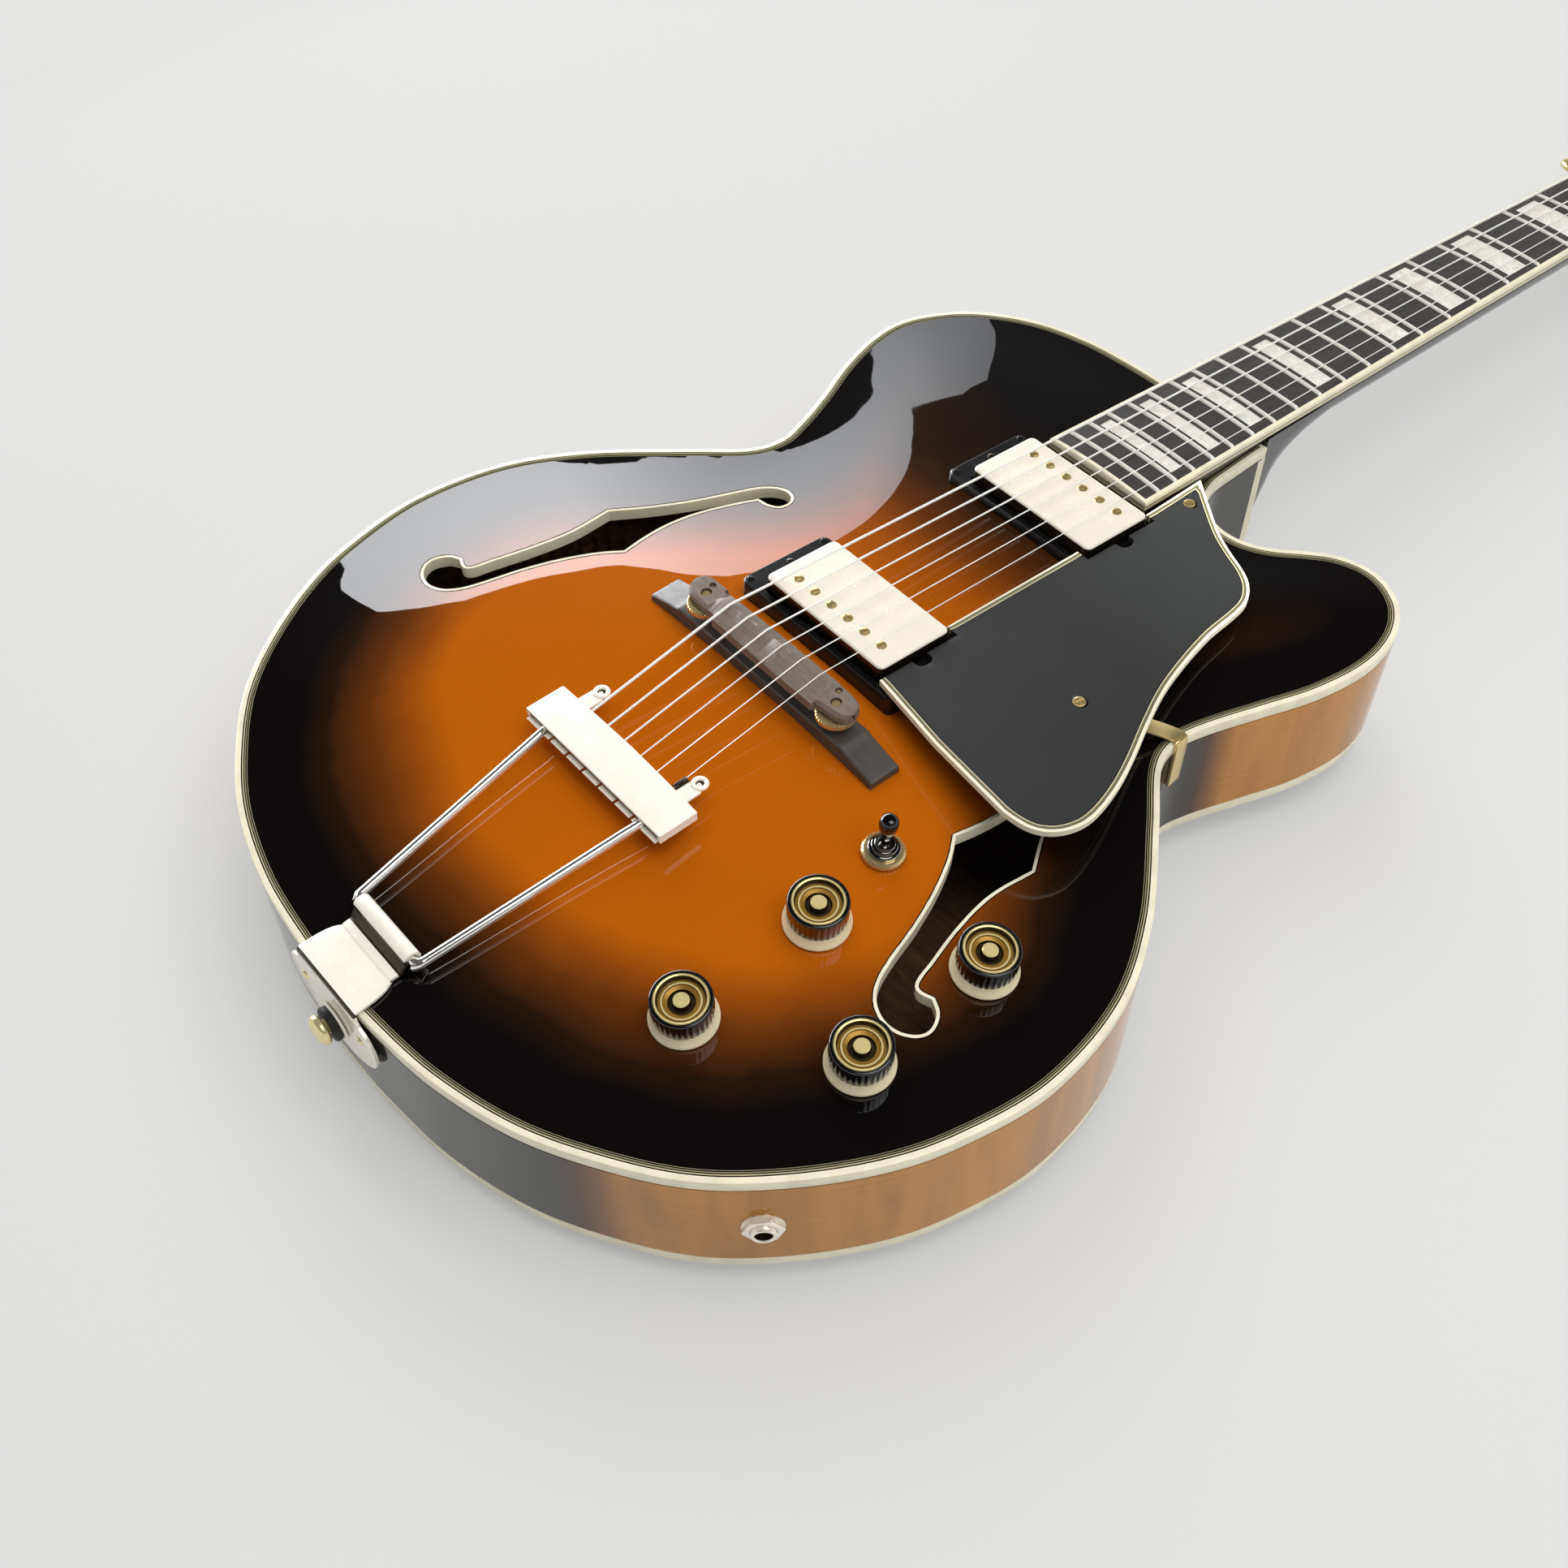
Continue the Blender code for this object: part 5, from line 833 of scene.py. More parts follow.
def guard_vinyl():
    """Laminated vinyl: satin grey-black face over cream, olive and dark plies at the scraped edge, painted sheen
    to the neck.
    """
    look = bpy.context.scene.archtop_colours
    neck_end = (BODY @ Vector((0.0, -0.04, 0.0))).y
    material, tree, shader = surface("laminated_satin_vinyl", Roughness=0.42, Specular_IOR_Level=0.5)
    depth = node(tree, "Attribute", attribute_name="across").outputs["Fac"]
    share = node(tree, "MapRange", {"Value": depth, "From Min": 0.0, "From Max": 0.004})
    lines = node(tree, "ValToRGB", {"Fac": share}, stops=(
        (0.0, look.binding[:]), (0.33, "#26241a"), (0.37, "#6f6b4a"), (0.61, "#d9cfa8"), (0.71, "#14120f"),
        (0.82, look.guard[:])))
    lines.color_ramp.interpolation = "CONSTANT"
    mixed = clouded(tree, lines, 45.0, 5.0, (0.3, 0.9), (0.65, 1.0))[1]
    place = node(tree, "TexCoord").outputs["Object"]
    # Painted sheen: the face grows lighter towards the neck end.
    painted_sheen = node(tree, "MapRange", {"Value": node(tree, "SeparateXYZ", {0: place}).outputs["Y"],
                                     **span(neck_end - 0.13, neck_end, 1.0, 2.4)})
    sheened = node(tree, "Mix", {0: 1.0, 6: mixed, 7: painted_sheen}, **MULTIPLY)
    tooth = node(tree, "TexNoise", {"Vector": place, "Scale": 1600.0, "Detail": 2.0})
    bump = node(tree, "Bump", {"Height": tooth, "Strength": 0.12, "Distance": 0.0001})
    feed(shader, {"Base Color": sheened, "Normal": bump})
    return material


FINISHES = {}


def finish(name):
    """The material of that name, made on first use."""
    look = bpy.context.scene.archtop_colours
    makers = {
        "sunburst": (sunburst_lacquer,),
        "maple": (flamed_maple,),
        "cream": (celluloid, "cream_celluloid", look.binding[:]),
        "top_plies": (plies, "laminated_celluloid_purfling", (
            (0.0, look.binding[:]), (0.0024, "#0b0a09"), (0.0029, "#b3ad84"), (0.0034, "#0b0a09"),
            (0.0038, "#8f8a66"), (0.0042, "#0b0a09"), (0.0047, "#9a9470"), (0.005, "#080606")), 0.0052),
        "raw_wood": (open_grained, "raw_spruce", "#b98e5c", 0.7, (30.0, 220.0, 30.0), 0.15),
        "kerfed": (open_grained, "kerfed_basswood", "#8f6a42", 0.75, (60.0, 60.0, 240.0), 0.2),
        "black_lacquer": (lacquered, "black_polyester_lacquer", look.neck[:]),
        "board": (open_grained, "oiled_rosewood_board", look.board[:], 0.42, (520.0, 16.0, 300.0), 0.2, 0.6),
        # Darker wood for faces inside the body: painted shade.
        "inside": (open_grained, "unlit_inner_wood", "#6a4e34", 0.8, (40.0, 240.0, 40.0), 0.2),
        "fhole_plies": (plies, "fhole_strip_plies", ((0.0, "#1b1813"), (0.0004, look.binding[:])), 0.002),
        "board_plies": (plies, "board_side_plies", (
            (0.0, look.binding[:]), (0.0034, "#15120e"), (0.0038, "#cfc6a2"), (0.0056, "#15120e")), 0.0066),
        "pearl": (mother_of_pearl, "white_pearl_inlay"),
        "nickel_silver": (plated, "nickel_silver_fretwire", "#fbf8ee", 0.22, 0.25, 0.3),
        "wound_string": (wound, "roundwound_nickel_string", "#fffdf6", 0.3),
        "plain_string": (plated, "plain_steel_string", "#fffdf8", 0.24, 0.25, 0.2),
        "satin_cover": (plated, "pale_gold_pickup_cover", look.cover[:], 0.26, 0.12, 0.16),
        "gold": (plated, "polished_gold_plate", look.gold[:], 0.2, 0.25, 0.75),
        # Dark gold for the pickup covers' sides: painted shade.
        "cover_side": (plated, "shaded_gold_cover_side", "#4a4030", 0.2, 0.2, 0.9),
        # Dark gold plate: painted shade in the gap under the bar, below the ear eyes, in the bracket's groove and
        # creases.
        "fold": (plated, "dull_gold_fold", "#423a2c", 0.3, 0.3, 0.7),
        "button_gold": (plated, "pale_gold_button", "#f3e3b0", 0.18, 0.2, 0.6),
        "bright_gold": (plated, "pale_gold_plated_sheet", "#fff9ec", 0.26, 0.12, 0.1),
        "side_sheet": (plated, "pale_gold_side_sheet", "#fff8ea", 0.22, 0.2, 0.35),
        "nickel": (plated, "pale_nickel_plate", "#fff8ea", 0.14, 0.25, 0.5),
        # Near-black for the inside of the jack's barrel: painted shade.
        "bore": (moulded, "shaded_jack_bore", "#15110c", 0.5),
        "chrome": (plated, "polished_pale_rod", "#fdfaf4", 0.08, 0.15, 0.9),
        "bush_chrome": (plated, "polished_chrome_bushing", "#b9b7b2", 0.12, 0.2, 1.0),
        "dark_steel": (plated, "blued_spring_steel", "#5c5148", 0.35),
        "black_plastic": (moulded, "moulded_black_abs", "#0d0d0e", 0.26, 0.05),
        "guard": (guard_vinyl,),
        "bridge_wood": (open_grained, "carved_rosewood_bridge", look.bridge[:], 0.4, (60.0, 620.0, 300.0),
                        0.18, 0.45),
        "foot_wood": (open_grained, "sanded_rosewood_foot", "#46423d", 0.38, (40.0, 520.0, 200.0), 0.12, 0.3),
        "knob": (moulded, "moulded_black_knob", look.knob[:], 0.16, 0.0, 0.8),
        "knob_skirt": (moulded, "cast_cream_gold_skirt", "#fff3cb", 0.25),
        "knob_gold": (plated, "spun_gold_dish", "#a67c2e", 0.28, 0.25, 0.5),
        # Pale gold on the dish's lip, ridge and boss: painted highlights.
        "knob_painted_highlight": (plated, "burnished_gold_edge", "#f0dc9c", 0.2, 0.2, 0.4),
        # Dark gold in the dish's wall and groove: painted shade.
        "knob_painted_shade": (plated, "shaded_gold_groove", "#3a2c12", 0.35, 0.25, 0.5),
        "tip": (moulded, "polished_black_tip", "#08080a", 0.08, 0.0, 0.5),
        "rubber": (moulded, "black_rubber_washer", "#171717", 0.6, 0.2),
        "felt": (moulded, "black_felt_washer", "#141414", 0.95, 0.8),
        "bone": (celluloid, "polished_bone", "#efe9d6", 0.3),
        "pot_steel": (plated, "zinc_plated_pot_steel", "#a9a9a4", 0.4),
    }
    if name not in FINISHES:
        maker, *details = makers[name]
        FINISHES[name] = maker(*details)
    return FINISHES[name]


# pieces

class ARCHTOP_OT_stage(bpy.types.Operator):
    """Camera at the photograph's place, a pale sweep and soft studio light"""
    bl_idname = "archtop.stage"
    bl_label = "Stage"

    # name, place, goal, size, power in watts, and whether gloss mirrors it
    lamps = (("bass_softbox", (-1.55, 0.62, 1.2), (-0.1, -0.15, 0.0), (1.5, 1.1), 11.0, False),
             ("ceiling_scrim", (-0.35, 0.15, 2.3), (-0.05, -0.15, 0.0), (3.4, 3.4), 59.0, False),
             ("treble_softbox", (0.95, -0.05, 1.9), (0.0, -0.2, 0.0), (1.4, 1.4), 17.0, True),
             ("low_side_softbox", (1.7, 0.25, 0.4), (0.15, -0.15, 0.0), (0.8, 0.5), 3.0, False))
    card_x = -0.8
    card_glow = 8.5
    card_outline = ((-0.7, -0.05), (0.76, -0.05), (0.76, 0.505), (0.73, 0.565), (0.7, 0.602), (0.6, 0.604),
                    (0.5, 0.583), (0.44, 0.568), (0.32, 0.566), (0.28, 0.556), (0.25, 0.538), (0.2, 0.508),
                    (0.15, 0.49), (0.05, 0.49), (-0.1, 0.495), (-0.195, 0.484), (-0.21, 0.455), (-0.7, 0.44))
    floor_size = 8.0
    fade_start, fade_end = 1.1, 2.5
    paper_lift = 0.45

    def execute(self, context):
        look = context.scene.archtop_colours
        scene = context.scene
        scene.view_settings.view_transform = "Standard"
        camera = added(bpy.ops.object.camera_add)
        camera.name = "photo_camera"
        camera.data.lens = PHOTO_LENS
        camera.data.sensor_width = PHOTO_SENSOR
        camera.data.clip_start = 0.02
        camera.data.dof.use_dof = False
        right, down, ahead = Vector(PHOTO_RIGHT), Vector(PHOTO_DOWN), Vector(PHOTO_AHEAD)
        turn = Matrix((right, -down, -ahead)).transposed().to_4x4()
        camera.matrix_world = BODY @ at(*PHOTO_PLACE) @ turn
        scene.camera = camera
        self.floor(look)
        world = bpy.data.worlds.new("studio")
        scene.world = world
        world.use_nodes = True
        tree = world.node_tree
        direction = node(tree, "TexCoord").outputs["Generated"]
        height = node(tree, "SeparateXYZ", {0: direction}).outputs["Z"]
        sky = node(tree, "ValToRGB", {"Fac": height}, stops=(
            (0.0, "#e4e4e2"), (0.22, "#e4e4e2"), (0.42, "#6a6a6b"), (0.66, "#1c1c1d"), (1.0, "#1c1c1d")))
        feed(tree.nodes["Background"], {"Color": sky, "Strength": 1.0})
        for name, spot, goal, size, power, mirrored in self.lamps:
            self.lamp(name, Vector(spot), Vector(goal), size, power, mirrored)
        self.card()
        return {"FINISHED"}

    def card(self):
        """Low lit card beside the bass side, seen only in reflections, brightest towards the tail."""
        item = shaped([(self.card_x, y, z) for y, z in self.card_outline],
                      [tuple(range(len(self.card_outline)))])
        item.name = "reflected_card"
        material, tree, shader = surface("lit_paper_card", Roughness=1.0)
        y = node(tree, "SeparateXYZ", {0: node(tree, "TexCoord").outputs["Object"]}).outputs["Y"]
        share = node(tree, "MapRange", {"Value": y, "From Min": 0.0, "From Max": 1.0})
        level = node(tree, "ValToRGB", {"Fac": share}, stops=(
            (0.0, "#fafcff"), (0.1, "#f6f8fc"), (0.27, "#cbcdd1"), (0.42, "#aaacb0"), (0.57, "#8b8d90"),
            (0.75, "#737477")))
        feed(shader, {"Emission Color": level, "Emission Strength": self.card_glow, "Base Color": "#000000"})
        item.data.materials.append(material)
        placed(item, BODY)
        for kind in ("camera", "diffuse", "transmission", "volume_scatter", "shadow"):
            setattr(item, "visible_" + kind, False)

    def floor(self, look):
        """Paper that the guitar lies on, fading into the backdrop."""
        floor = added(bpy.ops.mesh.primitive_plane_add, size=self.floor_size)
        floor.name = "paper_sweep"
        material, tree, shader = surface("matt_background_paper", Roughness=0.9, Specular_IOR_Level=0.1)
        mixed = clouded(tree, look.floor[:], 700.0, 2.0, (0.3, 0.985), (0.7, 1.0))[1]
        place = node(tree, "TexCoord").outputs["Object"]
        reach = node(tree, "VectorMath", {0: place}, operation="LENGTH").outputs["Value"]
        fade = node(tree, "MapRange", {"Value": reach, **span(self.fade_start, self.fade_end, 1.0, 0.0)})
        feed(shader, {"Base Color": mixed, "Alpha": fade})
        ray = node(tree, "LightPath").outputs
        mirrored = node(tree, "Math", {0: ray["Is Glossy Ray"], 1: ray["Is Transmission Ray"]},
                        operation="MAXIMUM")
        seen = node(tree, "Math", {0: mirrored, 1: ray["Is Camera Ray"]}, operation="MAXIMUM")
        reached = node(tree, "Math", {0: seen, 1: fade}, operation="MULTIPLY")
        lifted = node(tree, "Math", {0: reached, 1: self.paper_lift}, operation="MULTIPLY")
        paper = node(tree, "MixShader",
                     {0: lifted, 1: shader, 2: node(tree, "Emission", {"Color": "#e3e3e2"})})
        feed(tree.nodes["Material Output"], {"Surface": paper})
        floor.data.materials.append(material)

    def lamp(self, name, spot, goal, size, power, mirrored):
        """Soft box at a place in the body frame, turned to a goal, and whether gloss mirrors it."""
        data = bpy.data.lights.new(name, "AREA")
        data.shape = "RECTANGLE"
        data.size, data.size_y = size
        data.energy = power
        item = bpy.data.objects.new(name, data)
        bpy.context.scene.collection.objects.link(item)
        turn = (goal - spot).to_track_quat("-Z", "Y").to_matrix().to_4x4()
        item.matrix_world = BODY @ Matrix.Translation(spot) @ turn
        item.visible_glossy = mirrored


class ARCHTOP_OT_top(bpy.types.Operator):
    """Arched top with its burst, the laminated binding round it and the bound f-holes"""
    bl_idname = "archtop.top"
    bl_label = "Top"

    def execute(self, context):
        sizes = context.scene.archtop_sizes
        trim = sizes.binding + sizes.purfling
        holes = [widened(fhole_loop(side), GAP / 2) for side in (-1.0, 1.0)]
        for distance in (NECK_PICKUP, BRIDGE_PICKUP):
            y = (TO_NECK @ Vector((0.0, -distance, 0.0))).y
            holes.append(rectangle(-0.0385, 0.0385, y - 0.0212, y + 0.0212))
        holes += [circle(*body_point(*share), CONTROL_HOLES.get(name, 0.0066), 24)
                  for name, share in CONTROL_SHARES.items()]
        flat, triangles = filled([plate_loop(trim)] + holes, 0.0042)
        height = arch_at(flat, TOP_ARCH)
        top = two_faced(flat, triangles, height, height - PLATE_THICKNESS)
        points = points_of(top)
        written(top, "burst", self.burst(points, sizes.burst))
        dressed(top, "arched_top", "body", "sunburst", ["top_plate"], move=BODY)
        self.binding(sizes, trim)
        for name, side in (("bass", -1.0), ("treble", 1.0)):
            self.fhole_binding(name, fhole_loop(side), sizes.fhole_binding)
        return {"FINISHED"}

    def burst(self, points, band):
        """Share from the dark edge, 0, to the middle of the burst, 1."""
        edge = (edge_depth(points)[1] - 0.3 * band) / (0.92 * band)
        neckward = np.interp(points[:, 1], (-0.225, -0.185, -0.145, -0.105, -0.055),
                             (1.0, 0.76, 0.3, 0.17, 0.0))
        return np.clip(np.minimum(edge, neckward), 0.0, 1.0)

    def binding(self, sizes, trim):
        """Laminated ring from the outer edge to the last fine line."""
        offsets = (0.0, sizes.binding, trim)
        paths = [inward(offset) for offset in offsets]
        rings = []
        for i in range(len(OUTLINE)):
            upper = [(*path[i], 0.0) for path in paths]
            rings.append(upper + [(*paths[2][i], -0.0015), (*paths[1][i], -0.0015),
                                  (*paths[1][i], -PLATE_THICKNESS), (*paths[0][i], -PLATE_THICKNESS)])
        item = lofted(rings)
        across = np.interp(edge_depth(points_of(item))[1], (0.0, 0.01), (0.0, 0.01))
        written(item, "across", across)
        rounded(item, 0.0004, 2, 60.0)
        dressed(item, "laminated_top_binding", "body", "top_plies", ["top_binding"], move=BODY)

    def fhole_binding(self, name, outer, width):
        """Cream strip standing in the edge of an f-hole."""
        inner = widened(outer, -width)
        heights = arch_at(outer, TOP_ARCH)
        rings = [[(*a, z), (*b, z), (*b, z - PLATE_THICKNESS), (*a, z - PLATE_THICKNESS)]
                 for a, b, z in zip(outer, inner, heights)]
        item = lofted(rings, True)
        walls = evenly(np.vstack((outer, outer[:1])), 0.0003)
        written(item, "across", [np.hypot(*(walls - v.co[:2]).T).min() for v in item.data.vertices])
        dressed(item, "fhole_strip_" + name, "body", "fhole_plies", ["fhole_binding_" + name],
                move=BODY)


class ARCHTOP_OT_sides(bpy.types.Operator):
    """Bent rim with kerfed linings, the back and its binding"""
    bl_idname = "archtop.sides"
    bl_label = "Rim and back"

    def execute(self, context):
        high = -PLATE_THICKNESS - GAP
        low = -RIM_DEPTH + PLATE_THICKNESS + GAP
        inner = inward(0.0032)
        rings = [[(*a, high), (*a, low), (*b, low), (*b, high)] for a, b in zip(OUTLINE, inner)]
        rim = lofted(rings)
        points = points_of(rim)
        nearest = np.array([np.argmin(np.hypot(*(OUTLINE - p[:2]).T)) for p in points])
        self.stain(rim, ALONG[nearest], points[:, 2], self.shade(nearest))
        start = Vector(OUTLINE[0]).to_3d()
        # Faces that look into the body get the darker inner wood: painted shade.
        painted(rim, "maple", ("inside", self.faces_in),
                ("cream", lambda c, n: (c.xy - start.xy).length < 0.0038))
        dressed(rim, "bent_rim", "body", "maple", ["rim"], move=BODY)
        self.linings(high, low)
        self.back(low)
        return {"FINISHED"}

    def faces_in(self, centre, normal):
        """Whether a face of the rim looks into the body."""
        i = int(np.argmin(np.hypot(*(OUTLINE - centre[:2]).T)))
        a, b = OUTLINE[max(0, i - 1)], OUTLINE[min(len(OUTLINE) - 1, i + 1)]
        return normal.x * (b[1] - a[1]) - normal.y * (b[0] - a[0]) > 0.5 * math.hypot(*(b - a))

    def shade(self, nearest):
        """Share from dark, at the heel, the waist and the tail, to amber."""
        x, y = OUTLINE[nearest].T
        waist = np.clip((np.abs(y + 0.182) - 0.016) / 0.022, 0.0, 1.0)
        tail = np.clip((np.abs(x) - 0.096) / 0.032, 0.0, 1.0)
        tail = np.where(y < -0.3, tail, 1.0)
        heel = np.clip((np.hypot(x, y) - 0.075) / 0.05, 0.0, 1.0)
        return np.minimum(np.minimum(waist, tail), heel)

    def stain(self, item, along, across, shade):
        """Stores the grain's own coordinates and the shading."""
        layer = item.data.attributes.new("grain", "FLOAT_VECTOR", "POINT")
        layer.data.foreach_set("vector", np.column_stack((along, across, np.zeros(len(along)))).astype(
            np.float32).ravel())
        written(item, "burst", shade)

    def linings(self, high, low):
        """Kerfed strips glued inside the rim, under the top and over the back."""
        outer, inner = inward(0.0034), inward(0.009)
        for name, edge, way in (("upper", high, -1.0), ("lower", low, 1.0)):
            rings = []
            for i in range(3, len(OUTLINE) - 3):
                kerf = 0.45 if i % 3 == 0 else 0.0
                depth = outer[i] - inner[i]
                rings.append([(*outer[i], edge + way * 0.0002), (*outer[i], edge + way * 0.0125),
                                       (*(inner[i] + depth * (0.15 + kerf)), edge + way * 0.0075),
                                       (*(inner[i] + depth * kerf), edge + way * 0.0002)])
            item = lofted(rings)
            dressed(item, "kerfed_lining_" + name, "body", "kerfed", angle=20.0, move=BODY)

    def back(self, low):
        """Arched back in two matched halves, and its cream binding."""
        width = 0.0024
        lowest = -RIM_DEPTH
        flat, triangles = filled([plate_loop(width + GAP)], 0.006)
        rise = arch_at(flat, BACK_ARCH)
        item = two_faced(flat, triangles, lowest + PLATE_THICKNESS - rise, lowest - rise)
        points = points_of(item)
        depth = edge_depth(points)[1]
        self.stain(item, points[:, 1] + 0.16 * np.abs(points[:, 0]), np.abs(points[:, 0]),
                   np.clip(depth / 0.085, 0.0, 1.0))
        # The back's inner face gets the darker inner wood: painted shade.
        painted(item, "maple", ("inside", lambda c, n: n.z > 0.5))
        dressed(item, "arched_back", "body", "maple", ["back_plate"], move=BODY)
        inner = inward(width)
        rings = [[(*a, low - GAP), (*b, low - GAP), (*b, lowest), (*a, lowest)]
                 for a, b in zip(OUTLINE, inner)]
        strip = rounded(lofted(rings), 0.0005, 2, 60.0)
        dressed(strip, "back_strip", "body", "cream", ["back_binding"], move=BODY)


def frame_rect(half_x, half_y, corner, steps=6):
    """Counter-clockwise rectangle with round corners."""
    loop = []
    for index, (sx, sy) in enumerate(((1, -1), (1, 1), (-1, 1), (-1, -1))):
        for angle in np.radians(np.linspace(-90.0, 0.0, steps + 1) + 90.0 * index):
            loop.append((sx * (half_x - corner) + corner * math.cos(angle),
                         sy * (half_y - corner) + corner * math.sin(angle)))
    return np.array(loop)


def board_half_width(distance):
    """Half width of the bound fingerboard at a distance from the nut."""
    taper = (BOARD_WIDTH_AT_LAST_FRET - NUT_WIDTH) / fret_place(FRET_COUNT)
    return (NUT_WIDTH + taper * distance) / 2.0


def crown(x):
    """Drop of the radiused board at a sideways place."""
    return np.sqrt(BOARD_RADIUS ** 2 - np.square(x)) - BOARD_RADIUS


def screw(radius, height, slot_width=0.0006):
    """Round-headed slotted screw head, standing on z = 0."""
    head = turned(((0.0, height), (radius * 0.55, height * 0.94), (radius * 0.9, height * 0.55),
                   (radius, 0.0), (0.0, 0.0)), 24, unit=1.0)
    slot = added(bpy.ops.mesh.primitive_cube_add, size=1.0, location=(0.0, 0.0, height * 0.9),
                 scale=(radius * 2.4, slot_width, height * 0.9))
    bpy.ops.object.transform_apply(location=True, rotation=True, scale=True)
    return cut(head, slot)


class ARCHTOP_OT_neck(bpy.types.Operator):
    """Lacquered neck from the tongue to the tip of the bound headstock"""
    bl_idname = "archtop.neck"
    bl_label = "Neck"

    heel = ((0.0, 1.0, 0.97, 0.35), (0.004, 0.99, 0.93, 0.45), (0.0075, 0.985, 0.84, 0.55),
            (0.011, 0.98, 0.68, 0.62), (0.016, 0.975, 0.54, 0.68), (0.023, 0.97, 0.44, 0.74),
            (0.033, 0.965, 0.35, 0.8))
    head = ((0.01, 0.56, 1.12, 0.7), (0.022, 0.66, 1.02, 0.5), (0.034, 0.83, 1.0, 0.3),
            (0.046, 0.9, 1.0, 0.25), (0.07, 0.925, 1.0, 0.25), (0.095, 0.95, 1.0, 0.25),
            (0.12, 0.975, 1.0, 0.25), (0.145, 1.0, 1.0, 0.25), (0.158, 0.99, 1.0, 0.25),
            (0.168, 0.9, 1.0, 0.25), (0.174, 0.7, 1.0, 0.25), (0.178, 0.38, 1.0, 0.25))

    def execute(self, context):
        floor = -BOARD_THICKNESS - GAP
        joint_y = OUTLINE[0][1]
        rings = []
        for ahead, width, share, power in spline(self.heel, 3):
            y = joint_y + GAP + ahead
            high = BOARD_RISE - y * math.tan(NECK_ANGLE) + floor / math.cos(NECK_ANGLE)
            rings.append(self.ring(Matrix.Identity(4), y, 0.0284 * width, high + RIM_DEPTH * share, power,
                                   high))
        start = JOINT - 0.046
        for share in np.linspace(0.0, 1.0, 13):
            distance = start * (1.0 - share)
            depth = 0.018 + (NECK_DEPTH_AT_NUT - 0.018) * share
            rings.append(self.ring(TO_NECK, -distance, board_half_width(distance), depth, 0.86, floor))
        rings.append(self.ring(TO_NECK, NUT_LENGTH, NUT_WIDTH / 2.0, NECK_DEPTH_AT_NUT, 0.8, floor))
        outline = spline(self.head, 3)
        for place, width, depth, power in outline:
            rings.append(self.ring(TO_HEAD, place, HEAD_HALF_WIDTH * width, NECK_DEPTH_AT_NUT * depth, power,
                                   0.0))
        neck = lofted(rings)
        tongue_end = -(BOARD_END - JOINT) + 0.0023
        rings = []
        for y in np.linspace(tongue_end, joint_y + 2 * GAP, 9):
            half = board_half_width(JOINT - y) - 0.002
            high = BOARD_RISE - y * math.tan(NECK_ANGLE) + floor / math.cos(NECK_ANGLE)
            across = np.linspace(-half, half, 9)
            low = arch_at(np.column_stack((across, np.full(9, y))), TOP_ARCH) + GAP
            rings.append([(half, y, high), (-half, y, high)] + [(x, y, z) for x, z in zip(across, low)])
        neck = joined(neck, lofted(rings))
        for index in range(6):
            cut(neck, placed(rod(4.8, -30, 30), TO_HEAD @ Matrix.Translation(post_place(index))))
        dressed(neck, "lacquered_neck", "body", "black_lacquer", ["neck"], angle=40.0,
                move=BODY)
        self.head_binding(outline)
        return {"FINISHED"}

    def ring(self, matrix, y, half, depth, power, top):
        """Cross-section with a flat top and a rounded back."""
        points = []
        for angle in np.linspace(0.0, math.pi, 33):
            c, s = math.cos(angle), max(0.0, math.sin(angle))
            points.append(matrix @ Vector((half * math.copysign(abs(c) ** power, c), y,
                                           top - depth * s ** power)))
        return np.array(points)

    def head_binding(self, outline):
        """Cream strip let into the edge of the headstock's face."""
        right = [(HEAD_HALF_WIDTH * width, place) for place, width, _, _ in outline if place > 0.016]
        path = np.array(right + [(-x, y) for x, y in reversed(right)])
        middle = np.array((0.0, 0.09))
        rings = []
        following = np.roll(path, -1, axis=0)
        before = np.roll(path, 1, axis=0)
        for i, (x, y) in enumerate(path):
            ahead = following[i] if i < len(path) - 1 else path[i]
            behind = before[i] if i else path[i]
            way = (ahead - behind) / np.linalg.norm(ahead - behind)
            side = np.array((way[1], -way[0]))
            if side @ (path[i] - middle) < 0.0:
                side = -side
            out, inn = path[i] + side * 0.0001, path[i] - side * 0.0016
            rings.append([(*out, 0.00012), (*inn, 0.00012), (*inn, -0.0021), (*out, -0.0021)])
        dressed(lofted(rings), "headstock_strip", "body", "cream", move=HEAD)


def post_place(index):
    """Head-frame place of a tuner post, from low to high string."""
    rank = index if index < 3 else 5 - index
    side = -1.0 if index < 3 else 1.0
    return Vector((side * (0.021, 0.024, 0.027)[rank], 0.04 + 0.042 * rank, 0.0))


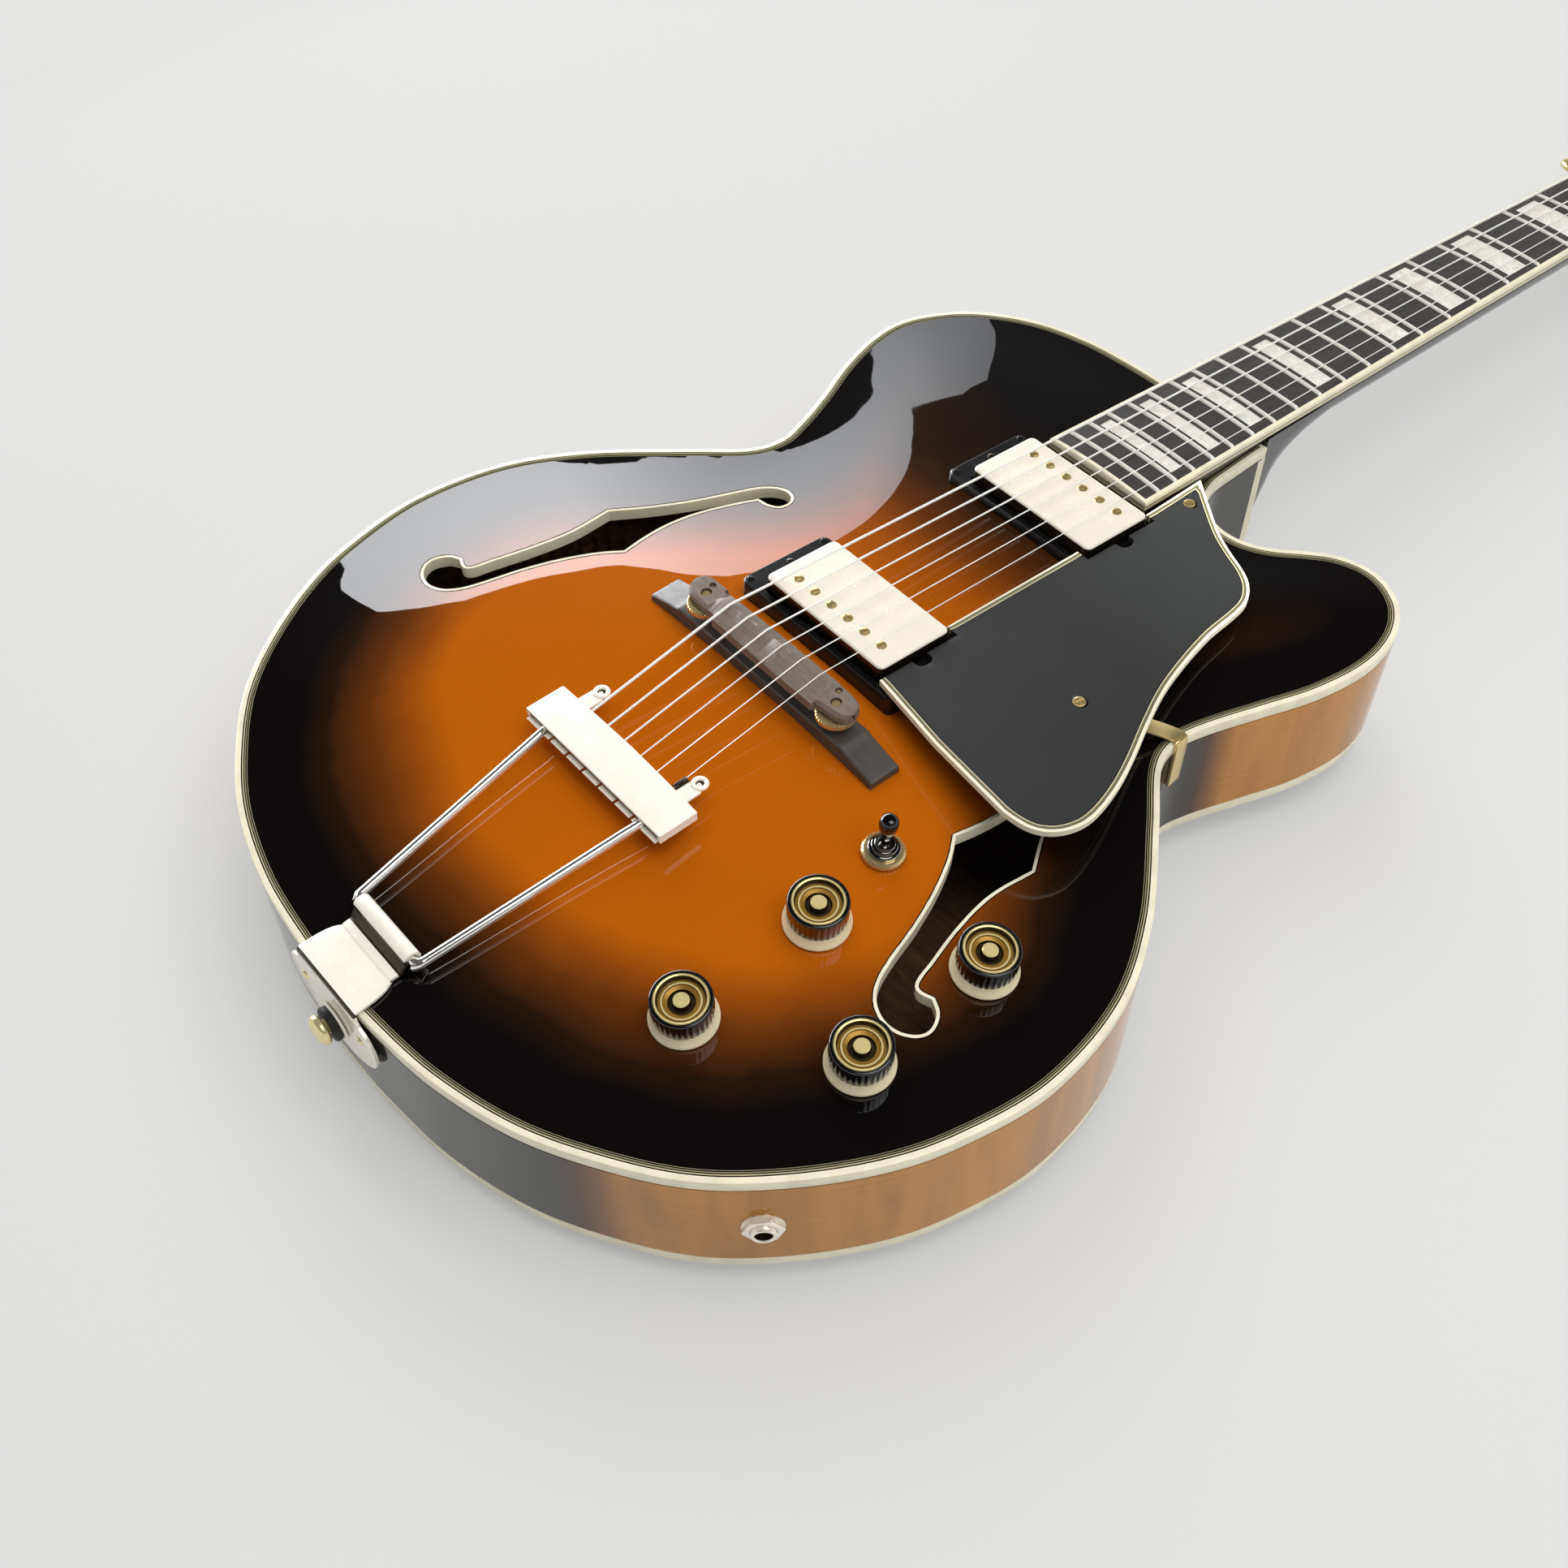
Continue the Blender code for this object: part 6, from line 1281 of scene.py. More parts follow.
class ARCHTOP_OT_fingerboard(bpy.types.Operator):
    """Bound fingerboard with its frets, pearl blocks, side dots and nut"""
    bl_idname = "archtop.fingerboard"
    bl_label = "Fingerboard"

    def execute(self, context):
        sizes = context.scene.archtop_sizes
        self.board()
        self.binding()
        self.frets(sizes.fret_width, sizes.fret_height)
        self.blocks()
        return {"FINISHED"}

    def board(self):
        """Radiused wood between the strips of binding."""
        rings = []
        for distance in np.linspace(GAP, BOARD_END - BOARD_BINDING - 0.00002, 24):
            half = board_half_width(distance) - BOARD_BINDING - 0.00002
            across = np.linspace(half, -half, 17)
            rings.append([(-half, -distance, -BOARD_THICKNESS), (half, -distance, -BOARD_THICKNESS)]
                                  + [(x, -distance, crown(x)) for x in across])
        dressed(lofted(rings), "rosewood_board", "body", "board",
                ["fretboard"], move=NECK)

    def binding(self):
        """Cream strip along both sides and round the end, over a dark line and a second cream line."""
        ends = [(BOARD_END, share) for share in np.linspace(-1.0, 1.0, 17)]
        path = [(GAP, -1.0)] + ends + [(GAP, 1.0)]
        rings = []
        for i, (distance, share) in enumerate(path):
            half = board_half_width(distance)
            x = half * share
            inner = distance - (BOARD_BINDING if 0 < i < len(path) - 1 else 0.0)
            inner_half = board_half_width(inner) - BOARD_BINDING
            inner_x = math.copysign(inner_half, share) if abs(share) == 1.0 else x
            rings.append([(x, -distance, crown(x) - 0.0003), (x * 0.993, -distance + 0.0002, crown(x)),
                          (inner_x, -inner, crown(inner_x)), (inner_x, -inner, -BOARD_THICKNESS),
                          (x, -distance, -BOARD_THICKNESS), (x, -distance, -0.0046), (x, -distance, -0.0038)])
        item = lofted(rings)
        written(item, "across", [-v.co.z for v in item.data.vertices])
        dressed(item, "fingerboard_strip", "body", "board_plies", ["fretboard_binding"], move=NECK)
        dots = []
        for count in MARKED_FRETS:
            distance = (fret_place(count) + fret_place(count - 1)) / 2.0
            dot = turned(((0, 0.06), (1, 0.03), (1, -0.8), (0, -0.8)), 16)
            dots.append(placed(dot, Matrix.Translation((-board_half_width(distance), -distance, -0.0029))
                               @ Matrix.Rotation(math.radians(-90.0), 4, "Y")))
        dressed(joined(*dots), "side_dots", "body", "black_plastic", move=NECK)

    def frets(self, width, height):
        """Crowned wires across the board."""
        profile = [(math.cos(a) * width / 2.0,
                    math.sin(a) * height) for a in np.radians(np.linspace(0, 180, 9))]
        wires = []
        for count in range(1, FRET_COUNT + 1):
            distance = fret_place(count)
            half = board_half_width(distance) - BOARD_BINDING
            rings = []
            for share, lift in ((-1.0, 0.15), (-0.985, 0.8), (-0.97, 1.0)) + tuple(
                    (s, 1.0) for s in np.linspace(-0.9, 0.9, 13)) + ((0.97, 1.0), (0.985, 0.8), (1.0, 0.15)):
                x = half * share
                ring = [(x, -distance + y, crown(x) + z * lift) for y, z in profile]
                ring += [(x, -distance - width / 2, crown(x) - 0.0006),
                         (x, -distance + width / 2, crown(x) - 0.0006)]
                rings.append(ring)
            wires.append(lofted(rings))
        dressed(joined(*wires), "fret_wires", "body", "nickel_silver", angle=50.0, move=NECK)

    def blocks(self):
        """Pearl blocks let into the board."""
        plates = []
        for count in (1, *MARKED_FRETS):
            low, high = fret_place(count - 1), fret_place(count)
            middle, reach = (low + high) / 2.0, (high - low) * 0.275
            rings = []
            for share in np.linspace(-1.0, 1.0, 11):
                x = board_half_width(middle) * 0.755 * share
                rings.append([(x, -middle + reach, crown(x) + 0.00004),
                              (x, -middle + reach, crown(x) - 0.001), (x, -middle - reach, crown(x) - 0.001),
                              (x, -middle - reach, crown(x) + 0.00004)])
            plates.append(lofted(rings))
        dressed(joined(*plates), "pearl_blocks", "body", "pearl", move=NECK)


class ARCHTOP_OT_strings(bpy.types.Operator):
    """Six strings over the saddle and the nut, wound on their posts"""
    bl_idname = "archtop.strings"
    bl_label = "Strings"

    def execute(self, context):
        for index, diameter in enumerate(STRING_GAUGES):
            radius = diameter / 2.0
            share = index / 5.0 - 0.5
            tail = BODY @ Vector((BAR_SPREAD * share, -0.3491, 0.0226))
            x = SADDLE_SPREAD * share
            saddle_place = SCALE_LENGTH + STRING_SETBACKS[index] - 0.0018
            saddle = NECK @ Vector((x, -saddle_place, CREST_RISE + crown(x) * 0.6))
            x = NUT_SPREAD * share
            height = crown(x) + 0.0016 + radius
            path = [NECK @ Vector((x, 0.0, height)), NECK @ Vector((x, NUT_LENGTH, height))]
            place = post_place(index)
            side = math.copysign(1.0, place.x)
            winding = 0.0034 + radius
            for step in range(25):
                angle = math.pi + step * math.pi / 16.0
                path.append(HEAD @ Vector((place.x + side * winding * math.cos(angle),
                                           place.y - winding * math.sin(angle), 0.00992 - step * 0.0001)))
            name = "string_%d" % (6 - index)
            wound = index < 4
            look = "wound_string" if wound else "plain_string"
            front = self.strand([saddle] + path, radius)
            dressed(front, name + "_speaking", None, look, [name])
            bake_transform(front)
            back = self.strand([tail, saddle], radius)
            dressed(back, name + "_tail", None, look, [name])
            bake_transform(back)
        return {"FINISHED"}

    def strand(self, points, radius):
        """Wire with a number along it, and enough points to follow the saddle."""
        first = np.linspace(points[0], points[1], 25)
        path = list(map(Vector, first)) + points[2:]
        item = wire(path, radius, 12)
        start = Vector(points[0])
        written(item, "along", [(v.co - start).length for v in item.data.vertices])
        return item


class ARCHTOP_OT_pickups(bpy.types.Operator):
    """Plated covers with their pole screws, in black rings"""
    bl_idname = "archtop.pickups"
    bl_label = "Pickups"

    def execute(self, context):
        for name, distance, side in (("neck", NECK_PICKUP, 1.0), ("bridge", BRIDGE_PICKUP, -1.0)):
            cover = outlined(frame_rect(0.035, 0.019, 0.0028), -0.018, 0.0)
            rounded(cover, 0.0011, 4, 60.0)
            poles = repeated(screw(0.0024, 0.0007, 0.0008), [
                at(-0.025 + 0.01 * i, side * 0.0095, 0.0, 35.0 + 47.0 * i) for i in range(6)])
            move = NECK @ at(0.0, -distance, -0.0012)
            body = name + "_pickup"
            # The covers' sides below their tops get the dark gold: painted shade.
            painted(cover, "satin_cover", ("cover_side", lambda c, n: c.z < -0.0013))
            dressed(cover, name + "_pickup_cover", body, "satin_cover", [body], move=move)
            dressed(poles, name + "_pole_screws", body, "gold", move=move)
            self.ring(name, distance)
        return {"FINISHED"}

    def ring(self, name, distance):
        """Moulded ring that follows the arch, with its four corner screws and two height screws."""
        outer, inner = frame_rect(0.0455, 0.0231, 0.003), frame_rect(0.0358, 0.0198, 0.0028)
        to_body = TO_NECK @ at(0.0, -distance, 0.0)
        from_body = to_body.inverted()
        rings = []
        for a, b in zip(outer, inner):
            points = [Vector((*a, -0.0084)), Vector((*(a * 0.985), -0.0078)), Vector((*(b * 1.012), -0.0078)),
                      Vector((*b, -0.0082))]
            for x, y in (b, a):
                spot = to_body @ Vector((x, y, -0.016))
                points.append(from_body @ (top_point(spot.x, spot.y) + Vector((0.0, 0.0, GAP))))
            rings.append(points)
        item = lofted(rings, True)
        move = NECK @ at(0.0, -distance, 0.0)
        dressed(item, name + "_moulded_ring", "body", "black_plastic",
                [name + "_pickup_ring"], move=move)
        screws = repeated(screw(0.0016, 0.0006, 0.0005), [
            at(x, y, -0.0078, 20.0 + 900.0 * x) for x in (-0.0428, 0.0428) for y in (-0.0203, 0.0203)])
        dressed(screws, name + "_ring_screws", "body", "black_plastic", move=move)
        screws = repeated(screw(0.0019, 0.0009, 0.0006),
                          [at(x, 0.0, -0.0078, 60.0) for x in (-0.0408, 0.0408)])
        dressed(screws, name + "_height_screws", "body", "dark_steel", move=move)


class ARCHTOP_OT_bridge(bpy.types.Operator):
    """Floating bridge: base on the arch, knurled wheels on their studs and the compensated saddle"""
    bl_idname = "archtop.bridge"
    bl_label = "Bridge"

    plan = ((-48.7, 277.6, 279.0), (-48.3, 275.3, 281.6), (-47.2, 273.4, 283.3), (-45.2, 272.5, 284.6),
            (-42.0, 272.3, 285.2), (-38.0, 272.2, 285.6), (-35.3, 272.2, 285.8), (-34.6, 273.7, 285.8),
            (-31.0, 273.5, 286.0), (-27.5, 273.3, 286.2), (-26.8, 273.2, 288.2), (-20.8, 273.1, 288.3),
            (-10.4, 272.8, 288.4), (0.0, 272.6, 288.4), (10.4, 272.5, 288.4), (20.8, 272.5, 288.4),
            (33.2, 272.4, 288.2), (33.9, 272.4, 286.0), (38.0, 272.4, 285.4), (42.0, 272.8, 285.0),
            (45.2, 273.8, 284.4), (47.2, 275.3, 283.2), (48.3, 277.2, 281.6), (48.7, 279.0, 280.4))

    def execute(self, context):
        self.base()
        studs = []
        for x in (-STUD_X, STUD_X):
            stud = turned(((0, 31.8), (1.6, 31.8), (1.9, 31.5), (1.9, 20.4), (0, 20.4)), 24)
            studs.append(placed(stud, at(x, BRIDGE_Y, 0.0)))
        dressed(joined(*studs), "bridge_studs", "body", "gold", move=BODY)
        wheel = self.wheel()
        for name, x in (("bass", -STUD_X), ("treble", STUD_X)):
            piece = copied(wheel, at(x, BRIDGE_Y, WHEEL_LOW))
            dressed(piece, "knurled_wheel_" + name, "thumbwheel_" + name, "gold",
                    ["thumbwheel_" + name], move=BODY)
        bpy.data.objects.remove(wheel)
        self.saddle()
        return {"FINISHED"}

    def base(self):
        """Wooden foot fitted to the arch, flat in the middle and scooped down to thin ends."""
        rings = []
        edge = top_point(0.068, BRIDGE_Y).z + 0.0022
        rows = np.array(((0.0, 1.0), (0.7, 1.0), (0.735, 0.985), (0.75, 0.9), (0.78, 0.78), (0.86, 0.58),
                         (0.95, 0.33), (0.99, 0.22), (1.0, 0.16)))
        shares = np.concatenate((np.linspace(0.0, 0.7, 9), np.linspace(0.715, 1.0, 22)))
        for share in np.concatenate((-shares[:0:-1], shares)):
            x = 0.068 * share
            line = [(x, BRIDGE_Y + y) for y in np.linspace(-0.0075, 0.0075, 5)]
            low = arch_at(line, TOP_ARCH) + GAP
            high = edge + (0.0205 - edge) * np.interp(abs(share), rows[:, 0], rows[:, 1])
            y0, y1 = BRIDGE_Y - 0.0075, BRIDGE_Y + 0.0075
            ring = [(x, y, z) for (_, y), z in zip(line, low)]
            ring += [(x, y1 - 0.0002, high - 0.0006), (x, y1 - 0.0008, high), (x, y0 + 0.0008, high),
                     (x, y0 + 0.0002, high - 0.0006)]
            rings.append(ring)
        dressed(lofted(rings), "bridge_foot", "body", "foot_wood",
                ["bridge_base"], angle=25.0, move=BODY)

    def wheel(self):
        """Thin wheel with a knurled edge."""
        count = 72
        rings = []
        for i in range(count):
            angle = 2.0 * math.pi * i / count
            rim = 0.0084 if i % 2 else 0.0081
            ring = [(0.0022, 0.0), (rim - 0.0005, 0.0), (rim, 0.0005), (rim, 0.0023), (rim - 0.0005, 0.0028),
                    (0.0066, 0.0028), (0.0062, 0.0026), (0.0022, 0.0026)]
            rings.append(around(ring, angle))
        return lofted(rings, True)

    def saddle(self):
        """Carved top piece: rounded ears over the wheels and a stepped crest under the strings."""
        plan = np.array(self.plan) / 1000.0
        peak = (TO_NECK @ Vector((0.0, -SCALE_LENGTH, CREST_RISE))).z
        stations = sorted(set(plan[:, 0]) | {-0.0335, -0.0325, -0.0315, -0.0305, 0.0305, 0.0315, 0.0325}
                          | {x + d for x in (-0.0208, -0.0104, 0.0, 0.0104, 0.0208) for d in (-0.0002,
                                                                                              0.0002)})
        rings = []
        for x in stations:
            front = -np.interp(x, plan[:, 0], plan[:, 1])
            rear = -np.interp(x, plan[:, 0], plan[:, 2])
            rise = float(np.clip((0.0335 - abs(x)) / 0.003, 0.0, 1.0))
            index = int(np.clip(round((x + 0.026) / 0.0104), 0, 5))
            crest = BRIDGE_Y + STRING_SETBACKS[0] - STRING_SETBACKS[index] + 0.0008
            ear = SADDLE_LOW + 0.0048
            drop = float(crown(min(abs(x), 0.026))) * 0.6
            top = ear + (peak - STRING_GAUGES[index] / 2.0 - 0.0001 + drop - ear) * rise
            soft = min(1.0, (0.0489 - abs(x)) / 0.002)
            if rise > 0.02:
                upper = [(front, ear - 0.0012), (crest + 0.0009, top), (crest - 0.0009, top),
                         (rear + 0.0004, ear - 0.001)]
            else:
                inset = 0.0012
                upper = [(front, ear - 0.0016), (front - inset, ear - 0.0003 * (1 - soft)),
                         (rear + inset, ear - 0.0003 * (1 - soft)), (rear, ear - 0.0016)]
            ring = [(x, rear, 0.0281), (x, front, 0.0281)] + [(x, y, z) for y, z in upper]
            rings.append(ring)
        item = lofted(rings)
        for x in (-STUD_X, STUD_X):
            cut(item, placed(rod(2.3, -10, 20), at(x, BRIDGE_Y, SADDLE_LOW)))
        holes = ((-0.0408, -0.276), (0.0357, -0.2757))
        for x, y in holes:
            cut(item, placed(rod(1.5, 0, 10, 20), at(x, y, 0.0312)))
        dressed(item, "carved_saddle", "saddle", "bridge_wood", ["bridge_saddle"], angle=28.0,
                move=BODY)
        pin = turned(((0, 1), (0.7, 0.9), (1, 0.3), (1, -0.2), (0, -0.2)), 16)
        dressed(placed(pin, at(*holes[1], 0.0312)), "saddle_pin", "saddle", "gold", move=BODY)


class ARCHTOP_OT_tailpiece(bpy.types.Operator):
    """Trapeze tailpiece: folded bar with eyed ears, two rods, rolled bracket and end pin"""
    bl_idname = "archtop.tailpiece"
    bl_label = "Tailpiece"

    def execute(self, context):
        self.bar()
        self.ears()
        self.rods()
        self.bracket()
        self.pin()
        return {"FINISHED"}

    def bar(self):
        """Folded sheet: flat top with a bowed front, turned-down ends and a slotted lower lip."""
        front = ((0.042, -0.3506), (0.032, -0.3502), (0.02, -0.3498), (0.0, -0.3494), (-0.02, -0.3498),
                 (-0.032, -0.3502), (-0.042, -0.3506))
        top = rounded(outlined(((-0.042, -0.3684), (0.042, -0.3684), *front), 0.0236, 0.0248), 0.0003, 3,
                      60.0)
        walls = [outlined(rectangle(x, x + 0.0014, -0.3682, -0.3508), 0.0205, 0.024) for x in (-0.0419,
                                                                                               0.0405)]
        back = outlined(rectangle(-0.0405, 0.0405, -0.3676, -0.3662), 0.0205, 0.024)
        # Rear wall under the bar in dark gold: painted shade in the gap below the bar.
        dressed(back, "bar_rear_wall", "body", "fold", move=BODY)
        dressed(joined(top, *walls), "folded_bar", "body", "bright_gold", ["tailpiece_bar"],
                move=BODY)
        lips = []
        edges = [-0.0412] + [-0.0255 + 0.0102 * i for i in range(6)] + [0.0412]
        for a, b in zip(edges, edges[1:]):
            lips.append(outlined(rectangle(a + 0.0007, b - 0.0007, -0.3697, -0.3672), 0.0205, 0.021))
        dressed(joined(*lips), "slotted_lip", "body", "bright_gold", move=BODY)

    def ears(self):
        """Tongues under the bar that end in eyes, each with its ball over a disc of painted shade, one with a
        short spring.
        """
        parts, shades = [], []
        for x in (-0.0307, 0.0307):
            tongue = outlined(((x - 0.0036, -0.352), (x + 0.0036, -0.352), (x + 0.0034, -0.3425),
                               (x - 0.0034, -0.3425)), 0.0216, 0.023)
            rounded(tongue, 0.0004, 3, 60.0)
            eye = added(bpy.ops.mesh.primitive_torus_add, location=(x, -0.3405, 0.023), major_radius=0.0026,
                        minor_radius=0.001, major_segments=32, minor_segments=12)
            ball = added(bpy.ops.mesh.primitive_uv_sphere_add, radius=0.0011, segments=20, ring_count=12,
                         location=(x + 0.0003, -0.3411, 0.0226))
            parts += [tongue, placed(eye, Matrix.Identity(4)), placed(ball, Matrix.Identity(4))]
            # Dark discs under the eyes: painted shade.
            shades.append(placed(rod(2.6, 21.9, 22.4), at(x, -0.3405, 0.0)))
        dressed(joined(*parts), "eyed_ears", "body", "bright_gold", move=BODY)
        dressed(joined(*shades), "ear_shade_discs", "body", "fold", move=BODY)
        whole = 50.3
        coil = [(0.0258 + 0.0014 * math.cos(a), -0.3488 + 0.0064 * a / whole, 0.0226 + 0.0012 * math.sin(a))
                for a in np.linspace(0.0, whole, 161)]
        dressed(wire(coil, 0.00028, 8), "ear_spring", "body", "dark_steel", move=BODY)

    def rods(self):
        """Polished wire from the hinge to the bar, its ends turned in."""
        hinge_y, hinge_z = HINGE_Y, top_point(0.0, HINGE_Y).z + HINGE_RISE
        half = [(-0.0303, -0.3674, 0.0213), (-0.0302, -0.37, 0.0212), (-0.0296, -0.374, 0.0208),
                (-0.0208, hinge_y + 0.0062, hinge_z + 0.0006), (-0.0205, hinge_y + 0.0032, hinge_z + 0.0002),
                (-0.0198, hinge_y + 0.001, hinge_z), (-0.0184, hinge_y, hinge_z)]
        path = spline(half, 5)
        path = np.vstack((path, path[::-1] * (-1.0, 1.0, 1.0)))
        dressed(wire(path, 0.0019, 20), "trapeze_rods", "body", "chrome", ["tailpiece_rods"],
                angle=60.0, move=BODY)

    def bracket(self):
        """Rolled sheet: curl round the rods, groove, flared flap and the rounded plate on the rim."""
        hinge_y, hinge_z = HINGE_Y, top_point(0.0, HINGE_Y).z + HINGE_RISE
        thick = 0.0014
        radius = 0.0022 + thick / 2.0
        out = -BODY_LENGTH - GAP
        face = out - thick / 2.0 - GAP
        floor = top_point(0.0, hinge_y - 0.006).z + 0.0017
        line = [(hinge_y + radius * math.cos(a), hinge_z + radius * math.sin(a), 0.017)
                for a in np.radians(np.linspace(-60.0, 205.0, 23))]
        line += [(hinge_y - 0.0046, floor + 0.0016, 0.0168), (hinge_y - 0.0052, floor + 0.0003, 0.0166),
                 (hinge_y - 0.0064, floor, 0.0164), (hinge_y - 0.0086, floor - 0.0001, 0.0163),
                 (hinge_y - 0.0094, floor - 0.0003, 0.0163), (hinge_y - 0.0098, floor - 0.0007, 0.0165)]
        flap = ((0.02, 0.0168), (0.08, 0.0174), (0.18, 0.0181), (0.32, 0.0187), (0.5, 0.0191), (0.7, 0.0193),
                (0.9, 0.0193), (1.0, 0.0193))
        y0, y1 = hinge_y - 0.01, out - 0.0004
        for share, half in flap:
            line.append((y0 + (y1 - y0) * share, floor - 0.0009 + (0.0014 - floor + 0.0009) * share, half))
        line += [(face + 0.0002, 0.0008, 0.0193), (face, -0.0002, 0.0194), (face, -0.003, 0.0197)]
        plate = ((0.0042, 0.0203), (0.0052, 0.0216), (0.006, 0.0238), (0.0074, 0.0258), (0.0095, 0.0272),
                 (0.0125, 0.0282), (0.016, 0.0285), (0.0195, 0.0283), (0.023, 0.0273), (0.0265, 0.0252),
                 (0.03, 0.022), (0.0335, 0.0175), (0.0362, 0.0125), (0.038, 0.0085), (0.039, 0.0045))
        line += [(face, -depth, half) for depth, half in plate]
        rings = []
        for i, (y, z, half) in enumerate(line):
            y_a, z_a, _ = line[max(0, i - 1)]
            y_b, z_b, _ = line[min(len(line) - 1, i + 1)]
            way = Vector((0.0, y_b - y_a, z_b - z_a)).normalized()
            across = way.cross(Vector((1.0, 0.0, 0.0))) * (thick / 2.0)
            ring = [(half * share, y - across.y, z - across.z) for share in (-1.0, -0.5, 0.0, 0.5, 1.0)]
            ring += [(half * share, y + across.y, z + across.z) for share in (1.0, 0.5, 0.0, -0.5, -1.0)]
            rings.append(ring)
        item = rounded(lofted(rings), 0.0003, 2, 50.0)
        step = hinge_y - 0.0096
        # Groove, crease at the step and bend line at the rim in dark gold: painted shade.
        painted(item, "bright_gold",
                ("fold", lambda c, n: hinge_y - 0.0064 < c.y < hinge_y - 0.0026 and c.z < hinge_z + 0.0012),
                ("fold", lambda c, n: abs(c.y - step) < 0.00028),
                ("fold", lambda c, n: c.y < y1 + 0.0003 and -0.0004 < c.z),
                ("side_sheet", lambda c, n: c.z < -0.004))
        dressed(item, "rolled_bracket", "body", "bright_gold", ["tailpiece_bracket"],
                angle=25.0, move=BODY)
        turn = Matrix.Rotation(math.radians(90.0), 4, "X")
        screws = repeated(screw(0.0021, 0.0007, 0.0006), [
            at(x, face - thick / 2.0, -0.015) @ turn @ at(0.0, 0.0, 0.0, angle)
            for x, angle in ((-0.019, 25.0), (0.019, 70.0))])
        dressed(screws, "bracket_screws", "body", "button_gold", move=BODY)

    def pin(self):
        """End pin on a dished washer and a rubber washer."""
        frame_here = at(0.0, -0.4905, -0.0235) @ Matrix.Rotation(math.radians(90.0), 4, "X")
        dish = turned(((0, 0), (8, 0), (8.2, 0.3), (7.7, 0.9), (6.6, 1), (6.2, 0.6), (0, 0.6)), 40)
        dressed(dish, "dished_washer", "body", "bright_gold", move=BODY @ frame_here)
        rubber = turned(((0, 0.8), (6.6, 0.8), (7.2, 1.4), (7.2, 3.2), (6.6, 3.8), (0, 3.8)), 40)
        dressed(rubber, "rubber_washer", "body", "rubber", move=BODY @ frame_here)
        pin = turned(((0, 3.6), (3.4, 3.6), (2.6, 4.2), (3.6, 4.6), (5.4, 5), (6.4, 5.8), (6.6, 6.8),
                      (6.2, 7.8), (5, 8.7), (3, 9.3), (0, 9.5)), 40)
        dressed(pin, "strap_pin", "body", "button_gold", ["end_pin"], move=BODY @ frame_here)


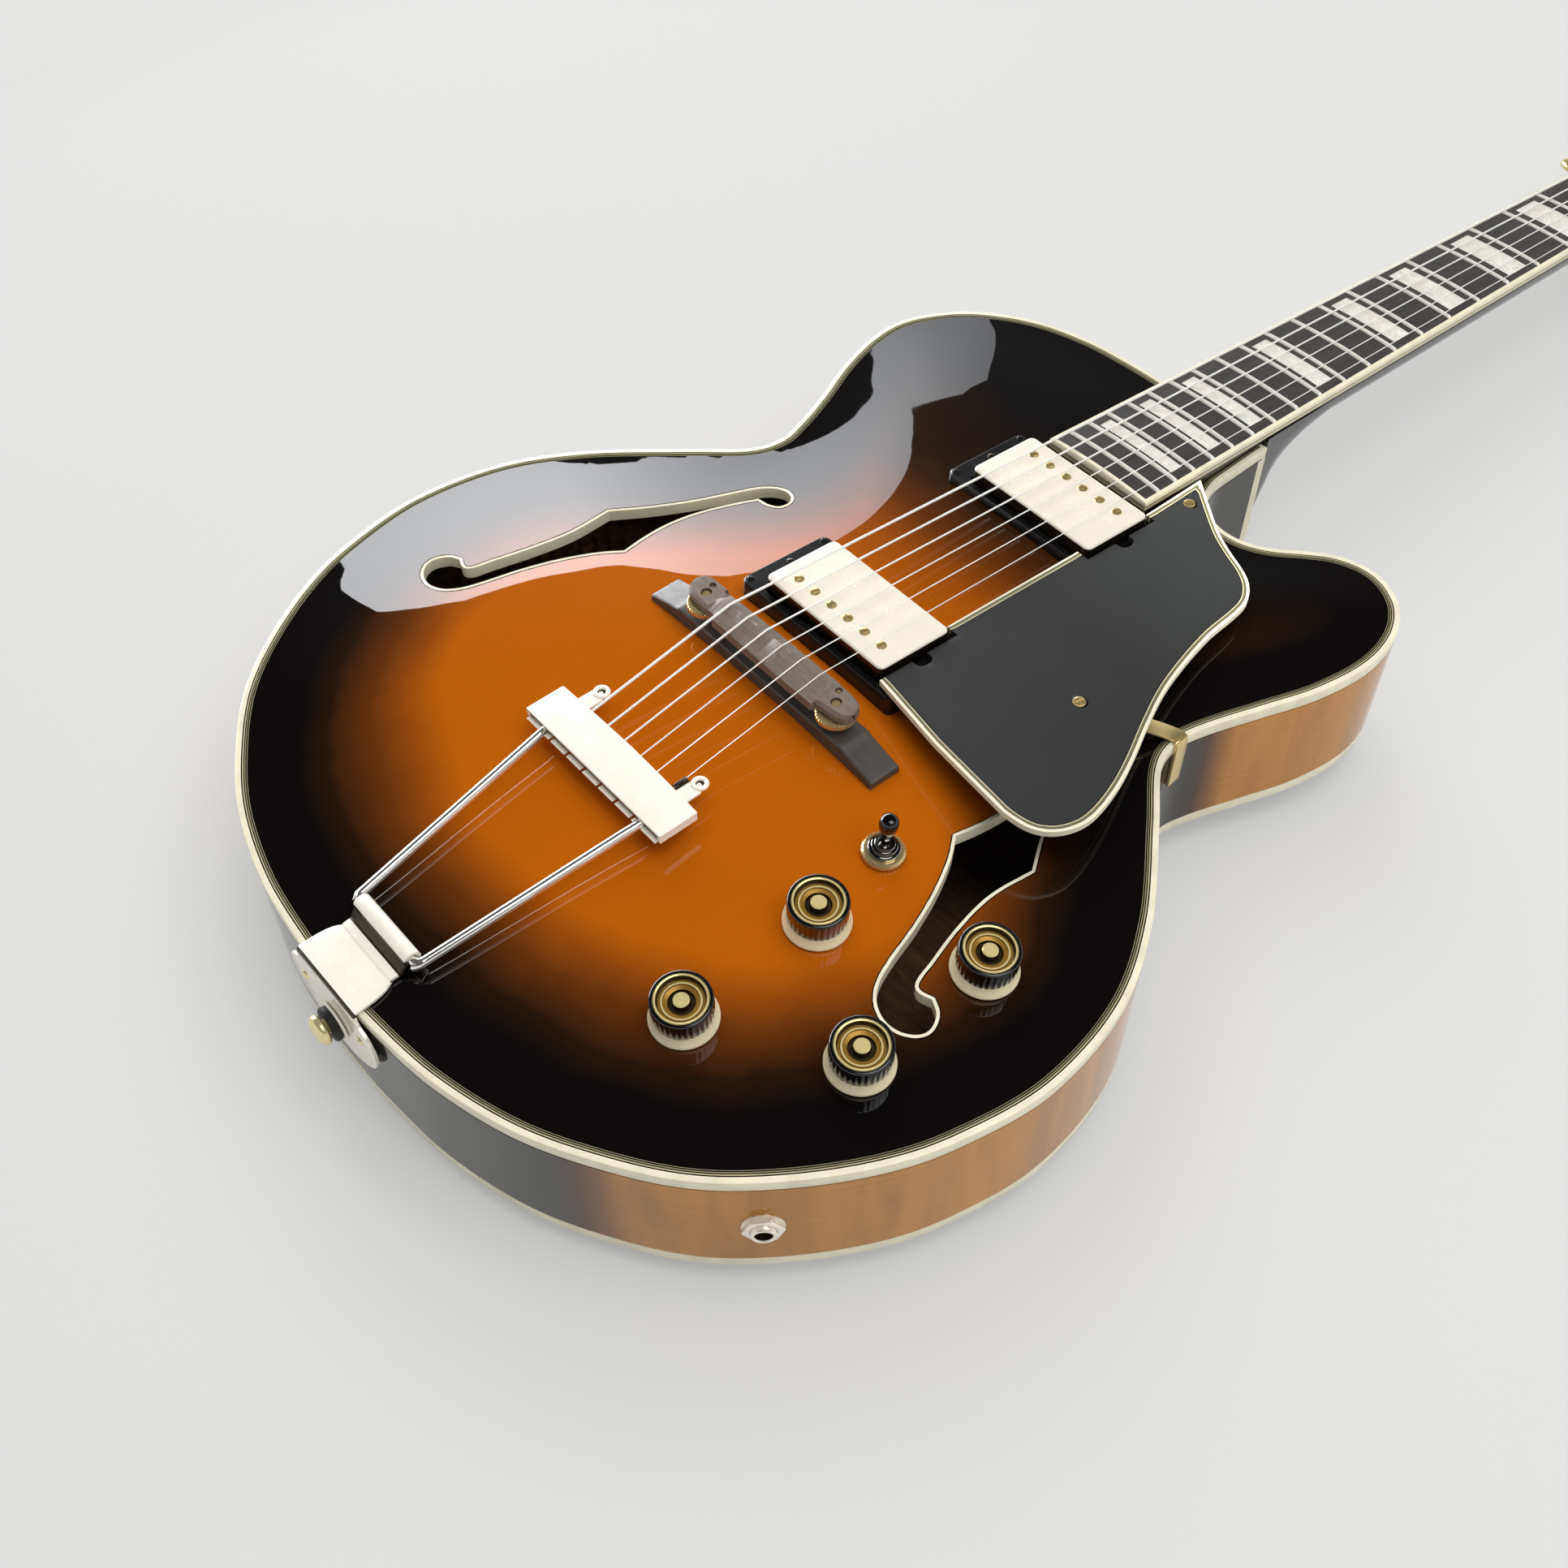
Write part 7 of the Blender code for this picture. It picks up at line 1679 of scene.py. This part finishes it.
class ARCHTOP_OT_guard(bpy.types.Operator):
    """Raised satin guard with laminated edges, its screws and the bent bracket to the waist"""
    bl_idname = "archtop.guard"
    bl_label = "Pickguard"

    points = ((0.0305, 0.0565), (0.0386, 0.0627), (0.0584, 0.0772), (0.0704, 0.0838), (0.0826, 0.0893),
              (0.0905, 0.095), (0.0962, 0.1035), (0.0984, 0.114), (0.1003, 0.1315), (0.1049, 0.152),
              (0.1106, 0.1706), (0.1186, 0.189), (0.1269, 0.206), (0.1334, 0.2213), (0.1378, 0.2365),
              (0.1386, 0.2475), (0.1352, 0.2575), (0.1282, 0.2638), (0.118, 0.266), (0.1088, 0.2654),
              (0.0747, 0.262))

    def execute(self, context):
        item = self.sheet(self.loop())
        dressed(item, "satin_guard", "body", "guard", ["pickguard"], angle=20.0, move=BODY)
        heads = []
        for x, y in GUARD_SCREWS:
            head = screw(0.0027, 0.0008, 0.0007)
            heads.append(placed(head, at(x, y, self.face(y) + 0.0001, 30.0 + 500 * x)))
        dressed(joined(*heads), "guard_screws", "body", "gold", move=BODY)
        # Flat black rings round the screw heads: painted shade of the recesses they sit in.
        shade_rings = [placed(turned(((0, 0.12), (3.3, 0.12), (3.5, 0.02), (0, 0.02)), 24),
                        at(x, y, self.face(y))) for x, y in GUARD_SCREWS]
        dressed(joined(*shade_rings), "guard_screw_shade_rings", "body", "black_plastic", move=BODY)
        self.stay()
        return {"FINISHED"}

    def face(self, y):
        """Height of the guard's upper face."""
        return 0.0104 + math.tan(NECK_ANGLE) * (-0.0565 - y)

    def loop(self):
        """Plan of the guard with its pickup notches, smooth along the free edge."""
        neck_y = (TO_NECK @ Vector((0.0, -NECK_PICKUP, 0.0))).y
        bridge_y = (TO_NECK @ Vector((0.0, -BRIDGE_PICKUP, 0.0))).y
        outer = spline([(x, -y) for x, y in self.points], 4)
        notch, edge, reach, half, deep = 0.0372, 0.031, 0.021, 0.0042, 0.005
        rest = [(notch, bridge_y - reach - 0.0005)]
        for middle in (bridge_y, neck_y):
            rest += [(notch + deep * math.sin(a) ** 0.5, middle - half * math.cos(a))
                     for a in np.radians(np.linspace(0, 180, 11))]
            rest += [(notch, middle + reach)]
            if middle == bridge_y:
                rest += [(edge, middle + reach), (edge, neck_y - reach), (notch, neck_y - reach)]
        rest.append((edge + 0.0012, neck_y + reach))
        loop = np.vstack((outer, rest))
        return loop[::-1] if turns_right(loop) else loop

    def sheet(self, loop):
        """Plate whose upper edge is scraped to a narrow bevel."""
        flat, triangles = filled([loop], 0.0024)
        face = self.face(flat[:, 1])
        scraped = face - 0.0003 * np.clip(1.0 - self.to_edge(flat, loop) / 0.0008, 0.0, 1.0)
        item = two_faced(flat, triangles, scraped, face - GUARD_THICKNESS)
        written(item, "across", self.to_edge(points_of(item)[:, :2], loop, True))
        return item

    def to_edge(self, points, loop, scraped=False):
        """Distance from each point to the loop, or to the part of it that is scraped to show the plies."""
        fine = evenly(np.vstack((loop, loop[:1])), 0.0004)
        if scraped:
            middles = [(TO_NECK @ Vector((0.0, -d, 0.0))).y for d in (NECK_PICKUP, BRIDGE_PICKUP)]
            beside = [(np.abs(fine[:, 1] - y) < 0.0215) & (fine[:, 0] < 0.044) for y in middles]
            fine = fine[~(beside[0] | beside[1])]
        return np.array([np.hypot(*(fine - p).T).min() for p in points])

    def stay(self):
        """Bent strip from under the guard to the rim."""
        start = Vector((0.094, -0.202, 0.0))
        goal = body_point(*LOWER_SHARES[0])
        i = int(np.argmin(np.hypot(*(OUTLINE - goal).T)))
        way = OUTLINE[i + 1] - OUTLINE[i - 1]
        outward_way = Vector((-way[1], way[0], 0.0)).normalized()
        edge = Vector((*OUTLINE[i], 0.0))
        along = (edge - start).normalized()
        across = Vector((-along.y, along.x, 0.0))
        rim_way = Vector((-outward_way.y, outward_way.x, 0.0))
        thick = 0.0007
        under = self.face(start.y) - GUARD_THICKNESS - GAP - thick
        off = outward_way * (GAP + thick)
        line = ((start - along * 0.012, under - 0.0006, across), (start, under, across),
                (start + (edge - start) * 0.55, under * 0.62, across),
                (edge - outward_way * 0.003, 0.0016, (across + rim_way * 2.0).normalized()),
                (edge + off * 0.3, GAP + thick + 0.0004, rim_way), (edge + off, -0.001, rim_way),
                (edge + off, -0.012, rim_way), (edge + off, -0.024, rim_way))
        rows = spline([(*(place + Vector((0.0, 0.0, z))), *way) for place, z, way in line], 5)
        rings = []
        for j, row in enumerate(rows):
            tangent = Vector(rows[min(len(rows) - 1, j + 1)][:3] - rows[max(0, j - 1)][:3]).normalized()
            side = Vector(row[3:6]).normalized()
            lift = side.cross(tangent).normalized() * thick
            middle = Vector(row[:3])
            half = side * 0.0034
            rings.append([middle - half - lift, middle + half - lift, middle + half + lift,
                                   middle - half + lift])
        item = rounded(lofted(rings), 0.0002, 2, 50.0)
        dressed(item, "bent_stay", "body", "gold", ["pickguard_bracket"], move=BODY)


class ARCHTOP_OT_knobs(bpy.types.Operator):
    """Four control knobs: flared pale skirt, fluted black ring and dished gold top"""
    bl_idname = "archtop.knobs"
    bl_label = "Knobs"

    def execute(self, context):
        for name in KNOBS:
            x, y = body_point(*CONTROL_SHARES[name])
            move = BODY @ top_frame(x, y)
            knob = name + "_knob"
            skirt = turned(((5.6, 0.7), (12.7, 0.7), (12.9, 1), (12.9, 1.6), (12.5, 2.4),
                            (11.8, 4), (11.5, 5.6), (10, 5.6), (5.6, 5.6), (5.6, 0.7)), 64)
            dressed(skirt, name + "_skirt", knob, "knob_skirt", [knob], move=move)
            dressed(self.ring(), name + "_ring", knob, "knob", angle=60.0, move=move)
            dish = turned(((0, 6), (9.9, 6), (9.9, 14.6), (9.6, 14.9), (9, 14.7), (8.7, 12.8), (8.4, 12.6),
                           (7.7, 12.6), (7.4, 13), (6.7, 13), (6.5, 12.4), (5, 12), (4.7, 10.8), (3.4, 10.8),
                           (3.1, 11.4), (3, 13.9), (2.6, 14.3), (0, 14.4)), 64)
            # Painted highlights on the lip, the ridge and the boss; painted shade in the wall and the groove.
            painted(dish, "knob_gold",
                    ("knob_painted_highlight", lambda c, n: math.hypot(c.x, c.y) > 0.00895 and c.z > 0.014),
                    ("knob_painted_shade", lambda c, n: 0.0084 < math.hypot(c.x, c.y) < 0.00895 and c.z < 0.0143),
                    ("knob_painted_highlight", lambda c, n: 0.0066 < math.hypot(c.x, c.y) < 0.0075),
                    ("knob_painted_shade", lambda c, n: 0.003 < math.hypot(c.x, c.y) < 0.005),
                    ("knob_painted_highlight", lambda c, n: math.hypot(c.x, c.y) < 0.00285))
            dressed(dish, name + "_dish", knob, "knob_gold", angle=28.0, move=move)
        return {"FINISHED"}

    def ring(self):
        """Black ring with fine flutes and a round upper edge."""
        count = 128
        rings = []
        for i in range(count):
            angle = 2.0 * math.pi * i / count
            flute = 0.00022 if i % 4 > 1 else 0.0
            section = ((0.0101, 0.0055), (0.0113 - flute, 0.0055), (0.0114 - flute, 0.0059),
                       (0.0115 - flute, 0.014), (0.0114, 0.0145), (0.011, 0.0149), (0.0106, 0.015),
                       (0.0102, 0.015), (0.01, 0.0146), (0.00995, 0.0136), (0.00995, 0.006))
            rings.append(around(section, angle))
        return lofted(rings, True)


class ARCHTOP_OT_switch(bpy.types.Operator):
    """Selector switch: knurled nut, stepped bushing and black-tipped lever"""
    bl_idname = "archtop.switch"
    bl_label = "Selector switch"

    def execute(self, context):
        x, y = body_point(*CONTROL_SHARES["switch"])
        move = BODY @ top_frame(x, y)
        count = 64
        rings = []
        for i in range(count):
            angle = 2.0 * math.pi * i / count
            rim = 0.0086 if i % 2 else 0.0083
            section = ((0.006, 0.0007), (rim, 0.0007), (rim, 0.0022), (rim - 0.0008, 0.003), (0.006, 0.003))
            rings.append(around(section, angle))
        dressed(lofted(rings, True), "switch_nut", "body", "gold", move=move)
        bush = turned(((0, -25.7), (9, -25.7), (9, -7.7), (5.8, -7.7), (5.8, 3), (6.2, 3.2), (6.2, 4.2),
                       (6, 4.4), (5.2, 4.5), (5.1, 5.8), (4.9, 6), (4.1, 6.1), (4, 7), (3.8, 7.2), (3.2, 7.1),
                       (3.1, 5), (2.8, 4), (0, 3.9)), 48)
        dressed(bush, "switch_bushing", "body", "bush_chrome", ["toggle_switch"], angle=25.0,
                move=move)
        pivot = move @ at(0.0, 0.0, 0.006)
        lever = turned(((0, -1.4), (1.2, -1), (1.4, 0), (1.6, 3.4), (1.8, 6.12),
                        (2.6, 6.8), (3, 8.5), (3.5, 10.54), (3.8, 12.58), (3.7, 14.45),
                        (3.2, 15.81), (2.2, 16.66), (1, 17), (0, 17)), 40)
        painted(lever, "bush_chrome", ("tip", lambda c, n: c.z > 0.00629))
        dressed(lever, "tipped_lever", "toggle_lever", "tip", ["toggle_lever"], angle=40.0,
                move=pivot)
        return {"FINISHED"}


class ARCHTOP_OT_jack(bpy.types.Operator):
    """Output jack: hexagonal nut, washer and open barrel"""
    bl_idname = "archtop.jack"
    bl_label = "Output jack"

    def execute(self, context):
        move = mount_frame("output_jack_nut", "output_jack", 0.0048)
        hexagon = outlined(circle(0.0, 0.0, 0.0078, 6), 0.001, 0.003)
        rounded(hexagon, 0.0004, 3, 40.0)
        cut(hexagon, rod(4.9, -10, 10, 32))
        dressed(hexagon, "jack_nut", "body", "nickel", move=move)
        washer = turned(((4.9, 0.3), (7.8, 0.3), (7.8, 0.9), (4.9, 1), (4.9, 0.3)), 40)
        dressed(washer, "jack_washer", "body", "nickel", move=move)
        barrel = turned(((4.7, -22), (4.7, 4.4), (4.4, 4.8), (3.6, 4.8), (3.3, 4.4),
                         (3.3, -22), (4.7, -22)), 40)
        # Inside of the barrel near-black: painted shade in the bore.
        painted(barrel, "nickel", ("bore", lambda c, n: math.hypot(c.x, c.y) < 0.0034 and c.z < 0.004))
        dressed(barrel, "jack_barrel", "body", "nickel", ["output_jack"], move=move)
        return {"FINISHED"}


class ARCHTOP_OT_tuners(bpy.types.Operator):
    """Six geared tuners: posts with bushings, three-on-a-plate housings and buttons"""
    bl_idname = "archtop.tuners"
    bl_label = "Tuners"

    def execute(self, context):
        bushings = []
        for index in range(6):
            number = 6 - index
            place = Matrix.Translation(post_place(index))
            post = turned(((0, -23.3), (3, -23.3), (3, 6.7), (2.7, 7.6), (2.34, 8.8), (2.34, 10), (2.7, 10.8),
                           (3, 11.4), (3, 15.2), (2.6, 16), (0, 16)), 32)
            dressed(post, "turned_post_%d" % number, "tuner_post_%d" % number, "gold",
                    ["tuner_post_%d" % number], move=HEAD @ place)
            bushing = turned(((3.3, -14), (4.7, -14), (4.7, 0.1), (6.2, 0.2), (6, 1.2),
                              (5, 2), (3.4, 2.2), (3.3, -14)), 32)
            bushings.append(placed(bushing, place))
            self.button(number)
        dressed(joined(*bushings), "post_bushings", "body", "gold", move=HEAD)
        for name, indices in (("bass", (0, 1, 2)), ("treble", (5, 4, 3))):
            self.plate(name, indices)
        return {"FINISHED"}

    def button(self, number):
        """Waisted stem and rounded wing of a tuner."""
        rows = ((0.0, 0.0024, 0.0024), (0.002, 0.002, 0.002), (0.011, 0.002, 0.002), (0.0135, 0.0024, 0.0024),
                (0.015, 0.0028, 0.0024), (0.0165, 0.0044, 0.0028), (0.0185, 0.006, 0.0034),
                (0.0215, 0.0069, 0.0036), (0.0245, 0.0071, 0.0036), (0.0275, 0.006, 0.003),
                (0.0295, 0.0046, 0.0024), (0.0305, 0.0028, 0.0014))
        rings = [[(w * math.cos(a), t * math.sin(a), z) for a in 2.0 * math.pi * np.arange(28) / 28]
                 for z, w, t in spline(rows, 3)]
        name = "tuner_button_%d" % number
        joint = joint_named("tuner_%d_turn" % number)
        points = [v.co for v in frame["nodes"][name].data.vertices]
        axis = Vector(joint["axis"]).normalized()
        middle = sum(points, Vector()) / len(points)
        if axis.dot(middle - BODY @ (TO_HEAD @ Vector((0.0, 0.09, -0.019)))) < 0.0:
            axis = -axis
        low = min((p - middle).dot(axis) for p in points)
        foot = Vector(joint["pos_m"])
        foot += axis * ((middle - foot).dot(axis) + low)
        across = (HEAD.to_3x3() @ Vector((0.0, 0.0, 1.0))).normalized()
        side = across.cross(axis).normalized()
        across = axis.cross(side)
        move = Matrix((side, across, axis)).transposed().to_4x4()
        move.translation = foot
        dressed(lofted(rings), "shaped_button_%d" % number, name, "gold", [name],
                angle=60.0, move=move)

    def plate(self, name, indices):
        """Base strip with three domed gear housings."""
        side = -1.0 if name == "bass" else 1.0
        first, last = post_place(indices[0]), post_place(indices[2])
        along = (last - first).normalized()
        across = Vector((along.y, -along.x, 0.0)) * side
        if across.x * side < 0.0:
            across = -across
        top = -0.0148
        turn = Matrix((across, along, Vector((0.0, 0.0, 1.0)))).transposed().to_4x4()
        parts = []
        span = (last - first).length
        loop = frame_rect(0.0065, span / 2.0 + 0.0125, 0.003)
        sheet = outlined(loop, top - 0.0012, top)
        rounded(sheet, 0.0003, 2, 60.0)
        parts.append(placed(sheet, Matrix.Translation((first + last) / 2.0) @ turn))
        for index in indices:
            box = outlined(frame_rect(0.007, 0.0066, 0.0022), top - 0.0085, top - 0.0006)
            rounded(box, 0.0016, 4, 60.0)
            parts.append(placed(box, Matrix.Translation(post_place(index)) @ turn @ at(0.0005, 0.0, 0.0)))
        item = parts[0]
        for part in parts[1:]:
            cut(item, part, "UNION")
        for index in indices:
            cut(item, placed(rod(3.4, -40, 0), Matrix.Translation(post_place(index))))
        dressed(item, "geared_plate_" + name, "body", "gold", ["tuner_plate_" + name],
                move=HEAD)


class ARCHTOP_OT_small_parts(bpy.types.Operator):
    """Strap button on the shoulder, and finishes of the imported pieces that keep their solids"""
    bl_idname = "archtop.small_parts"
    bl_label = "Strap button and carried pieces"

    def execute(self, context):
        move = mount_frame("strap_shoulder_button", "strap_button", 0.011)
        dressed(rod(7.2, 0.3, 1.3, 32), "felt_washer", "body", "felt", move=move)
        button = turned(((0, 1.2), (5.8, 1.2), (4.8, 2.2), (3.7, 3.8), (3.6, 5.5), (4.2, 7.2), (6.2, 8.6),
                         (7.2, 9.2), (7.2, 10.4), (6.6, 11), (0, 11)), 40)
        dressed(button, "turned_strap_button", "body", "gold", ["strap_button"], move=move)
        carried = {"nut": "bone", "truss_rod_cover": "black_plastic", "neck_block": "raw_wood",
                   "end_block": "raw_wood"}
        for name in KNOBS:
            carried[name + "_pot"] = "pot_steel"
        for name, look in carried.items():
            for slot in frame["nodes"][name].material_slots:
                slot.material = finish(look)
        return {"FINISHED"}


OPERATORS = (ARCHTOP_OT_stage, ARCHTOP_OT_top, ARCHTOP_OT_sides, ARCHTOP_OT_neck, ARCHTOP_OT_fingerboard,
             ARCHTOP_OT_strings, ARCHTOP_OT_pickups, ARCHTOP_OT_bridge, ARCHTOP_OT_tailpiece,
             ARCHTOP_OT_guard,
             ARCHTOP_OT_knobs, ARCHTOP_OT_switch, ARCHTOP_OT_jack, ARCHTOP_OT_tuners, ARCHTOP_OT_small_parts)


class ARCHTOP_PT_panel(bpy.types.Panel):
    """Pieces, sizes and colours of the guitar"""
    bl_label = "Archtop guitar"
    bl_idname = "ARCHTOP_PT_panel"
    bl_space_type = "VIEW_3D"
    bl_region_type = "UI"
    bl_category = "Archtop"

    def draw(self, context):
        for operator in OPERATORS:
            self.layout.operator(operator.bl_idname)
        for group in (context.scene.archtop_sizes, context.scene.archtop_colours):
            for key in type(group).__annotations__:
                self.layout.prop(group, key)


def register():
    for cls in (ArchtopSizes, ArchtopColours, *OPERATORS, ARCHTOP_PT_panel):
        bpy.utils.register_class(cls)
    bpy.types.Scene.archtop_sizes = bpy.props.PointerProperty(type=ArchtopSizes)
    bpy.types.Scene.archtop_colours = bpy.props.PointerProperty(type=ArchtopColours)


def unregister():
    del bpy.types.Scene.archtop_sizes
    del bpy.types.Scene.archtop_colours
    for cls in (ARCHTOP_PT_panel, *reversed(OPERATORS), ArchtopColours, ArchtopSizes):
        bpy.utils.unregister_class(cls)


def main():
    register()
    for operator in OPERATORS:
        module, name = operator.bl_idname.split(".")
        getattr(getattr(bpy.ops, module), name)()


if __name__ == "__main__":
    main()
